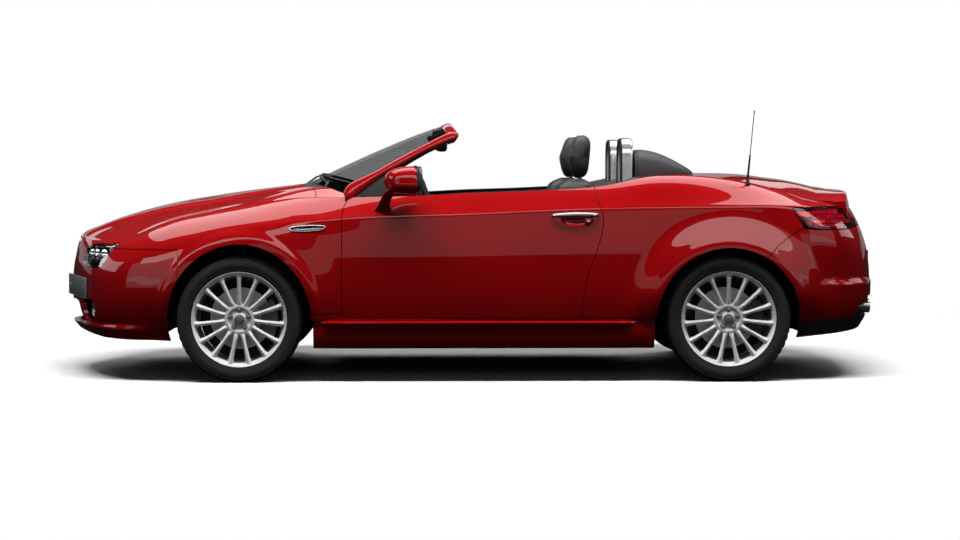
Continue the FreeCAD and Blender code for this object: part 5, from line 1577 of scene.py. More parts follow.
def shield_and_grilles():
    # bright frame of the centre grille
    pts = []
    open_ = SHIELD[(SHIELD[:, 1] < .742)]
    for y, z in open_:
        p, n = hit("front", y, min(z, .728))
        if p is not None:
            pts.append(p + np.array([0.004, 0, 0]))
    pts = np.array(pts)
    frame_ = sweep("shield_frame", pts, [(-.0075, -.004), (-.006, .004), (0, .0085), (.006, .004), (.0075, -.004), (0, -.008)], [CHROME], up=(-1, 0, 0))
    # top bar under the bonnet's edge
    tp = []
    for y in np.linspace(-.166, .166, 15):
        p, _ = hit("front", y, .727)
        tp.append(p + np.array([.004, 0, 0]))
    top = sweep("shield_top", tp, [(-.0075, -.004), (-.006, .004), (0, .0080), (.006, .004), (.0075, -.004), (0, -.008)], [CHROME], up=(-1, 0, 0))
    join_parts = [frame_, top]
    # bars: three bright blades, honeycomb behind
    for k, z in enumerate((.700, .672, .644, .616, .588, .560, .532, .508)):
        w = np.interp(z, [.488, .500, .535, .600, .670, .716], [.06, .100, .126, .150, .166, .172]) - .006
        P = []
        for y in np.linspace(-w, w, 15):
            p, _ = hit("front", y, z)
            P.append(p + np.array([.016, 0, 0]))
        join_parts.append(sweep("bar", P, [(-.0035, -.010), (.0035, -.010), (.0025, .008), (0, .010), (-.0025, .008)], [CHROME if k % 2 == 0 else SATIN], up=(-1, 0, 0)))
    sh = join("grille_shield", join_parts)
    place(sh, "body", "chrome", "grille")
    # black backing with a hexagon mesh for all openings
    back = []
    O = offset_poly(SHIELD[(SHIELD[:, 1] < .745)], -.004)
    for (nm, outl, dep) in (("m0", O, .040), ("m1", offset_poly(GRILLE_LOW, -.004), .045), ("m2", offset_poly(GRILLE_SIDE, -.004), .050), ("m3", offset_poly([(-a, b) for a, b in GRILLE_SIDE], -.004), .050)):
        y0, y1 = outl[:, 0].min(), outl[:, 0].max()
        z0, z1 = outl[:, 1].min(), outl[:, 1].max()
        V, F = [], []
        cell = .0165
        nx = int((y1 - y0) / cell) + 2
        nz = int((z1 - z0) / (cell * .866)) + 2

        def inside(y, z):
            c = False
            n = len(outl)
            j = n - 1
            for i in range(n):
                if (outl[i][1] > z) != (outl[j][1] > z) and y < (outl[j][0] - outl[i][0]) * (z - outl[i][1]) / (outl[j][1] - outl[i][1]) + outl[i][0]:
                    c = not c
                j = i
            return c
        for r in range(nz):
            for q in range(nx):
                cy = y0 + (q + .5 * (r % 2)) * cell
                cz = z0 + r * cell * .866
                if not inside(cy, cz):
                    continue
                p, _ = hit("front", cy, cz)
                if p is None:
                    continue
                b = len(V)
                for rad, dx in ((cell * .577, dep), (cell * .455, dep), (cell * .455, dep + .010)):
                    for a in range(6):
                        an = math.radians(30 + 60 * a)
                        V.append((p[0] + dx, cy + rad * math.cos(an), cz + rad * math.sin(an)))
                for a in range(6):
                    a2 = (a + 1) % 6
                    F.append((b + a, b + a2, b + 6 + a2, b + 6 + a))
                    F.append((b + 6 + a, b + 6 + a2, b + 12 + a2, b + 12 + a))
        back.append(new_obj(nm, V, F, [TRIM], False))
    # solid black surround behind each opening
    for (outl, lo, hi, d) in ((offset_poly(SHIELD[(SHIELD[:, 1] < .745)], -.02), -2.3, -2.0, .10), (offset_poly(GRILLE_LOW, -.03), -2.3, -1.85, .10)):
        t1 = t_at(-2.0)
        back.append(skin_piece("bk", outl, "x", lo, hi, d, d + .003, [LINER], None, (0.2, 4.0), 60, 50, wrap=(-t1, t1), normals=False))
    m = join("grille_mesh", back)
    place(m, "body", "dark_trim")
    # fog lamps at the corners
    for s in (1, -1):
        p, n = hit("front", s * .628, .362)
        c = p + np.array([.022, -s * .004, 0])
        f = lathe("fog", [(0, -.008), (.012, -.0075), (.024, -.005), (.0300, 0), (.0300, .012), (.0, .012)], 40, "x", (0, 0, 0), [LENS_CLEAR], closed=False)
        g = lathe("fogb", [(0, .024), (.018, .018), (.0285, .001), (.034, -.004), (.040, -.002), (.042, .010), (.038, .034), (0, .036)], 40, "x", (0, 0, 0), [SATIN], closed=False)
        h = lathe("fogc", [(.0, .010), (.007, .010), (.007, .022), (.0, .022)], 20, "x", (0, 0, 0), [MIRROR], closed=False)
        fo = join("foglamp_" + ("right" if s > 0 else "left"), [f, g, h])
        R = Matrix.Translation(Vector(c)) @ Matrix.Rotation(math.radians(-32 * s), 4, "Z")
        fo.data.transform(R)
        place(fo, "body", "headlamp")


def plates():
    # front: blank, with a holder, swung round with the bumper's curve
    c = np.array([-2.108, -.350, .470])
    M = Matrix.Translation(Vector(c)) @ Matrix.Rotation(math.radians(20), 4, "Z")
    lo, hi = cad("number_plates")
    obs = [rbox("pl", (0, 0, 0), (.0035, .518, .110), .0016, [PLATE]), rbox("ph", (.006, 0, 0), (.006, .524, .114), .002, [TRIM]),
           rbox("pr1", (-.0022, 0, .0525), (.0012, .510, .0022), .0004, [PLATE]), rbox("pr2", (-.0022, 0, -.0525), (.0012, .510, .0022), .0004, [PLATE]),
           rbox("pr3", (-.0022, .2565, 0), (.0012, .0022, .104), .0004, [PLATE]), rbox("pr4", (-.0022, -.2565, 0), (.0012, .0022, .104), .0004, [PLATE])]
    for y in (-.18, .18):
        obs.append(lathe("sc", [(0, -.0046), (.0035, -.0044), (.0046, -.0030), (.0046, 0), (0, 0)], 16, "x", (0, y, 0), [SATIN], closed=False))
        obs.append(rbox("br", (.022, y, 0), (.030, .028, .050), .003, [TRIM]))
    f = join("plate_front", obs)
    f.data.transform(M)
    place(f, "body", "plate", "number_plates")
    # rear
    c = np.array([2.1965, 0, .600])
    p, _ = hit("rear", 0, .60)
    obs = [rbox("pl", (.0, 0, 0), (.0035, .518, .110), .0016, [PLATE]), rbox("pr1", (.0022, 0, .0525), (.0012, .510, .0022), .0004, [PLATE]), rbox("pr2", (.0022, 0, -.0525), (.0012, .510, .0022), .0004, [PLATE]),
           rbox("ph", (-.005, 0, 0), (.006, .524, .114), .002, [TRIM])]
    for y in (-.18, .18):
        obs.append(lathe("sc", [(0, .0046), (.0035, .0044), (.0046, .0030), (.0046, 0), (0, 0)], 16, "x", (0, y, 0), [SATIN], closed=False))
        obs.append(rbox("br", (-.012, y, 0), (.016, .028, .050), .003, [TRIM]))
    r = join("plate_rear", obs)
    r.data.transform(Matrix.Translation(Vector((min(c[0] - .0030, float(p[0]) + .012), 0, .600))))
    place(r, "body", "plate")


LAMP_R = smooth_poly([(1.672, .897), (1.690, .866), (1.712, .836), (1.753, .803), (1.819, .790), (1.900, .788), (1.972, .791), (2.030, .800), (2.085, .812), (2.118, .830), (2.112, .870), (2.080, .898), (1.996, .899),
                      (1.830, .901), (1.720, .901)], 5, closed=True)


def tail_lamps():
    T0, T1 = t_at(1.62), 21.45
    cover = skin_piece("tail_cover", offset_poly(LAMP_R, .002), "y", .40, 1.0, -.0006, .0020, [LENS_TAIL], None, (2.0, 4.0), 90, 60, wrap=(T0, T1))
    back = skin_piece("tail_back", offset_poly(LAMP_R, .0015), "y", .40, 1.0, .016, .020, [LAMP_DARK], None, (2.0, 4.0), 60, 40, wrap=(T0, T1), normals=False)
    # dark rim band all round
    ring = skin_piece("tail_ring", offset_poly(LAMP_R, .0025), "y", .40, 1.0, .0022, .0155, [LAMP_DARK], None, (2.0, 4.0), 90, 60, wrap=(T0, T1), normals=False)
    boolean(ring, prism("cut", offset_poly(LAMP_R, .009), .35, 1.05))
    cells = []
    # (outline in side view, finish)
    def cell(o, m, d0=.0035, d1=.014):
        c = skin_piece("cell", o, "y", .40, 1.0, d0, d1, [m], None, (2.0, 4.0), 110, 70, wrap=(T0, T1))
        cells.append(c)
    cell([(1.692, .878), (1.770, .881), (1.770, .853), (1.706, .858)], LAMP_ORANGE)
    cell([(1.775, .888), (1.860, .890), (1.860, .868), (1.775, .867)], LAMP_RED, .006, .014)
    cell([(1.864, .890), (1.936, .890), (1.936, .868), (1.864, .868)], LAMP_RED)
    cell([(1.775, .864), (1.830, .865), (1.830, .843), (1.775, .843)], LAMP_RED)
    cell([(1.834, .865), (1.915, .865), (1.915, .843), (1.834, .843)], LAMP_RED, .006, .014)
    cell([(1.919, .865), (1.968, .863), (1.975, .843), (1.919, .843)], LAMP_RED)
    cell([(1.780, .839), (1.848, .840), (1.848, .822), (1.780, .820)], LAMP_ORANGE)
    cell([(1.852, .840), (1.930, .840), (1.930, .820), (1.852, .822)], LAMP_RED, .006, .014)
    cell([(1.934, .840), (2.002, .838), (2.006, .820), (1.934, .820)], LAMP_RED)
    cell([(1.745, .833), (1.776, .838), (1.776, .806), (1.768, .808)], LAMP_RED, .006, .014)
    cell([(1.780, .816), (1.860, .818), (1.860, .800), (1.792, .801)], LAMP_RED)
    cell([(1.864, .818), (1.955, .816), (1.955, .799), (1.864, .800)], LAMP_RED, .006, .014)
    cell([(2.022, .885), (2.049, .886), (2.066, .850), (2.042, .846)], LAMP_ORANGE)
    inner = join("tail_inner", [back, ring] + cells)
    LW = offset_poly(LAMP_R, .0026)
    LW[:, 0] = np.minimum(LW[:, 0], 2.052)
    wall = rim_wall("tail_wall", LW, "y", .002, .026, [LAMP_DARK])
    inner = join("tail_lamp_inner", [inner, wall])
    cover.name = "tail_lamp_cover_right"
    c2 = mirrored(cover, "tail_lamp_cover_left")
    i2 = mirrored(inner, "tail_lamp_inner_left")
    inner.name = "tail_lamp_inner_right"
    place(inner, "body", "tail_lamp", "tail_lamps")
    place(i2, "body", "tail_lamp")
    place(cover, "body", "tail_lamp")
    place(c2, "body", "tail_lamp")

# ------------------------------------------------------------------ windscreen, its frame, wipers, mirrors, handles
#        x      half-w  z      bow   drop       (middle of the glass; at the edge it lies bow further back and drop lower)
GLASS_ROWS = np.array([(-.866, .700, 1.030, .235, .074), (-.690, .672, 1.113, .205, .062), (-.500, .632, 1.199, .165, .052), (-.300, .585, 1.282, .125, .044), (-.165, .545, 1.330, .070, .042),
                       (-.095, .520, 1.351, .045, .045)])
#                xu     zu     xl     zl    y
PILLAR = np.array([(-.655, .975, -.640, .946, .792), (-.625, 1.022, -.600, .952, .768), (-.545, 1.062, -.525, 1.008, .738), (-.466, 1.102, -.452, 1.062, .712), (-.360, 1.163, -.345, 1.120, .674),
                   (-.239, 1.2266, -.226, 1.1860, .632), (-.150, 1.2730, -.140, 1.2230, .600), (-.108, 1.2910, -.098, 1.2400, .584), (-.074, 1.2970, -.070, 1.2490, .573),
                   (-.054, 1.2920, -.058, 1.2600, .564)])


def curveN(tab, u):
    """Smooth interpolation of a table's rows, u from 0 to 1."""
    P = smooth_poly(tab, 16)
    f = u * (len(P) - 1)
    i = min(int(f), len(P) - 2)
    return P[i] * (1 - (f - i)) + P[i + 1] * (f - i)


def glass_point(u, s):
    x, w, z, bow, drop = curveN(GLASS_ROWS, u)
    k = abs(s) ** 2.1
    return np.array([x + bow * k, w * s, z - drop * k])


def windscreen():
    nu, ns = 40, 48
    G = np.array([[glass_point(u, s) for s in np.linspace(-1, 1, ns)] for u in np.linspace(0, .86, nu)])
    du, dv = np.gradient(G, axis=0), np.gradient(G, axis=1)
    n = np.cross(du, dv)
    n /= np.linalg.norm(n, axis=-1, keepdims=True)
    if n[nu // 2, ns // 2, 2] < 0:
        n = -n
    V, F = shell("g", G, G - n * .005)
    gl = recalc(new_obj("windscreen", V, F, [GLASS]))
    R = surface_ref(G)
    sharp(gl, 40)
    place(gl, "body", "glass", "windscreen_glass")
    # black printed border, just inside
    def border(u0, u1, s0, s1, name):
        U = np.linspace(u0, u1, 14 if u1 - u0 < .5 else 60)
        S = np.linspace(s0, s1, 60 if s1 - s0 > 1 else 10)
        A = np.array([[glass_point(u, s) for s in S] for u in U])
        q = np.cross(np.gradient(A, axis=0), np.gradient(A, axis=1))
        q /= np.linalg.norm(q, axis=-1, keepdims=True)
        if q[0, 0, 2] < 0:
            q = -q
        V, F = shell(name, A - q * .0056, A - q * .0068)
        return recalc(new_obj(name, V, F, [TRIM_GLOSS]))
    bs = [border(.0, .075, -1, 1, "b"), border(.0, .86, -1, -.955, "b"), border(.0, .86, .955, 1, "b"), border(.815, .86, -1, 1, "b"),
          border(.74, .83, -.13, .13, "b")]
    # sensor pod behind the mirror
    c = glass_point(.79, 0)
    pod = rbox("pod", (0, 0, 0), (.075, .070, .022), .009, [TRIM])
    pod.data.transform(Matrix.Translation(Vector(c) + Vector((.012, 0, -.020))) @ Matrix.Rotation(math.radians(-22), 4, "Y"))
    bo = join("screen_border", bs + [pod])
    place(bo, "body", "dark_trim")

    # frame: pillars and header in body colour, lofted from one side over to the other
    def pillar_ring(y_sign, u):
        xu, zu, xl, zl, y = curveN(PILLAR, u)
        a = np.array([xu, y, zu])           # upper outer edge, by the glass
        b = np.array([xl, y + .012, zl])    # lower outer edge
        w = .040 + .012 * (1 - u)
        d = b - a
        d /= np.linalg.norm(d)
        nn = np.array([-.25, .92, .30]); nn /= np.linalg.norm(nn)
        e = np.array([.012, -.030, -.006])
        pts = [a + np.array([0, -.006, -.002]), a + nn * .004, a * .75 + b * .25 + nn * .011, a * .5 + b * .5 + nn * .014, a * .25 + b * .75 + nn * .011, b + nn * .003, b + np.array([.002, -.012, .004]),
               b * .7 + a * .3 + np.array([.014 * (1 - u), -w, .004]), a * .6 + b * .4 + np.array([.014 * (1 - u), -w, .004]), a + np.array([.010, -.020, -.014])]
        P = np.array(pts)
        P[:, 1] *= y_sign
        return P
    rings = []
    for u in np.linspace(0.0, 1.0, 34):
        rings.append(pillar_ring(-1, u))
    # header, its ends let into the pillars
    hdr = []
    for s in np.linspace(-1, 1, 41):
        kk = abs(s) ** 2.1
        y = .556 * s
        F = np.array([-.148 + .037 * kk, y, 1.3350 - .0455 * kk])
        R = np.array([-.094 + .042 * kk, y, 1.3520 - .0640 * kk])
        e = lambda t, dx, dz: F * (1 - t) + R * t + np.array([dx, 0, dz])
        hdr.append([e(0, -.003, -.003), e(0, .004, .0040), e(.38, 0, .0062), e(.72, 0, .0060), e(1, -.001, .0015), e(1, .0035, -.011), e(1, .001, -.027), e(.74, 0, -.036),
                    e(.35, 0, -.030), e(0, .003, -.014)])
    parts = [loft("pl", rings, [PAINT]), loft("pr", [r * np.array([1, -1, 1]) for r in rings], [PAINT]), loft("hd", hdr, [PAINT])]
    fr = join("screen_frame", parts)
    subsurf(fr, 1)
    fr.data.polygons.foreach_set("use_smooth", [True] * len(fr.data.polygons))
    sharp(fr, 50)
    place(fr, "body", "body_paint", "windscreen_frame")
    # seal along the inner edge
    P = [glass_point(u, -1) + np.array([.006, -.006, -.010]) for u in np.linspace(.02, .80, 30)]
    seals = [sweep("s", P, ellipse_sec(.009, .007, 10), [SEAL])]
    P = [glass_point(u, 1) + np.array([.006, .006, -.010]) for u in np.linspace(.02, .80, 30)]
    seals.append(sweep("s", P, ellipse_sec(.009, .007, 10), [SEAL]))
    # sun visors folded up under the header
    for sy in (-1, 1):
        v = rbox("visor", (0, 0, 0), (.110, .250, .014), .006, [TRIM])
        v.data.transform(Matrix.Translation((-.170, sy * .235, 1.284)) @ Matrix.Rotation(math.radians(-24), 4, "Y") @ Matrix.Rotation(math.radians(-3 * sy), 4, "X"))
        seals.append(v)
    # roof latch sockets
    for sy in (-1, 1):
        seals.append(rbox("latch", (-.112, sy * .30, 1.288), (.018, .040, .014), .004, [SATIN]))
    tr = join("screen_seals", seals)
    place(tr, "body", "dark_trim")
    # interior mirror
    c = glass_point(.76, 0)
    stem = tube("stem", [tuple(c + np.array([.006, 0, -.010])), tuple(c + np.array([.050, 0, -.022])), (-.128, 0, 1.262)], .008, 12, [TRIM])
    sec = superellipse(.125, .033, 3.6, 40)
    shell_ = loft("ms", [[(-.128 - dx, a * k, 1.232 + b * k) for a, b in sec] for dx, k in ((.030, .30), (.026, .62), (.016, .90), (.002, 1.0), (-.006, .99), (-.008, .95))], [TRIM])
    sharp(shell_, 50)
    gl2 = loft("mg", [[(-.1215 + dx, a * .93, 1.232 + b * .90) for a, b in sec] for dx in (0, .0026)], [MIRROR])
    m = join("interior_mirror", [stem, shell_, gl2])
    m.data.transform(Matrix.Translation((-.132, 0, 1.228)) @ Matrix.Rotation(math.radians(10), 4, "Z") @ Matrix.Translation((.12, 0, -1.232)))
    place(m, "body", "dark_trim")


def cowl_and_wipers():
    # scuttle panel between bonnet and screen: follows the bonnet's rear edge and the glass's foot
    n = 81
    A, B, C, D = [], [], [], []
    RE = smooth_poly(RED_EDGE, 6)
    for s in np.linspace(-1, 1, n):
        y = .742 * s
        xb = float(np.interp(abs(y), RE[:, 1], RE[:, 0])) + .004
        zb = float(deck_z(np.array(xb - .006), np.array(y), BONNET_LINE, 2.2, bonnet_extra)) - .006
        sg = min(abs(y) / .690, 1.0)
        g = glass_point(.030, math.copysign(sg, s))
        if abs(y) > .69:
            g = g + np.array([.010, y - math.copysign(.69, y), -.006])
        A.append((xb, y, zb - .030)); B.append((xb, y, zb)); C.append((g[0] * .5 + xb * .5, (g[1] + y) / 2, zb * .45 + g[2] * .55 - .014)); D.append((g[0], g[1], g[2] - .0068))
    G = np.array([A, B, C, D])
    V, F = shell("cowl", G, G - np.array([0, 0, .006]))
    cw = recalc(new_obj("cowl_panel", V, F, [TRIM]))
    subsurf(cw, 1)
    sharp(cw, 40)
    # loop over the air intake's slot positions; it makes no slots
    slots = []
    for k in range(26):
        y = .12 + .40 * k / 25
        for s in (-1, 1):
            pass
    place(cw, "body", "dark_trim")
    parts = []
    for (y0, y1, yb0, yb1) in ((-.500, .020, -.330, .210), (-.030, .470, .140, .560)):
        piv = glass_point(.0, y0 / .70) + np.array([-.030, 0, -.026])
        P = [piv, piv + np.array([.004, .02, .012])]
        for t in np.linspace(.12, 1, 22):
            y = y0 + (y1 - y0) * t
            g = glass_point(.030 + .045 * t, y / .69)
            P.append(g + np.array([-.006, 0, .008 + .006 * math.sin(math.pi * t)]))
        parts.append(sweep("arm", smooth_poly(P, 3), [(-.008, -.003), (.008, -.003), (.006, .004), (-.006, .004)], [TRIM], scale=lambda t: 1.0 - .45 * t))
        hub = lathe("hub", [(0, .016), (.010, .015), (.014, .011), (.016, .002), (.016, -.020), (0, -.020)], 24, "z", tuple(piv), [TRIM], closed=False)
        parts.append(hub)
        Q = []
        for y in np.linspace(yb0, yb1, 24):
            g = glass_point(.078, y / .69)
            Q.append(g + np.array([-.003, 0, .006]))
        parts.append(sweep("blade", Q, [(-.004, -.006), (.004, -.006), (.006, .000), (.003, .009), (-.003, .009), (-.006, .000)], [SEAL]))
    w = join("wipers", parts)
    place(w, "body", "dark_trim")


def mirrors():
    # door mirror, right side: body-coloured shell on a leaning foot
    sec = superellipse(1.0, 1.0, 3.0, 36)
    #      x      yc     zc     hy     hz    (front to back)
    st = [(-.440, .958, 1.030, .018, .020), (-.434, .958, 1.032, .046, .034), (-.420, .959, 1.036, .068, .050), (-.395, .960, 1.040, .085, .061), (-.360, .961, 1.043, .094, .0685), (-.320, .961, 1.044, .0965, .0715),
          (-.292, .961, 1.044, .0965, .0720), (-.276, .961, 1.044, .0945, .0700)]
    rings = []
    for x, yc, zc, hy, hz in st:
        ring = []
        for a, b in sec:
            yy = yc + hy * a * (1 - .10 * b)
            zz = zc + hz * b
            # the lower inner corner is cut away towards the foot
            ring.append((x + .018 * (a + 1) * .5 - .006 * b, yy, zz))
        rings.append(ring)
    body = loft("mirror_shell", rings, [PAINT, TRIM])
    subsurf(body, 1)
    body.data.polygons.foreach_set("use_smooth", [True] * len(body.data.polygons))
    sharp(body, 50)
    # black ring and the glass at the back
    yc, zc, hy, hz = .961, 1.044, .0905, .0660
    gl = loft("mirror_glass", [[(-.2748 + .018 * (a + 1) * .5 - .006 * b + d, yc + hy * a * (1 - .10 * b) * k, zc + hz * b * k) for a, b in sec] for d, k in ((-.002, .98), (.0004, .98), (.0008, .94))], [MIRROR])
    rg = loft("mirror_ring", [[(-.2756 + .018 * (a + 1) * .5 - .006 * b + d, yc + .0945 * a * (1 - .10 * b) * k, zc + .0700 * b * k) for a, b in sec] for d, k in ((0, 1.0), (.0022, .995), (.0022, .955), (-.006, .945))], [TRIM], caps=False)
    # foot: from the door's shoulder up and out to the shell
    foot_s = superellipse(1, 1, 2.6, 24)
    rings = []
    p0, _ = hit("y", -.450, .900)
    for x, y, z, hx, hy in ((-.452, float(p0[1]) - .012, .880, .046, .018), (-.450, float(p0[1]) + .000, .896, .042, .022), (-.440, .872, .925, .034, .021), (-.424, .893, .955, .031, .020),
                            (-.406, .908, .982, .036, .022), (-.388, .922, 1.002, .046, .028)):
        rings.append([(x + hx * a, y + hy * b, z + .25 * hx * a) for a, b in foot_s])
    foot = loft("mirror_foot", rings, [PAINT])
    subsurf(foot, 1)
    foot.data.polygons.foreach_set("use_smooth", [True] * len(foot.data.polygons))
    m = join("mirror", [body, gl, rg, foot])
    both(m, "door_mirror", "door_right", "door_left", "body_paint", ("mirror_right", "mirror_left"))
    # black triangle behind the pillar
    tri = []
    T = [(-.612, .958), (-.500, .9635), (-.400, .9680), (-.412, 1.020), (-.424, 1.070), (-.436, 1.082), (-.465, 1.066), (-.540, 1.010), (-.585, .978)]
    A = []
    P = smooth_poly(T[:3], 3).tolist() + T[3:]
    ring = []
    for x, z in P:
        ye = float(top_edge(np.array(x))[0])
        ring.append((x, ye - .014 - .62 * max(z - .965, 0), z - .003))
    nn = len(ring)
    V = ring + [(x, y - .012, z) for x, y, z in ring]
    F = [tuple(range(nn)), tuple(range(2 * nn - 1, nn - 1, -1))] + [(i, i + nn, (i + 1) % nn + nn, (i + 1) % nn) for i in range(nn)]
    t = recalc(new_obj("mirror_triangle", V, F, [TRIM], False))
    bevel(t, .003, 2, 40)
    both(t, "door_corner_trim", "door_right", "door_left", "dark_trim")


def handles_and_vents():
    # door handle: a bowed bright bar over a dished recess
    x0, x1 = .424, .664
    P = []
    for t in np.linspace(0, 1, 26):
        x = x0 + (x1 - x0) * t
        z = .8600 + .0035 * math.sin(math.pi * t) + .004 * t
        p, n = hit("y", x, z)
        P.append(np.array([x, min(p[1] + .003 + .022 * math.sin(math.pi * t) ** .45, .930), z]))
    sec = superellipse(.0125, .0065, 2.6, 16)
    bar = sweep("handle", P, sec, [CHROME], scale=lambda t: .55 + .45 * math.sin(math.pi * min(max(t, .02), .98)) ** .35, up=(0, 1, 0))
    # dished recess behind it, with the lock's block
    # a shallow bowl that closes the recess
    D = HANDLE_DISH
    c = D.mean(0)
    rings = []
    for k, dep in ((1.0, .0005), (.97, .007), (.88, .014), (.70, .0185), (.40, .0205), (.05, .021)):
        ring = []
        for x, z in D:
            xx, zz = c[0] + (x - c[0]) * k, c[1] + (z - c[1]) * k
            p, n = hit("y", xx, zz)
            ring.append(p - np.array([0, dep, 0]))
        rings.append(ring)
    bowl = loft("bowl", rings, [PAINT], caps=False)
    so = bowl.modifiers.new("s", "SOLIDIFY"); so.thickness = .0015; so.offset = -1
    apply_mods(bowl)
    sharp(bowl, 60)
    lockp, n = hit("y", .612, .828)
    lb = rbox("lockblock", (.612, lockp[1] - .008, .832), (.034, .022, .030), .005, [PAINT])
    lk = lathe("lock", [(0, .0040), (.006, .0040), (.0085, .0025), (.0095, 0), (.0095, -.004), (0, -.004)], 24, "y", (.612, lockp[1] + .002, .830), [SATIN], closed=False)
    h = join("door_handle", [bar, bowl, lb, lk])
    both(h, "door_handle", "door_right", "door_left", "chrome")
    # side vent: bright frame round a dark slot
    out = VENT
    P = []
    for x, z in out:
        p, n = hit("y", x, z)
        P.append(p + n * .0005)
    fr = sweep("vent_frame", P, ellipse_sec(.0035, .0035, 10), [CHROME], closed=True, up=(0, 1, 0))
    tt = (t_at(-.945), t_at(-.72))
    back = skin_piece("vb", offset_poly(out, -.001), "y", .80, 1.0, .012, .016, [TRIM], None, (2.2, 3.6), 40, 40, wrap=tt, normals=False)
    fins = []
    for z in (.7905, .7980):
        Q = []
        for x in np.linspace(-.905, -.758, 20):
            p, n = hit("y", x, z + .012 * (x + .83))
            Q.append(p - n * .006)
        fins.append(sweep("fin", Q, [(-.004, -.0012), (.004, -.0012), (.004, .0012), (-.004, .0012)], [SATIN], up=(0, 0, 1)))
    # bright lower blade of the vent
    Q = []
    for x in np.linspace(-.912, -.750, 24):
        t = (x + .912) / .162
        z = .7850 + .010 * t - .0015 * math.sin(math.pi * t)
        p, n = hit("y", x, z)
        Q.append(p + n * .0022)
    fins.append(sweep("blade", Q, ellipse_sec(.0022, .0065, 12), [CHROME], up=(0, 0, 1), scale=lambda t: .35 + .65 * math.sin(math.pi * min(max(t, .03), .97)) ** .5))
    v = join("side_vent", [fr, back] + fins)
    both(v, "side_vent", "body", "body", "chrome")

# ------------------------------------------------------------------ hoops, fairings, aerial, exhaust
def hoops_and_fairings():
    parts = []
    for s in (-1, 1):
        yc = s * SEAT_Y
        # arch path in the y-z plane
        w, ztop, zb = .136, 1.254, .990
        P = []
        for a in np.linspace(0, 1, 41):
            th = math.pi * a
            c, q = math.cos(th), math.sin(th)
            P.append((.845, yc + w * math.copysign(abs(c) ** .55, c), 1.135 + (ztop - 1.135) * abs(q) ** .62))
        P = [(.845, yc + w, z) for z in np.linspace(zb, 1.125, 9)] + P + [(.845, yc - w, z) for z in np.linspace(1.125, zb, 9)]
        P = np.array(P)
        U = np.array([(1.0, 0, 0)] * len(P))
        sec = superellipse(.0145, .0320, 3.4, 28)
        hoop = sweep("hoop", P, sec, [HOOP_MAT, TRIM], up=(1, 0, 0))
        # front face black, the band behind it bright
        for p in hoop.data.polygons:
            if p.center[0] < .8225:
                p.material_index = 1
        sharp(hoop, 45)
        parts.append(hoop)
        # inner pad between the legs
        sec2 = superellipse(.118, .118, 3.2, 36)
        pad = loft("pad", [[(x, yc + a * k, 1.105 + b * k) for a, b in sec2] for x, k in ((.829, .90), (.833, .985), (.845, 1.0), (.858, .985), (.862, .90))], [TRIM])
        sharp(pad, 50)
        boolean(pad, prism("cut", [(yc - .2, .5), (yc + .2, .5), (yc + .2, .99), (yc - .2, .99)], .7, 1.0, "x"))
        parts.append(pad)
    h = join("roll_hoops_skin", parts)
    place(h, "body", "chrome", "roll_hoops")
    # fairings: long tapering humps behind the hoops
    prof = np.array([(.888, .1700, 1.1985), (.905, .1700, 1.2035), (.935, .1690, 1.2045), (.985, .1650, 1.1965), (1.040, .1580, 1.1790), (1.095, .1480, 1.1540), (1.145, .1340, 1.1270), (1.185, .1100, 1.1030), (1.203, .080, 1.0890),
                     (1.209, .045, 1.0815)])
    fs = []
    for s in (-1, 1):
        yc = s * SEAT_Y
        rings = []
        for x, w, h_ in smooth_poly(prof, 3):
            ring = []
            for k in range(37):
                th = math.pi * k / 36
                c, q = math.cos(th), math.sin(th)
                y = yc + w * math.copysign(abs(c) ** .72, c)
                zb = float(deck_z(np.array(max(x, .906)), np.array(y), DECK_LINE)) - .003
                ring.append((x, y, zb + (h_ - zb) * abs(q) ** .80))
            for k in range(1, 12):
                y = yc - w + 2 * w * k / 12
                zb = float(deck_z(np.array(max(x, .906)), np.array(y), DECK_LINE)) - .003
                ring.append((x, y, zb))
            rings.append(ring)
        f = loft("fairing", rings, [COVER, SEAL])
        for p in f.data.polygons:
            if .896 < p.center[0] < .906:
                p.material_index = 1
        sharp(f, 50)
        fs.append(f)
    f = join("fairings", fs)
    place(f, "soft_top_cover", "cover", "headrest_fairings")


def tonneau_front_trim():
    """Dark moulding between the cockpit and the deck: shelf, swept corners by the quarters, and the part around the hoops."""
    # upper surface: from the seat-back shelf (x .70) to the cover (x .903)
    n = 81
    rows_ = []
    Y = np.linspace(-1, 1, n)
    for f in (0.0, .06, .25, .5, .75, .94, 1.0):
        r = []
        for s in Y:
            a = abs(s)
            x1 = .9025
            ye1, _ = top_edge(np.array(x1))
            # front edge bows forward at the corners, along the quarter's top
            x0 = .735 - .075 * smooth(.78, 1.0, a)
            x = x0 + (x1 - x0) * f
            ye, ze = top_edge(np.array(x))
            y = s * (float(ye) - .006)
            zc = .992 + (1.060 - .992) * smooth(.0, .9, f)
            zdeck = float(deck_z(np.array(max(x, .86)), np.array(y), DECK_LINE))
            z = min(zc, zdeck - .002) if f > .5 else zc
            z = zc * (1 - float(smooth(.80, 1.0, a))) + (float(ze) - .004) * float(smooth(.80, 1.0, a))
            if f == 0.0:
                z -= .050
            r.append((x, y, z))
        rows_.append(r)
    G = np.array(rows_)
    V, F = shell("tf", G, G - np.array([0, 0, .010]))
    o = recalc(new_obj("cockpit_rear_trim", V, F, [TRIM]))
    subsurf(o, 1)
    o.data.polygons.foreach_set("use_smooth", [True] * len(o.data.polygons))
    sharp(o, 45)
    for s in (-1, 1):
        pass
    place(o, "body", "dark_trim")


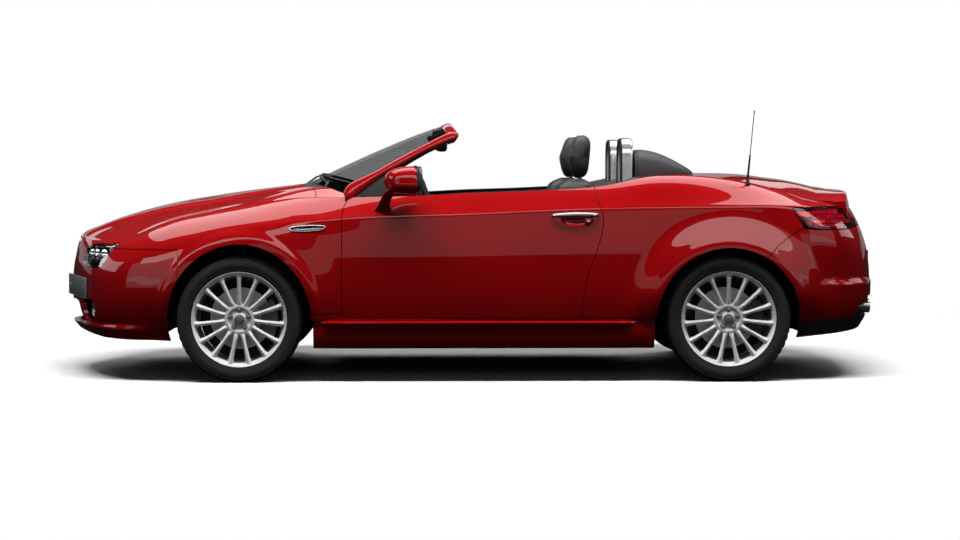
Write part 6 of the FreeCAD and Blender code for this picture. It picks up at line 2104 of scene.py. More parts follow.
def aerial():
    lo, hi = cad("antenna")
    x = float(lo[0]) + .014
    y = float((lo[1] + hi[1]) / 2)
    p, n = hit("z", x, y)
    z = float(p[2])
    base = lathe("ab", [(0, .030), (.0065, .029), (.0080, .022), (.0120, .010), (.0138, .003), (.0140, -.010), (0, -.010)], 32, "z", (x, y, z), [TRIM], closed=False)
    ztop = float(hi[2])
    xt = float(hi[0]) - .004
    d = np.array([xt - x, 0, ztop - z - .028])
    a0 = np.array([x, y, z + .024])
    low = tube("al", [tuple(a0 + d * t) for t in np.linspace(0, .36, 8)], .0058, 16, [SEAL], rfun=lambda t: .0064 - .0018 * t)
    rod = tube("ar", [tuple(a0 + d * t) for t in np.linspace(.34, .995, 16)], .0022, 12, [TRIM])
    # the rod's spiral wrap
    Q = []
    for t in np.linspace(.37, .98, 260):
        an = 2 * math.pi * 46 * t
        Q.append(a0 + d * t + np.array([math.cos(an), math.sin(an), 0]) * .0024)
    wrap_ = tube("aw", Q, .0007, 5, [TRIM])
    tip = lathe("at", [(0, .004), (.0028, .003), (.0032, 0), (.0030, -.010), (0, -.010)], 16, "z", tuple(a0 + d * .992), [SEAL], closed=False)
    o = join("aerial", [base, low, rod, wrap_, tip])
    place(o, "body", "dark_trim", "antenna")


def exhaust():
    lo, hi = cad("exhaust_system")
    parts = []
    for y in (-.545, -.465, .465, .545):
        prof = [(.0330, -.200), (.0365, -.200), (.0368, -.008), (.0372, -.002), (.0364, 0), (.0348, -.001), (.0340, -.006), (.0330, -.012)]
        t = lathe("tip", prof, 48, "x", (2.140, y, .371), [HOOP_MAT])
        inner = lathe("tin", [(0, -.120), (.0328, -.120), (.0332, -.012)], 40, "x", (2.140, y, .371), [DARK_STEEL], closed=False)
        t = join("tip", [t, inner])
        parts.append(t)
    box_ = loft("silencer", [[(x, a * k, .303 + b * k2) for a, b in superellipse(.56, .041, 5, 48)] for x, k, k2 in ((1.742, .96, .80), (1.750, .99, .97), (1.765, 1, 1), (1.915, 1, 1), (1.930, .99, .97), (1.938, .96, .80))], [STEEL])
    sharp(box_, 40)
    parts.append(box_)
    for y in (-.505, .505):
        P = [(1.925, y, .318), (1.960, y, .330), (1.985, y, .350), (2.010, y, .366)]
        for q in (-.040, .040):
            parts.append(tube("dn", smooth_poly([(1.925, y + q, .318), (1.950, y + q, .326), (1.972, y + q, .350), (1.990, y + q, .366), (2.02, y + q, .366)], 5), .0250, 18, [STEEL]))
    pipe = smooth_poly([(-.86, 0, .290), (-.50, 0, .288), (0, 0, .286), (.6, 0, .286), (1.2, 0, .286), (1.60, 0, .288), (1.745, 0, .300)], 6)
    parts.append(tube("pipe", pipe, .026, 20, [STEEL]))
    cat = loft("cat", [[(x, a * k, .294 + b * k) for a, b in superellipse(.062, .040, 2.6, 28)] for x, k in ((-.880, .45), (-.850, .92), (-.830, 1), (-.600, 1), (-.580, .92), (-.552, .45))], [STEEL])
    sharp(cat, 35)
    parts.append(cat)
    mid = loft("mid", [[(x, a * k, .290 + b * k) for a, b in superellipse(.090, .040, 2.8, 32)] for x, k in ((-.10, .35), (-.075, .92), (-.055, 1), (.33, 1), (.35, .92), (.375, .35))], [STEEL])
    sharp(mid, 35)
    parts.append(mid)
    for x in (-.70, .14, 1.3):
        parts.append(tube("hg", [(x, -.045, .325), (x, 0, .318), (x, .045, .325)], .006, 8, [DARK_STEEL]))
    for s in (-1, 1):
        parts.append(rbox("dark", (2.010, s * .505, .372), (.060, .235, .105), .006, [LINER]))
    e = join("exhaust_skin", parts)
    place(e, "body", "exhaust", "exhaust_system")

# ------------------------------------------------------------------ cabin
def bvh_of(ob):
    me = ob.data
    V = [v.co.copy() for v in me.vertices]
    return BVHTree.FromPolygons(V, [tuple(p.vertices) for p in me.polygons])


def drop(bvh, o, d, lift=0.0):
    loc, n, _, _ = bvh.ray_cast(Vector(o), Vector(d))
    if loc is None:
        return None
    return np.array(loc) - np.array(d) * lift


def puff(ob, voxel=.0075, pressure=4.0, cap=.024, frames=20, sub=0):
    """Blows a closed cushion up a little as cloth and keeps the result."""
    m = ob.modifiers.new("r", "REMESH")
    m.mode = "VOXEL"
    m.voxel_size = voxel
    m.use_smooth_shade = True
    apply_mods(ob)
    me = ob.data
    n = len(me.vertices)
    A = np.empty(n * 3); me.vertices.foreach_get("co", A); A = A.reshape(-1, 3)
    c = ob.modifiers.new("c", "CLOTH")
    s = c.settings
    s.quality = 4
    s.mass = .4
    s.use_pressure = True
    s.uniform_pressure_force = pressure
    s.tension_stiffness = 22
    s.compression_stiffness = 22
    s.shear_stiffness = 8
    s.bending_stiffness = .6
    s.effector_weights.gravity = 0.0
    c.collision_settings.use_collision = False
    c.collision_settings.use_self_collision = False
    c.point_cache.frame_start = 1
    c.point_cache.frame_end = frames
    for f in range(1, frames + 1):
        SCENE.frame_set(f)
    dg = bpy.context.evaluated_depsgraph_get()
    ev = ob.evaluated_get(dg)
    B = np.empty(n * 3); ev.data.vertices.foreach_get("co", B); B = B.reshape(-1, 3)
    ob.modifiers.clear()
    D = B - A
    L = np.linalg.norm(D, axis=1)
    L[~np.isfinite(L)] = 0
    D[~np.isfinite(D).all(1)] = 0
    k = np.where(L > cap, cap / np.maximum(L, 1e-9), 1.0)
    A = A + D * k[:, None]
    me.vertices.foreach_set("co", A.ravel())
    me.update()
    SCENE.frame_set(1)
    # even the faceting of the remesh out
    m = ob.modifiers.new("s", "SMOOTH")
    m.factor = .5
    m.iterations = 4
    apply_mods(ob)
    if sub:
        subsurf(ob, sub)
    ob.data.polygons.foreach_set("use_smooth", [True] * len(ob.data.polygons))
    return ob


def groove(ob, fn):
    """Moves each vertex along its normal by fn(position, normal)."""
    me = ob.data
    n = len(me.vertices)
    A = np.empty(n * 3); me.vertices.foreach_get("co", A); A = A.reshape(-1, 3)
    N = np.empty(n * 3); me.vertices.foreach_get("normal", N); N = N.reshape(-1, 3)
    A += N * fn(A, N)[:, None]
    me.vertices.foreach_set("co", A.ravel())
    me.update()
    return ob


def gauss(d, w):
    return np.exp(-(d / w) ** 2)


def seats():
    y0 = .405
    # base cushion: stations along x, built for the right seat around y0
    def cush_ring(x, w, zb, zt, bol):
        P = []
        for s in np.linspace(-1, 1, 25):
            a = abs(s)
            P.append((x, y0 + w * s, zt + bol * smooth(.52, .80, a) - .030 * smooth(.86, 1.0, a) - .006 * (1 - a)))
        for s in np.linspace(1, -1, 13)[1:-1]:
            P.append((x, y0 + (w - .012) * s, zb))
        return P
    st = [(-.046, .170, .335, .372, .010), (-.034, .200, .310, .405, .018), (.000, .215, .285, .432, .030), (.080, .222, .270, .440, .038), (.200, .224, .265, .428, .040), (.320, .224, .265, .412, .038), (.420, .220, .270, .402, .034),
          (.455, .205, .290, .392, .020)]
    base = loft("seat_cushion", [cush_ring(*r) for r in st], [LEATHER])
    # backrest: stations up its height; x of the front face in the middle, bolster forward, depth
    def back_ring(z, xf, xr, w, bol):
        P = []
        for s in np.linspace(-1, 1, 25):
            a = abs(s)
            P.append((xf - bol * smooth(.50, .80, a) + .034 * smooth(.88, 1.0, a) + .008 * (1 - a), y0 + w * s, z))
        for s in np.linspace(1, -1, 15)[1:-1]:
            P.append((xr - .030 * abs(s) ** 3, y0 + (w - .006) * s, z))
        return P
    bst = [(.436, .470, .600, .175, .010), (.452, .462, .615, .205, .030), (.500, .462, .640, .218, .045), (.600, .482, .655, .224, .056), (.720, .508, .668, .228, .058), (.840, .528, .676, .224, .052), (.920, .524, .676, .214, .056),
           (.970, .518, .670, .200, .058), (1.015, .520, .656, .180, .048), (1.046, .530, .642, .150, .030), (1.066, .548, .620, .110, .008)]
    back = loft("seat_back", [back_ring(*r) for r in bst], [LEATHER])
    # headrest
    sec = superellipse(1, 1, 2.9, 36)
    hst = [(.541, .066, .066), (.546, .092, .090), (.558, .112, .110), (.580, .120, .117), (.606, .118, .115), (.626, .104, .101), (.638, .076, .075)]
    head = loft("headrest", [[(x + .022 * b * (1 if b > 0 else -.4), y0 - .035 + hy * a * (1 - .10 * max(b, 0)), 1.167 + hz * b) for a, b in sec] for x, hy, hz in hst], [LEATHER])
    puff(base, .0080, cap=.022)
    puff(back, .0080, cap=.018)
    puff(head, .0065, cap=.012)
    W1 = .128
    gx = [.02, .085, .15, .215, .28, .345, .41]
    def f_base(A, N):
        y = np.abs(A[:, 1] - y0)
        up = np.clip(N[:, 2], 0, 1)
        ins = smooth(W1 + .004, W1 - .010, y)
        d = -.0075 * gauss(y - W1, .0075) * up
        for g in gx:
            d -= .0052 * gauss(A[:, 0] - g, .007) * ins * up * (A[:, 2] > .36)
        return d
    gz = [.56, .625, .69, .755, .82, .885]
    def f_back(A, N):
        y = np.abs(A[:, 1] - y0)
        fr = np.clip(-N[:, 0], 0, 1)
        hw = W1 - .03 * smooth(.80, 1.0, A[:, 2])
        ins = smooth(hw + .004, hw - .010, y) * (A[:, 2] < .94)
        d = -.0075 * gauss(y - hw, .0075) * fr * (A[:, 2] < .96)
        for g in gz:
            d -= .0052 * gauss(A[:, 2] - g, .007) * ins * fr
        d -= .0065 * gauss(A[:, 2] - .95, .0075) * smooth(hw + .02, hw, y) * fr
        return d
    def f_head(A, N):
        return -.004 * gauss(A[:, 0] - .606 - .25 * (A[:, 2] - 1.181) * 0, .005)
    groove(base, f_base); groove(back, f_back); groove(head, f_head)
    for o in (base, back):
        m = o.modifiers.new("d", "DECIMATE")
        m.ratio = .72
        apply_mods(o)
    # piping along the insert seams
    bb, bk = bvh_of(base), bvh_of(back)
    pip = []
    for s in (-1, 1):
        P = []
        for x in np.linspace(-.02, .40, 30):
            q = drop(bb, (x, y0 + s * W1, .8), (0, 0, -1), .0008)
            if q is not None:
                P.append(tuple(q))
        if len(P) > 4:
            pip.append(tube("pip", P, .0022, 8, [THREAD]))
        P = []
        for z in np.linspace(.50, .945, 30):
            hw = W1 - .03 * float(smooth(.80, 1.0, z))
            q = drop(bk, (-.2, y0 + s * hw, z), (1, 0, 0), .0008)
            if q is not None:
                P.append(tuple(q))
        if len(P) > 4:
            pip.append(tube("pip", P, .0022, 8, [THREAD]))
    P = []
    for y in np.linspace(-.098, .098, 16):
        q = drop(bk, (-.2, y0 + y, .950), (1, 0, 0), .0008)
        if q is not None:
            P.append(tuple(q))
    if len(P) > 4:
        pip.append(tube("pip", P, .0022, 8, [THREAD]))
    for o, nm in ((base, "seat_cushion"), (back, "seat_backrest"), (head, "seat_headrest")):
        r, l = both(o, nm, "body", "body", "seat")
    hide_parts("seat_cushion_right"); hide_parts("seat_cushion_left")
    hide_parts("seat_back_right"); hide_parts("seat_back_left")
    hard = pip
    # headrest posts and guides, rear shell, side shields, lever, rails
    for q in (-.055, .055):
        hard.append(tube("post", [(.606, y0 - .035 + q, 1.00), (.604, y0 - .035 + q, 1.13)], .0062, 14, [CHROME]))
        hard.append(lathe("guide", [(0, .010), (.010, .010), (.014, .004), (.014, -.006), (0, -.006)], 20, "z", (.605, y0 - .035 + q, 1.063), [TRIM], closed=False))
    sh = []
    for z, xf, xr, w, bol in bst[1:-2]:
        ring = []
        for s in np.linspace(-1, 1, 21):
            ring.append((xr - .030 * abs(s) ** 3 + .006, y0 + (w - .018) * s, z))
        for s in np.linspace(1, -1, 21):
            ring.append((xr - .030 * abs(s) ** 3 - .012, y0 + (w - .024) * s, z))
        sh.append(ring)
    shell_ = loft("shell", sh, [TRIM])
    sharp(shell_, 40)
    hard.append(shell_)
    for s in (-1, 1):
        P = smooth_poly([(-.01, .268), (.05, .250), (.42, .250), (.50, .290), (.520, .372), (.470, .388), (.30, .352), (.05, .345), (-.02, .330)], 4, closed=True)
        lo_, hi_ = sorted((y0 + s * .222, y0 + s * .238))
        v = prism("valance", P, lo_, hi_, "y")
        bevel(v, .004, 2, 40)
        hard.append(v)
        hard.append(rbox("rail", (.22, y0 + s * .175, .238), (.56, .034, .022), .004, [STEEL]))
        hard.append(rbox("rail2", (.22, y0 + s * .175, .253), (.40, .026, .014), .003, [DARK_STEEL]))
    hard.append(lathe("recline", [(0, .022), (.020, .022), (.026, .018), (.028, .004), (.030, 0), (0, 0)], 28, "y", (.455, y0 + .238, .335), [TRIM_GREY], closed=False))
    hard.append(rbox("lever", (.16, y0 + .243, .300), (.15, .012, .024), .005, [TRIM_GREY]))
    # buckle on its stalk, inboard
    hard.append(tube("stalk", [(.43, y0 - .242, .30), (.405, y0 - .244, .42)], .008, 10, [TRIM]))
    bk_ = rbox("buckle", (0, 0, 0), (.028, .024, .085), .005, [TRIM])
    # the button takes the red lamp finish and glows faintly: painted glow on a part that is no lamp
    bt = rbox("button", (0, 0, .040), (.020, .016, .010), .002, [LAMP_RED])
    bk_ = join("buckle", [bk_, bt])
    bk_.data.transform(Matrix.Translation((.400, y0 - .246, .455)) @ Matrix.Rotation(math.radians(-10), 4, "Y"))
    hard.append(bk_)
    h = join("seat_frame", hard)
    both(h, "seat_frame", "body", "body", "seat")


def belts():
    parts = []
    P = smooth_poly([(.742, .690, .972), (.700, .688, .930), (.640, .684, .780), (.560, .682, .520), (.500, .682, .330), (.498, .682, .262)], 8)
    b = sweep("belt", P, [(-.024, -.0008), (.024, -.0008), (.024, .0008), (-.024, .0008)], [FABRIC_BELT], up=(0, 1, 0))
    parts.append(b)
    parts.append(rbox("anchor", (.498, .684, .258), (.050, .014, .040), .003, [DARK_STEEL]))
    parts.append(rbox("guide", (.748, .688, .990), (.064, .030, .016), .005, [TRIM]))
    t = rbox("tongue", (0, 0, 0), (.052, .006, .046), .002, [SATIN])
    t.data.transform(Matrix.Translation((.600, .683, .640)) @ Matrix.Rotation(math.radians(-12), 4, "Y"))
    parts.append(t)
    parts.append(lathe("stop", [(0, .004), (.007, .003), (.008, 0), (.008, -.003), (0, -.003)], 20, "y", (.628, .680, .740), [TRIM], closed=False))
    o = join("seat_belt", parts)
    both(o, "seat_belt", "body", "body", "dark_trim")


DASH_PROF = np.array([(-.742, .600), (-.742, .800), (-.740, .888), (-.700, .908), (-.640, .926), (-.560, .934), (-.500, .931), (-.450, .918), (-.420, .900), (-.395, .868), (-.372, .826), (-.378, .812), (-.376, .770), (-.385, .710),
                      (-.410, .660), (-.445, .622), (-.520, .604)])


def dashboard():
    rings = []
    for y in np.linspace(-.724, .724, 97):
        P = DASH_PROF.copy()
        a = abs(y)
        hood = np.exp(-(abs((y + SEAT_Y) / .170)) ** 6)
        cen = np.exp(-(abs(y / .165)) ** 6)
        for i, (x, z) in enumerate(DASH_PROF):
            top = float(smooth(.86, .92, z))
            fwd = float(smooth(-.66, -.48, x))
            P[i, 1] += .030 * hood * top * fwd + .012 * cen * top * fwd
            P[i, 0] += .030 * hood * top * fwd * float(smooth(-.50, -.42, x))
            P[i, 0] += .018 * cen * float(smooth(-.60, -.42, x))
            P[i, 1] -= .018 * float(smooth(.60, .724, a)) * top
        rings.append([(x, y, z) for x, z in P])
    o = loft("dash_pad", rings, [DASH, TRIM])
    subsurf(o, 1)
    o.data.polygons.foreach_set("use_smooth", [True] * len(o.data.polygons))
    sharp(o, 50)
    # instrument tunnels in front of the driver
    bvh = bvh_of(o)
    parts = []
    ax = Vector((.924, 0, .383)).normalized()
    def facing(ob, c, n=ax):
        q = n.to_track_quat("Z", "Y").to_matrix().to_4x4()
        ob.data.transform(Matrix.Translation(Vector(c)) @ q)
        return ob
    def on_dash(y, z):
        q = drop(bvh, (.2, y, z), (-1, 0, 0), 0)
        return q
    n1 = Vector((.90, 0, .43)).normalized()
    for dy in (-.078, .078):
        q = on_dash(-SEAT_Y + dy, .885)
        if q is None:
            q = np.array([-.40, -SEAT_Y + dy, .885])
        ringo = lathe("tun", [(.062, -.030), (.068, .006), (.066, .012), (.060, .014), (.055, .006), (.050, -.028)], 48, "z", (0, 0, 0), [TRIM])
        face = lathe("dial", [(0, -.020), (.052, -.020), (.052, -.026), (0, -.026)], 48, "z", (0, 0, 0), [DIAL], closed=False)
        rimc = lathe("drim", [(.0525, -.003), (.0525, .001), (.0505, .002), (.0500, -.003)], 48, "z", (0, 0, 0), [SATIN])
        g = [ringo, face, rimc]
        # ticks and needle
        for k in range(25):
            an = math.radians(-220 + 260 * k / 24)
            t = rbox("t", (0, 0, 0), (.006 if k % 3 else .009, .0012, .0006), .0002, [DIAL_MARK], seg=1)
            t.data.transform(Matrix.Rotation(an, 4, "Z") @ Matrix.Translation((.0440, 0, -.0196)))
            g.append(t)
        # the needle takes the red lamp finish and glows faintly: painted glow on a part that is no lamp
        nd = rbox("n", (0, 0, 0), (.040, .0016, .0008), .0003, [LAMP_RED], seg=1)
        nd.data.transform(Matrix.Rotation(math.radians(200), 4, "Z") @ Matrix.Translation((.018, 0, -.0175)))
        hub = lathe("h", [(0, -.012), (.0065, -.0125), (.0070, -.020), (0, -.020)], 20, "z", (0, 0, 0), [TRIM], closed=False)
        g += [nd, hub]
        u = join("gauge", g)
        facing(u, q + np.array([.004, 0, .002]), n1)
        parts.append(u)
    # three small dials in the middle, angled to the driver
    n2 = Vector((.93, -.16, .33)).normalized()
    for k, dy in enumerate((-.088, 0, .088)):
        q = on_dash(dy, .872)
        if q is None:
            continue
        ringo = lathe("tun", [(.036, -.020), (.040, .004), (.038, .008), (.034, .006), (.031, -.018)], 36, "z", (0, 0, 0), [TRIM])
        face = lathe("dial", [(0, -.012), (.0325, -.012), (.0325, -.018), (0, -.018)], 32, "z", (0, 0, 0), [DIAL], closed=False)
        rimc = lathe("drim", [(.0330, .000), (.0330, .0045), (.0312, .005), (.0305, .000)], 36, "z", (0, 0, 0), [SATIN])
        g = [ringo, face, rimc]
        for j in range(9):
            an = math.radians(-210 + 240 * j / 8)
            t = rbox("t", (0, 0, 0), (.005, .0010, .0006), .0002, [DIAL_MARK], seg=1)
            t.data.transform(Matrix.Rotation(an, 4, "Z") @ Matrix.Translation((.0265, 0, -.0117)))
            g.append(t)
        # the needle takes the red lamp finish and glows faintly: painted glow on a part that is no lamp
        nd = rbox("n", (0, 0, 0), (.022, .0013, .0008), .0003, [LAMP_RED], seg=1)
        nd.data.transform(Matrix.Rotation(math.radians(150 + 30 * k), 4, "Z") @ Matrix.Translation((.010, 0, -.0105)))
        g.append(nd)
        u = join("gauge_s", g)
        facing(u, q + np.array([.004, 0, 0]), n2)
        parts.append(u)
    # round air vents at the two ends
    def vent(y, z, r, n):
        q = on_dash(y, z)
        if q is None:
            return
        ringo = lathe("vr", [(r - .007, -.016), (r - .004, .002), (r, .006), (r + .004, .003), (r + .005, -.006), (r + .003, -.016)], 40, "z", (0, 0, 0), [SATIN])
        bk = lathe("vb", [(0, -.014), (r - .004, -.014), (r - .004, -.018), (0, -.018)], 32, "z", (0, 0, 0), [TRIM], closed=False)
        g = [ringo, bk]
        for t in np.linspace(-.66, .66, 5):
            w = 2 * (r - .008) * math.sqrt(1 - t * t)
            g.append(rbox("sl", (0, t * (r - .006), -.004), (w, .0025, .010), .0008, [TRIM], seg=1))
        g.append(rbox("sl", (0, 0, .001), (.010, .012, .008), .002, [TRIM_GREY], seg=2))
        u = join("vent", g)
        facing(u, q + np.array([.003, 0, 0]), Vector(n).normalized())
        parts.append(u)
    vent(-.640, .862, .040, (.93, .20, .30))
    vent(.640, .862, .040, (.93, -.20, .30))
    # centre stack: brushed panel with radio, knobs and switches
    cs = []
    P0, P1 = np.array([-.366, 0, .828]), np.array([-.372, 0, .640])
    Pn = [(-.372, .640), (-.352, .645), (-.340, .700), (-.338, .790), (-.346, .826), (-.372, .832)]
    stack = prism("stack", Pn, -.112, .112, "y")
    bevel(stack, .006, 3, 30)
    stack.data.materials.clear(); stack.data.materials.append(BRUSHED)
    cs.append(stack)
    cs.append(rbox("radio", (-.3375, 0, .772), (.006, .178, .060), .002, [TRIM_GLOSS]))
    cs.append(rbox("slot", (-.3340, 0, .792), (.003, .120, .004), .0008, [TRIM]))
    for y in (-.074, .074):
        cs.append(lathe("kn", [(0, .014), (.010, .014), (.0125, .012), (.013, .002), (.014, 0), (0, 0)], 28, "x", (-.3350, y, .770), [SATIN], closed=False))
    for k in range(6):
        cs.append(rbox("bt", (-.3335, -.045 + .018 * k, .757), (.003, .014, .009), .001, [TRIM], seg=2))
    for k, y in enumerate((-.072, 0, .072)):
        cs.append(lathe("kc", [(0, .016), (.018, .016), (.0205, .014), (.0215, .003), (.024, .001), (.024, -.004), (0, -.004)], 36, "x", (-.3385, y, .700), [TRIM], closed=False))
        cs.append(lathe("kr", [(.0225, .0010), (.0260, .0010), (.0262, .0035), (.0230, .0040)], 36, "x", (-.3400, y, .700), [SATIN]))
    for k in range(5):
        cs.append(rbox("sw", (-.3420, -.062 + .031 * k, .660), (.006, .026, .014), .002, [TRIM], seg=2))
    for y in (-.060, .060):
        q = on_dash(y, .905)
    parts += cs
    # glove box and its latch, and the lower knee panel
    gb = rbox("glove", (-.391, .420, .725), (.022, .360, .120), .007, [DASH])
    gb.data.transform(Matrix.Translation((-.391, .42, .725)) @ Matrix.Rotation(math.radians(-8), 4, "Y") @ Matrix.Translation((.391, -.42, -.725)))
    parts.append(gb)
    parts.append(rbox("latch", (-.374, .420, .768), (.008, .060, .014), .003, [SATIN]))
    lo_ = rbox("knee", (-.400, -.420, .690), (.020, .40, .080), .007, [DASH])
    lo_.data.transform(Matrix.Translation((-.40, -.42, .69)) @ Matrix.Rotation(math.radians(-14), 4, "Y") @ Matrix.Translation((.40, .42, -.69)))
    parts.append(lo_)
    # a bright strip across the passenger's side
    Q = []
    for y in np.linspace(.150, .660, 30):
        q = on_dash(y, .832)
        if q is not None:
            Q.append(q + np.array([.001, 0, 0]))
    if len(Q) > 4:
        parts.append(sweep("strip", Q, [(-.008, -.002), (.008, -.002), (.007, .003), (-.007, .003)], [BRUSHED], up=(0, 0, 1)))
    # steering column shroud, stalks and key
    cax = np.array([.924, 0, .383])
    c0 = np.array([-.22, -SEAT_Y, .949])
    secs = superellipse(.040, .034, 3, 28)
    shr = loft("shroud", [[tuple(c0 - cax * d + np.array([-.383 * (b * k + off), a * k, .924 * (b * k + off)])) for a, b in secs] for d, k, off in ((.200, 1.25, -.012), (.120, 1.05, -.004), (.060, .92, 0), (.046, .80, 0))], [TRIM])
    sharp(shr, 45)
    parts.append(shr)
    for s in (-1, 1):
        a0 = c0 - cax * .085
        P = [a0 + np.array([0, s * .03, .002]), a0 + np.array([.006, s * .075, .010]), a0 + np.array([.014, s * .125, .022])]
        parts.append(tube("stalk", smooth_poly(P, 4), .006, 12, [TRIM], rfun=lambda t: .0055 + .0035 * t))
    parts.append(lathe("key", [(0, .010), (.009, .009), (.012, .004), (.012, 0), (0, 0)], 20, "y", (-.335, -SEAT_Y + .045, .880), [SATIN], closed=False))
    # demister slots on the top
    for s in (-1, 1):
        parts.append(rbox("slot", (-.715, s * .30, .904), (.018, .46, .006), .002, [TRIM]))
    d = join("dashboard_skin", [o] + parts)
    place(d, "body", "dark_trim", "dashboard")
    # pedals
    ped = []
    for y, w, h, z in ((-.505, .060, .055, .335), (-.400, .075, .050, .345), (-.285, .045, .100, .330)):
        P = [(-.700, y, .560), (-.655, y, .470), (-.640, y, z + .02)]
        ped.append(sweep("arm", smooth_poly(P, 5), [(-.006, -.010), (.006, -.010), (.006, .010), (-.006, .010)], [DARK_STEEL], up=(0, 1, 0)))
        pd = rbox("pad", (0, 0, 0), (.012, w, h), .003, [RUBBER])
        pd.data.transform(Matrix.Translation((-.632, y, z)) @ Matrix.Rotation(math.radians(-28), 4, "Y"))
        ped.append(pd)
    p = join("pedals", ped)
    place(p, "body", "dark_trim")


def steering_wheel():
    g = []
    R = .168
    n = 128
    rings = []
    for i in range(n):
        a = 2 * math.pi * i / n
        c, s = math.cos(a), math.sin(a)
        # thicker at ten-to-two grips
        deg = math.degrees(math.atan2(s, c)) % 360
        grip = sum(math.exp(-((((deg - g0 + 180) % 360) - 180) / 9.0) ** 2) for g0 in (28, 152, 200, 340))
        rr = .0148 + .0022 * min(grip, 1)
        ring = []
        for k in range(20):
            b = 2 * math.pi * k / 20
            ring.append(((R + rr * math.cos(b)) * c, (R + rr * math.cos(b)) * s, rr * 1.08 * math.sin(b)))
        rings.append(ring)
    rings.append(rings[0])
    rim = loft("rim", rings, [LEATHER], caps=False)
    bm = bmesh.new(); bm.from_mesh(rim.data)
    bmesh.ops.remove_doubles(bm, verts=bm.verts, dist=1e-6)
    bmesh.ops.recalc_face_normals(bm, faces=bm.faces)
    bm.to_mesh(rim.data); bm.free()
    g.append(rim)
    # seams round the section where leather pieces meet
    for a in (45, 135, 225, 315):
        a = math.radians(a)
        P = [((R + .0166 * math.cos(b)) * math.cos(a), (R + .0166 * math.cos(b)) * math.sin(a), .0178 * math.sin(b)) for b in np.linspace(0, 2 * math.pi, 25)]
        g.append(tube("seam", P, .0010, 6, [THREAD]))
    # hub: rounded pad
    sec = superellipse(.072, .060, 2.7, 40)
    pad = loft("pad", [[(a * k, b * k - .004, z) for a, b in sec] for z, k in ((-.034, .86), (-.026, 1.0), (-.006, 1.0), (.002, .95), (.006, .80), (.0075, .5))], [TRIM_GREY])
    sharp(pad, 45)
    g.append(pad)
    g.append(lathe("ring", [(.0235, .0062), (.0265, .0075), (.0280, .0088), (.0265, .0098), (.0240, .0095)], 40, "z", (0, -.004, 0), [SATIN]))
    g.append(lathe("btn", [(0, .0100), (.0200, .0096), (.0236, .0078), (.0236, .0050), (0, .0050)], 36, "z", (0, -.004, 0), [TRIM], closed=False))
    # three spokes: each a tapering bar with a bright inlay
    for a, w in ((0, .024), (180, .024), (270, .030)):
        for k, (ww, z0, z1, m) in enumerate(((w, -.018, -.004, TRIM), (w * .46, -.005, -.0015, SATIN))):
            sp = loft("sp", [[(x, -ww * q, z0 + dz), (x, ww * q, z0 + dz), (x, ww * q * .86, z1 + dz), (x, -ww * q * .86, z1 + dz)] for x, q, dz in ((.050, 1.15, 0), (.080, .92, 0), (.120, .80, .002), (.150, .90, .004), (.160, 1.02, .005))], [m])
            bevel(sp, .0018, 2, 30)
            sp.data.transform(Matrix.Rotation(math.radians(a), 4, "Z"))
            g.append(sp)
    for s in (-1, 1):
        for k in range(3):
            g.append(rbox("b", (s * .085, -.010 + .010 * k, -.0035), (.016, .007, .005), .001, [TRIM_GLOSS], seg=2))
    g.append(lathe("boss", [(0, -.030), (.040, -.030), (.044, -.036), (.042, -.050), (0, -.050)], 32, "z", (0, 0, 0), [TRIM], closed=False))
    o = join("steering_wheel_skin", g)
    # local z -> towards the driver, local y -> up the wheel, local x -> the car's right seen from the driver (towards +Y)
    ax = Vector((.924, 0, .383)); up = Vector((-.383, 0, .924)); rt = Vector((0, 1, 0))
    M = Matrix((( rt.x, up.x, ax.x, -.22), (rt.y, up.y, ax.y, -SEAT_Y), (rt.z, up.z, ax.z, .949), (0, 0, 0, 1)))
    o.data.transform(M)
    if M.to_3x3().determinant() < 0:
        o.data.flip_normals()
    place(o, "steering_wheel", "dark_trim", "steering_wheel")


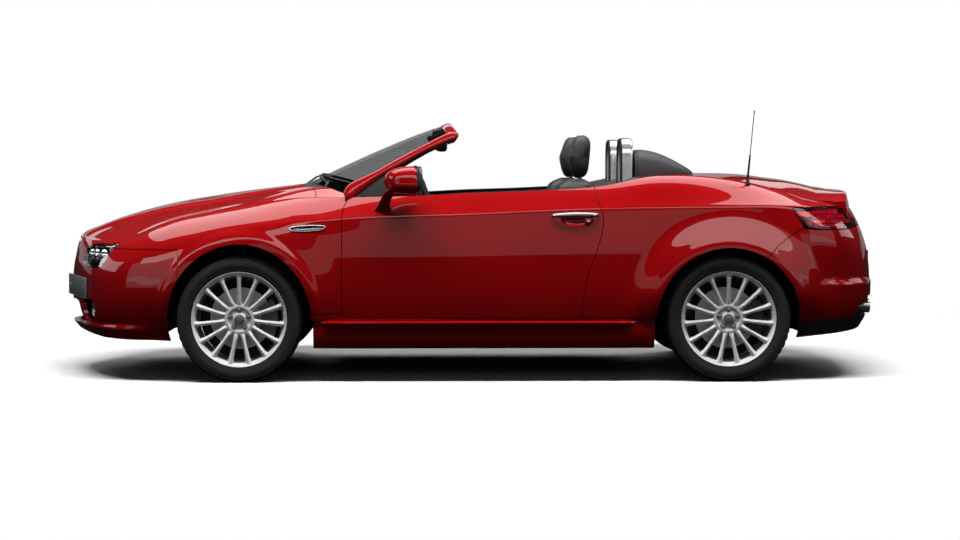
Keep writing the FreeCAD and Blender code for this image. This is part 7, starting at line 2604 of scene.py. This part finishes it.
def console():
    parts = []
    secs = []
    for x, hw, zt in ((-.395, .112, .640), (-.340, .112, .628), (-.300, .108, .600), (-.240, .100, .570), (-.100, .094, .545), (.050, .094, .532), (.180, .096, .535), (.260, .100, .560), (.300, .102, .590), (.420, .100, .598), (.490, .092, .590), (.520, .080, .560)):
        ring = []
        for a, b in superellipse(1, 1, 5.0, 40):
            z = (zt + .438) / 2 + b * (zt - .438) / 2
            ring.append((x, a * (hw + .018 * (1 - b) / 2), z))
        secs.append(ring)
    c = loft("console", secs, [DASH])
    subsurf(c, 1)
    c.data.polygons.foreach_set("use_smooth", [True] * len(c.data.polygons))
    sharp(c, 45)
    parts.append(c)
    # bright plate with the gear lever and its boot
    pl = rbox("plate", (-.150, 0, .5585), (.200, .150, .006), .003, [BRUSHED])
    pl.data.transform(Matrix.Translation((-.15, 0, .5585)) @ Matrix.Rotation(math.radians(9), 4, "Y") @ Matrix.Translation((.15, 0, -.5585)))
    parts.append(pl)
    boot = lathe("boot", [(.050, .560), (.048, .568), (.040, .574), (.043, .580), (.033, .588), (.036, .594), (.026, .603), (.028, .609), (.018, .620), (.012, .630), (.0, .631), (.0, .556)], 36, "z", (-.170, 0, 0), [LEATHER], closed=False)
    parts.append(boot)
    parts.append(tube("lever", [(-.170, 0, .60), (-.166, 0, .655)], .0062, 14, [SATIN]))
    knob = lathe("knob", [(0, .705), (.014, .704), (.021, .698), (.0245, .686), (.0235, .672), (.018, .660), (.012, .652), (.009, .646), (0, .646)], 32, "z", (-.165, 0, 0), [LEATHER], closed=False)
    parts.append(knob)
    parts.append(lathe("kcap", [(0, .7068), (.0125, .7062), (.0135, .7045), (0, .7045)], 28, "z", (-.165, 0, 0), [SATIN], closed=False))
    # handbrake
    parts.append(rbox("slot", (.060, -.045, .536), (.200, .040, .008), .003, [TRIM]))
    hb = smooth_poly([(.150, -.045, .535), (.120, -.045, .556), (.060, -.045, .590), (-.020, -.045, .612)], 5)
    parts.append(sweep("hb", hb, superellipse(.0135, .0115, 2.6, 18), [LEATHER], up=(0, 0, 1), scale=lambda t: .75 + .35 * math.sin(math.pi * min(max(t, .05), .95))))
    parts.append(lathe("hbb", [(0, .012), (.005, .011), (.0065, .004), (.0065, 0), (0, 0)], 18, "x", (-.032, -.045, .6155), [SATIN], closed=False))
    # two cup wells with bright rims, and window and mirror switches
    for x in (.090, .178):
        parts.append(lathe("cup", [(.038, .5385), (.0405, .5410), (.0430, .5405), (.0435, .534), (.037, .533), (.036, .500), (0, .500)], 36, "z", (x, .042, 0), [SATIN], closed=False))
        parts.append(lathe("cupd", [(0, .5365), (.0375, .5365), (.0375, .530), (0, .530)], 32, "z", (x, .042, 0), [TRIM], closed=False))
    for k in range(4):
        parts.append(rbox("sw", (-.020 + .0 * k, .030 + .020 * (k - 1.5), .5455), (.026, .016, .008), .002, [TRIM_GREY], seg=2))
    # armrest lid
    arm = rbox("arm", (.395, 0, .606), (.210, .168, .030), .013, [LEATHER], seg=5)
    parts.append(arm)
    parts.append(tube("seam", [(.30, -.060, .6205), (.49, -.060, .6205)], .0012, 6, [THREAD]))
    parts.append(tube("seam", [(.30, .060, .6205), (.49, .060, .6205)], .0012, 6, [THREAD]))
    o = join("console_skin", parts)
    place(o, "body", "dark_trim", "centre_console")


def carpet_tub():
    X = np.array([-.776, -.765, -.735, -.69, -.64, -.60, -.55, -.30, 0, .30, .50, .66, .695, .712, .722, .726])
    Z = np.array([.60, .56, .46, .35, .262, .240, .2290, .2285, .2285, .2285, .2285, .235, .30, .50, .80, .900])
    Yh = [0, .06, .12, .150, .166, .178, .186, .20, .25, .40, .55, .63, .655, .668, .676, .684]
    Y = np.array([-y for y in Yh[::-1]] + Yh[1:])
    G = []
    for x, z0 in zip(X, Z):
        r = []
        for y in Y:
            a = abs(y)
            t = float(smooth(.190, .150, a))
            s = float(smooth(.640, .684, a))
            z = max(z0, z0 + (.438 - z0) * t if z0 < .438 else z0, z0 + (.345 - z0) * s if z0 < .345 else z0)
            r.append((x, y, z))
        G.append(r)
    G = np.array(G)
    V, F = shell("ct", G, G - np.array([0, 0, .004]))
    o = recalc(new_obj("carpet", V, F, [CARPET]))
    subsurf(o, 1)
    o.data.polygons.foreach_set("use_smooth", [True] * len(o.data.polygons))
    parts = [o]
    # footwell mats with bound edges and a heel pad
    for s in (-1, 1):
        P = smooth_poly([(-.585, s * .225), (-.585, s * .590), (-.560, s * .620), (-.10, s * .620), (-.075, s * .600), (-.075, s * .240), (-.10, s * .215), (-.56, s * .205)], 4, closed=True)
        m = prism("mat", P, .2300, .2360, "z")
        m.data.materials.clear(); m.data.materials.append(CARPET)
        parts.append(m)
        pts = [(a, b, .2345) for a, b in P]
        parts.append(tube("bind", pts + [pts[0]], .0032, 8, [THREAD_DARK]))
        parts.append(rbox("heel", (-.40, s * .41, .2365), (.20, .17, .004), .001, [RUBBER]))
    c = join("cabin_carpet", parts)
    place(c, "body", "dark_trim")


def cabin_rear():
    """Upright trim behind the seats, side posts' covers, door jambs and sill plates."""
    parts = []
    # ribbed panel between the seats' backs and the deck, with a small locker door
    pb = rbox("pb", (.716, 0, .66), (.016, 1.30, .62), .005, [CARPET])
    parts.append(pb)
    parts.append(rbox("locker", (.705, 0, .76), (.012, .30, .22), .006, [DASH]))
    parts.append(rbox("lk", (.698, 0, .845), (.008, .050, .016), .003, [SATIN]))
    for s in (-1, 1):
        # lower side trim beside the seat, from the jamb to the rear panel
        P = [(.615, .345), (.715, .345), (.735, .60), (.735, .975), (.690, .972), (.676, .90), (.672, .70), (.640, .55), (.618, .45)]
        lo_, hi_ = sorted((s * .700, s * .742))
        t = prism("st", smooth_poly(P, 3, closed=True), lo_, hi_, "y")
        bevel(t, .004, 2, 40)
        t.data.materials.clear(); t.data.materials.append(DASH)
        parts.append(t)
        # kick panel at the front
        P = [(-.700, .34), (-.640, .34), (-.640, .62), (-.690, .86), (-.735, .86), (-.735, .36)]
        lo_, hi_ = sorted((s * .688, s * .700))
        t = prism("kp", P, lo_, hi_, "y")
        t.data.materials.clear(); t.data.materials.append(DASH)
        parts.append(t)
        # scuff plate on the sill
        parts.append(rbox("scuff", (-.02, s * .770, .3335), (1.16, .070, .004), .0015, [TRIM]))
        parts.append(rbox("scuff2", (-.02, s * .770, .3362), (.52, .040, .0022), .0008, [BRUSHED]))
    o = join("cabin_trim", parts)
    place(o, "body", "dark_trim", "rear_bulkhead")
    # jambs
    jb = []
    def jamb(P, dx, y_in, gap):
        """Painted return of the body just behind (or ahead of) a shutline, following the skin a little inside it."""
        rings = []
        for x, z in P:
            q, _ = hit("y", x + dx, max(z, .345))
            yo = min(float(q[1]) - gap, .868)
            rings.append([(x + dx * .25, y_in, z), (x + dx * .25, max(yo, y_in + .004), z), (x + dx * 1.2, max(yo, y_in + .004), z), (x + dx * 1.2, y_in, z)])
        o = loft("jamb", rings, [PAINT], smooth_=False)
        return recalc(o)
    jb.append(jamb(DOOR_REAR[(DOOR_REAR[:, 1] < .955)], .018, .742, .020))
    jb.append(jamb(DOOR_FRONT[(DOOR_FRONT[:, 1] < .915)], -.018, .702, .020))
    arc = [(FRONT_X + .404 * math.cos(a), AXLE_Z + .404 * math.sin(a) + ARCH_UP * math.sin(a) ** 1.5) for a in np.radians(np.linspace(3, 39, 14))]
    fl = prism("jfl", arc + [(-.90, .90), (-.70, .925), (-.672, .925), (-.672, .345)], .700, .712, "y")
    jb.append(fl)
    fl = prism("jrl", [(.600, .345), (.735, .345), (.735, .97), (.70, .97), (.66, .70)], .740, .746, "y")
    jb.append(fl)
    for j in jb:
        j.data.materials.clear(); j.data.materials.append(PAINT)
    # latch striker and hinges
    jb.append(rbox("striker", (.676, .800, .700), (.012, .040, .060), .003, [SATIN]))
    jb.append(tube("loop", [(.672, .785, .715), (.655, .785, .715), (.652, .785, .700), (.655, .785, .685), (.672, .785, .685)], .004, 10, [SATIN]))
    for z in (.450, .740):
        jb.append(rbox("hinge", (-.668, .800, z), (.022, .060, .060), .003, [IRON]))
        jb.append(tube("pin", [(-.655, .842, z - .034), (-.655, .842, z + .034)], .008, 14, [DARK_STEEL]))
    # weather seal round the opening
    ring = [(-.664, .740, .36), (-.664, .740, .90), (-.640, .735, .940)]
    jb.append(tube("seal", smooth_poly([(-.640, .738, .938), (-.662, .742, .90), (-.664, .744, .60), (-.664, .746, .38), (-.640, .748, .342), (-.2, .750, .338), (.3, .750, .338), (.55, .750, .340), (.592, .750, .38),
                                        (.602, .750, .47), (.622, .750, .56), (.650, .750, .64), (.677, .750, .715), (.694, .750, .78), (.700, .750, .84), (.692, .750, .90), (.680, .750, .96)], 4), .007, 10, [SEAL]))
    j = join("door_frame", jb)
    both(j, "door_frame", "body", "body", "body_paint", ("side_posts",))


def door_inside():
    """Right door: painted inner shell, card with armrest, handle, pocket, speaker; black roll along its top."""
    out = np.vstack([DOOR_FRONT[DOOR_FRONT[:, 1] < .930], DOOR_REAR[DOOR_REAR[:, 1] < .955][::-1]])
    P = offset_poly(out, .010)
    inn = offset_poly(out, .022)
    n = len(P)
    # rings of the door's edge: outer wall from the skin inwards, then a flat to the card
    def yk(x, z, d):
        p, _ = hit("y", x, min(max(z, .34), .95))
        return float(p[1]) - d
    A = [(x, yk(x, z, .014), z) for x, z in P]
    B = [(x, .762, z) for x, z in P]
    m = min(len(P), len(inn))
    V = A + B
    F = [(i, (i + 1) % n, n + (i + 1) % n, n + i) for i in range(n)]
    wall = new_obj("dw", V, F, [PAINT], False)
    so = wall.modifiers.new("s", "SOLIDIFY"); so.thickness = .004; so.offset = 0
    apply_mods(wall)
    recalc(wall)
    sharp(wall, 40)
    face = prism("df", P, .7585, .7635, "y")
    face.data.materials.clear(); face.data.materials.append(PAINT)
    card_out = offset_poly(out, .030)
    card = prism("card", card_out, .7475, .7590, "y")
    bevel(card, .004, 2, 40)
    card.data.materials.clear(); card.data.materials.append(DASH)
    # inset of leather
    ins = prism("ins", smooth_poly([(-.56, .70), (-.40, .755), (.10, .760), (.50, .770), (.60, .800), (.618, .850), (.55, .872), (0, .860), (-.50, .845), (-.585, .80)], 5, closed=True), .7440, .7500, "y")
    bevel(ins, .0025, 2, 40)
    ins.data.materials.clear(); ins.data.materials.append(LEATHER2)
    parts = [wall, face, card, ins]
    # roll along the top
    xs = np.linspace(-.600, .640, 44)
    rings = []
    for x in xs:
        ye, ze = top_edge(np.array(x))
        ye, ze = float(ye), float(ze)
        y1 = min(ye - .010, .880)
        rings.append([(x, y1, ze - .004), (x, y1 - .018, ze - .001), (x, y1 - .045, ze - .003), (x, .768, ze - .012), (x, .752, ze - .030), (x, .748, ze - .060), (x, .7475, ze - .125), (x, .762, ze - .125), (x, .775, ze - .060),
                      (x, y1 - .004, ze - .024)])
    roll = loft("roll", rings, [TRIM])
    sharp(roll, 50)
    parts.append(roll)
    # belt seals
    pts = []
    for x in np.linspace(-.600, .645, 30):
        ye, ze = top_edge(np.array(x))
        pts.append((x, min(float(ye) - .006, .886), float(ze) - .004))
    parts.append(sweep("bs", pts, [(-.004, -.008), (.004, -.008), (.004, .002), (0, .004), (-.004, .002)], [SEAL]))
    # armrest with pull, door lever, switches
    ar = []
    for x in np.linspace(-.30, .38, 28):
        t = (x + .30) / .68
        w = .018 + .040 * math.sin(math.pi * min(t * 1.05, 1)) ** .6
        zc = .655 + .020 * t
        ring = []
        for a, b in superellipse(1, 1, 3.0, 20):
            ring.append((x, .750 - w * .5 + a * w * .62, zc + b * .030))
        ar.append(ring)
    arm = loft("arm", ar, [LEATHER])
    sharp(arm, 50)
    parts.append(arm)
    parts.append(sweep("pull", smooth_poly([(-.10, .752, .735), (-.08, .716, .730), (.10, .708, .735), (.24, .716, .745), (.26, .752, .750)], 5), superellipse(.012, .009, 2.6, 14), [BRUSHED], up=(0, 1, 0)))
    cup = lathe("cup", [(.030, .002), (.034, .004), (.036, 0), (.034, -.004), (.028, -.004), (0, -.004)], 32, "y", (-.40, .7470, .800), [SATIN], closed=False)
    cup.data.transform(Matrix.Translation((-.40, .747, .8)) @ Matrix.Scale(1.7, 4, (1, 0, 0)) @ Matrix.Translation((.40, -.747, -.8)))
    parts.append(cup)
    parts.append(sweep("lever", [(-.375, .742, .800), (-.400, .736, .801), (-.445, .734, .801)], superellipse(.009, .005, 2.6, 12), [CHROME], up=(0, 1, 0)))
    for k in range(2):
        parts.append(rbox("sw", (-.215 + .045 * k, .714, .690), (.030, .020, .010), .003, [TRIM_GREY], seg=2))
    # speaker and map pocket
    sp = lathe("spk", [(0, .000), (.070, .000), (.076, .003), (.082, .002), (.084, -.004), (0, -.004)], 48, "y", (-.46, .7475, .500), [TRIM], closed=False)
    sp.data.transform(Matrix.Translation((0, 2 * .7475, 0)) @ Matrix.Scale(-1, 4, (0, 1, 0)))
    sp.data.flip_normals()
    parts.append(sp)
    for r in (.020, .036, .052, .066):
        parts.append(tube("sr", [(-.46 + r * math.cos(a), .7435, .500 + r * math.sin(a)) for a in np.linspace(0, 2 * math.pi, 33)], .0016, 6, [TRIM_GREY]))
    rp = []
    for x in np.linspace(-.33, .42, 24):
        t = (x + .33) / .75
        d = .030 * math.sin(math.pi * t) ** .45
        rp.append([(x, .748, .400), (x, .748 - d * .7, .405), (x, .748 - d, .440), (x, .748 - d, .498), (x, .748 - d + .004, .502), (x, .748, .470)])
    pk = loft("pocket", rp, [DASH])
    sharp(pk, 40)
    parts.append(pk)
    # latch on the rear edge, hinge straps at the front
    xl = float(np.interp(.700, DOOR_REAR[::-1][:, 1], DOOR_REAR[::-1][:, 0]))
    parts.append(rbox("latch", (xl - .012, .800, .700), (.008, .052, .095), .002, [STEEL]))
    parts.append(rbox("mouth", (xl - .0085, .790, .700), (.004, .030, .022), .001, [TRIM]))
    for z in (.450, .740):
        parts.append(rbox("strap", (-.6435, .815, z), (.008, .060, .055), .002, [IRON]))
    parts.append(tube("seal", [(x, .757, z) for x, z in offset_poly(out, .017)], .005, 8, [SEAL]))
    o = join("door_inner", parts)
    both(o, "door_inner", "door_right", "door_left", "dark_trim")


def cabin():
    seats()
    belts()
    dashboard()
    steering_wheel()
    console()
    carpet_tub()
    cabin_rear()
    door_inside()
# ------------------------------------------------------------------ under the bonnet
def engine_bay():
    P = []
    P.append(rbox("blk", (-1.52, .02, .475), (.40, .60, .30), .020, [IRON]))
    P.append(rbox("head", (-1.52, .02, .655), (.30, .56, .08), .014, [SATIN]))
    P.append(rbox("cov", (-1.52, .02, .722), (.34, .54, .060), .022, [TRIM], 4))
    for k in range(6):
        P.append(rbox("rib", (-1.625 + .042 * k, .02, .753), (.012, .40, .006), .0025, [TRIM_GREY]))
    P.append(lathe("fill", [(0, .022), (.030, .022), (.034, .018), (.036, .004), (.036, -.01), (0, -.01)], 36, "z", (-1.43, -.20, .752), [TRIM_GLOSS], closed=False))
    P.append(tube("dip", [(-1.40, .26, .60), (-1.38, .27, .74), (-1.372, .27, .765)], .005, 10, [SATIN]))
    # the dipstick's ring takes the amber lamp finish and glows faintly: painted glow on a part that is no lamp
    P.append(lathe("dipr", [(.006, .004), (.014, .004), (.014, -.004), (.006, -.004)], 20, "x", (-1.372, .27, .778), [LAMP_AMBER]))
    # inlet runners and plenum behind, exhaust shield ahead
    for k in range(4):
        y = -.17 + .125 * k
        P.append(tube("run", smooth_poly([(-1.40, y, .66), (-1.34, y, .69), (-1.295, y, .67), (-1.285, y, .60)], 5), .022, 16, [SATIN]))
    P.append(tube("plen", [(-1.285, -.24, .60), (-1.285, .28, .60)], .045, 24, [SATIN]))
    P.append(rbox("shield", (-1.735, .02, .60), (.030, .46, .20), .012, [STEEL]))
    # drive belt side
    for y, z, r in ((.335, .60, .055), (.335, .44, .070), (.335, .52, .035)):
        P.append(lathe("pul", [(0, .012), (r * .8, .012), (r, .010), (r * .96, 0), (r, -.010), (r * .8, -.012), (0, -.012)], 36, "y", (-1.56 + (.06 if z < .5 else 0), y, z), [DARK_STEEL], closed=False))
    # gearbox
    P.append(rbox("gbx", (-1.50, -.325, .44), (.30, .09, .24), .030, [SATIN]))
    e = join("engine_skin", P)
    place(e, "body", "engine", "engine_block")
    P = []
    # radiator, fans, slam panel
    P.append(rbox("rad", (-1.845, 0, .520), (.030, .700, .370), .006, [DARK_STEEL]))
    for y in (-.17, .17):
        P.append(lathe("fan", [(.145, .010), (.158, .010), (.158, -.014), (.145, -.014)], 48, "x", (-1.815, y, .520), [TRIM]))
        P.append(lathe("fh", [(0, .008), (.040, .008), (.044, 0), (.044, -.010), (0, -.010)], 28, "x", (-1.812, y, .520), [TRIM], closed=False))
        for k in range(7):
            a = 2 * math.pi * k / 7
            b = rbox("bl", (0, 0, 0), (.003, .108, .045), .001, [TRIM])
            b.data.transform(Matrix.Translation((-1.815, y, .520)) @ Matrix.Rotation(a, 4, "X") @ Matrix.Translation((0, .092, 0)) @ Matrix.Rotation(.5, 4, "Y"))
            P.append(b)
    P.append(rbox("slam", (-1.905, 0, .712), (.060, .980, .026), .008, [DARK_STEEL]))
    P.append(rbox("latch", (-1.905, 0, .730), (.040, .070, .016), .004, [SATIN]))
    # battery, air box, tanks, towers
    P.append(rbox("bat", (-1.715, .505, .610), (.170, .200, .180), .008, [TRIM]))
    P.append(rbox("batl", (-1.715, .505, .706), (.172, .202, .014), .004, [TRIM_GREY]))
    for y in (.445, .565):
        P.append(lathe("ter", [(0, .022), (.009, .022), (.009, 0), (0, 0)], 18, "z", (-1.665, y, .712), [STEEL], closed=False))
    P.append(rbox("air", (-1.715, -.505, .610), (.190, .210, .150), .018, [TRIM]))
    P.append(rbox("airl", (-1.715, -.505, .700), (.196, .216, .034), .012, [TRIM]))
    for q in (-1, 1):
        P.append(rbox("clip", (-1.715 + q * .099, -.505, .688), (.005, .022, .030), .001, [SATIN]))
    P.append(tube("duct", smooth_poly([(-1.65, -.44, .715), (-1.56, -.38, .745), (-1.44, -.33, .745), (-1.34, -.28, .70), (-1.29, -.24, .61)], 6), .034, 24, [TRIM], rfun=None))
    for s in (-1, 1):
        P.append(lathe("twr", [(0, .780), (.035, .780), (.040, .772), (.095, .768), (.110, .755), (.118, .722), (.118, .718), (0, .718)], 48, "z", (-1.165, s * .560, 0), [DARK_STEEL], closed=False))
        for k in range(3):
            a = 2 * math.pi * k / 3
            P.append(lathe("nut", [(0, .788), (.009, .788), (.011, .784), (.011, .768), (0, .768)], 6, "z", (-1.165 + .068 * math.cos(a), s * .560 + .068 * math.sin(a), 0), [SATIN], closed=False))
    P.append(tube("brace", smooth_poly([(-1.165, -.50, .792), (-1.10, -.30, .800), (-1.09, 0, .802), (-1.10, .30, .800), (-1.165, .50, .792)], 6), .013, 16, [SATIN]))
    P.append(rbox("tank", (-1.02, .40, .730), (.120, .150, .120), .026, [PLATE]))
    P.append(lathe("cap", [(0, .020), (.026, .020), (.029, .015), (.029, 0), (0, 0)], 30, "z", (-1.02, .40, .790), [TRIM], closed=False))
    P.append(rbox("wash", (-1.00, -.42, .735), (.110, .130, .100), .026, [PLATE]))
    P.append(lathe("cap2", [(0, .016), (.022, .016), (.025, .012), (.025, 0), (0, 0)], 30, "z", (-1.00, -.42, .785), [DIAL], closed=False))
    P.append(tube("hose", smooth_poly([(-1.83, .25, .66), (-1.76, .26, .69), (-1.70, .22, .66), (-1.66, .20, .62)], 6), .019, 18, [SEAL]))
    P.append(tube("hose2", smooth_poly([(-1.02, .34, .70), (-1.12, .28, .66), (-1.25, .30, .62), (-1.33, .30, .58)], 6), .012, 14, [SEAL]))
    P.append(tube("boost", smooth_poly([(-.86, -.34, .72), (-.92, -.34, .74), (-1.05, -.30, .72), (-1.20, -.24, .66)], 6), .010, 12, [SEAL]))
    b = join("bay_dressing", P)
    place(b, "body", "dark_trim")

# ------------------------------------------------------------------ studio
def studio():
    SCENE.view_settings.view_transform = "Standard"
    SCENE.view_settings.look = "None"
    SCENE.view_settings.exposure = 0.0
    w = bpy.data.worlds.new("studio")
    SCENE.world = w
    w.use_nodes = True
    nt = w.node_tree
    nt.nodes.clear()
    out = nt.nodes.new("ShaderNodeOutputWorld")
    bgc = nt.nodes.new("ShaderNodeBackground")
    bgc.inputs["Color"].default_value = (1, 1, 1, 1)
    bgc.inputs["Strength"].default_value = 1.0
    bgd = nt.nodes.new("ShaderNodeBackground")
    bgd.inputs["Color"].default_value = (.010, .010, .0105, 1)
    bgd.inputs["Strength"].default_value = 1.0
    lp = nt.nodes.new("ShaderNodeLightPath")
    mx = nt.nodes.new("ShaderNodeMixShader")
    nt.links.new(lp.outputs["Is Camera Ray"], mx.inputs["Fac"])
    nt.links.new(bgd.outputs["Background"], mx.inputs[1])
    nt.links.new(bgc.outputs["Background"], mx.inputs[2])
    nt.links.new(mx.outputs["Shader"], out.inputs["Surface"])
    # floor
    fl = new_obj("floor", [(-7, -7, 0), (7, -7, 0), (7, 7, 0), (-7, 7, 0)], [(0, 1, 2, 3)], smooth_=False)
    m, fnt, b = mat("floor_pale")
    b.inputs["Base Color"].default_value = (.86, .86, .86, 1)
    b.inputs["Roughness"].default_value = 0.9
    b.inputs["Specular IOR Level"].default_value = 0.0
    n1 = noise(fnt, coords(fnt), 3.0, 3.0)
    r = ramp(fnt, n1, "Fac", [(0.3, (.855, .855, .855)), (0.7, (.865, .865, .865))])
    fnt.links.new(r.outputs["Color"], b.inputs["Base Color"])
    # fades out into the white surroundings
    tc = fnt.nodes.new("ShaderNodeTexCoord")
    gr = fnt.nodes.new("ShaderNodeVectorMath")
    gr.operation = "LENGTH"
    fnt.links.new(tc.outputs["Object"], gr.inputs[0])
    fade = rng(fnt, gr, "Value", 3.6, 5.2, 0.0, 1.0)
    fade.interpolation_type = "SMOOTHSTEP"
    trn = fnt.nodes.new("ShaderNodeBsdfTransparent")
    mx = fnt.nodes.new("ShaderNodeMixShader")
    fnt.links.new(fade.outputs["Result"], mx.inputs["Fac"])
    fnt.links.new(b.outputs["BSDF"], mx.inputs[1])
    fnt.links.new(trn.outputs["BSDF"], mx.inputs[2])
    fnt.links.new(mx.outputs["Shader"], [n for n in fnt.nodes if n.type == "OUTPUT_MATERIAL"][0].inputs["Surface"])
    fl.data.materials.append(m)
    fl.visible_glossy = False
    fl.visible_diffuse = False
    fl.visible_transmission = True

    def area(name, loc, aim, sx, sy, power, glossy=True, diffuse=True, col=(1, 1, 1)):
        l = bpy.data.lights.new(name, "AREA")
        l.shape = "RECTANGLE"
        l.size, l.size_y = sx, sy
        l.energy = power
        l.color = col
        o = bpy.data.objects.new(name, l)
        SCENE.collection.objects.link(o)
        o.location = loc
        d = Vector(aim) - Vector(loc)
        o.rotation_euler = d.to_track_quat("-Z", "Y").to_euler()
        o.visible_camera = False
        o.visible_glossy = glossy
        o.visible_diffuse = diffuse
        return o

    def glow(name, loc, aim, sx, sy, lum, col=(1, 1, 1)):
        """A panel only seen in reflections, of a given luminance."""
        return area(name, loc, aim, sx, sy, lum * math.pi * sx * sy, diffuse=False, col=col)

    # overhead: lights the blacks and the floor, with a soft shadow
    area("top", (0, -2.45, 7.0), (0, -.6, .5), 9.0, 1.8, 1080, glossy=False)
    area("back", (0, 6.5, 4.2), (0, 0, 0), 12.0, 3.0, 420, glossy=False)
    # fill from the viewer's side for tyres, trim and wheels
    area("fill", (0, -9.0, 3.4), (0, 0, .5), 12.0, 3.0, 40, glossy=False)
    # overhead panel in the lacquer: near edge at about 78 degrees, far edge at about 55
    glow("roof", (0, 1.55, 7.0), (0, 1.55, 0), 12.0, 6.1, 3.7)
    # strip along the viewer's side, 23 to 35 degrees up, and a weaker one behind, lower
    D = 8.0
    for nm, e, h, lum, sy in (("strip_near", 29.0, 11.5, 2.9, -1), ("strip_far", 17.0, 6.0, .9, 1)):
        e = math.radians(e)
        glow(nm, (0, sy * D * math.cos(e), .6 + D * math.sin(e)), (0, 0, .6), 16.0, 2 * D * math.tan(math.radians(h / 2)), lum)
    # grey band just above the horizon on both sides
    glow("band_near", (0, -16.0, 1.95), (0, 0, 1.95), 44.0, 2.1, .44)
    glow("band_far", (0, 16.0, 1.95), (0, 0, 1.95), 44.0, 2.1, .30)
    # cards at the corners towards nose and tail
    for sx in (-1, 1):
        glow("card_%d" % sx, (sx * 8.2, -8.4, 2.9), (0, 0, .6), 4.6, 3.4, .70)
        glow("end_%d" % sx, (sx * 9.5, 0, 3.6), (0, 0, .6), 6.0, 2.4, 2.4)


def camera():
    c = bpy.data.cameras.new("cam")
    c.sensor_width = 36.0
    c.lens = 2004.0 / 960.0 * 36.0
    c.clip_end = 200
    o = bpy.data.objects.new("cam", c)
    SCENE.collection.objects.link(o)
    o.location = (-0.1513, -11.19, 1.127)
    # the view's centre (480, 270) seen from a vanishing point at (440, 164)
    d = Vector(((480 - 440) / 2004.0, 1.0, (164 - 270) / 2004.0))
    o.rotation_euler = d.to_track_quat("-Z", "Y").to_euler()
    SCENE.camera = o

# ------------------------------------------------------------------ assembly
def build():
    d, w, fb, q, rb, va = body_sides()
    for ob, nm, body, nodes in ((d, "door_skin", "door", "door"), (w, "front_wing", "body", "front_wing"), (q, "rear_wing", "body", "rear_wing")):
        ob.name = nm + "_right"
        left = mirrored(ob, nm + "_left")
        place(ob, body if body == "body" else "door_right", "body_paint", nodes + "_right")
        place(left, body if body == "body" else "door_left", "body_paint", nodes + "_left")
    place(fb, "body", "body_paint", "front_bumper")
    place(rb, "body", "body_paint", "rear_bumper")
    place(va, "body", "dark_trim", "rear_valance")
    s = sills()
    s2 = mirrored(s, "sill_left")
    place(s, "body", "body_paint", "sills")
    place(s2, "body", "body_paint")
    b, tc, bl = top_panels()
    place(b, "bonnet", "body_paint", "bonnet")
    place(tc, "soft_top_cover", "body_paint", "soft_top_cover")
    place(bl, "boot_lid", "body_paint", "boot_lid")
    bb, lip = boot_back()
    place(bb, "boot_lid", "body_paint")
    place(lip, "boot_lid", "body_paint")
    make_wheels()
    liners()
    headlamps()
    shield_and_grilles()
    plates()
    tail_lamps()
    corner_panels()
    windscreen()
    cowl_and_wipers()
    mirrors()
    handles_and_vents()
    hoops_and_fairings()
    tonneau_front_trim()
    aerial()
    exhaust()
    engine_bay()
    cabin()


import time as _time
_t0 = _time.time()
build()
NODE_MATS = {"boot_tub": CARPET, "engine_block": IRON, "firewall_and_cowl": UNDER, "floor_pan": UNDER, "front_frame": DARK_STEEL, "front_suspension": DARK_STEEL, "fuel_tank": LINER,
             "knuckle_left": IRON, "knuckle_right": IRON, "rack_housing": SATIN, "rear_suspension": DARK_STEEL, "steering_rack": STEEL}
for n, o in frame["nodes"].items():
    if not o.hide_render:
        o.data.materials.clear()
        o.data.materials.append(NODE_MATS.get(n, UNDER))
studio()
camera()
bpy.context.view_layer.update()
print("build seconds", round(_time.time() - _t0, 1))
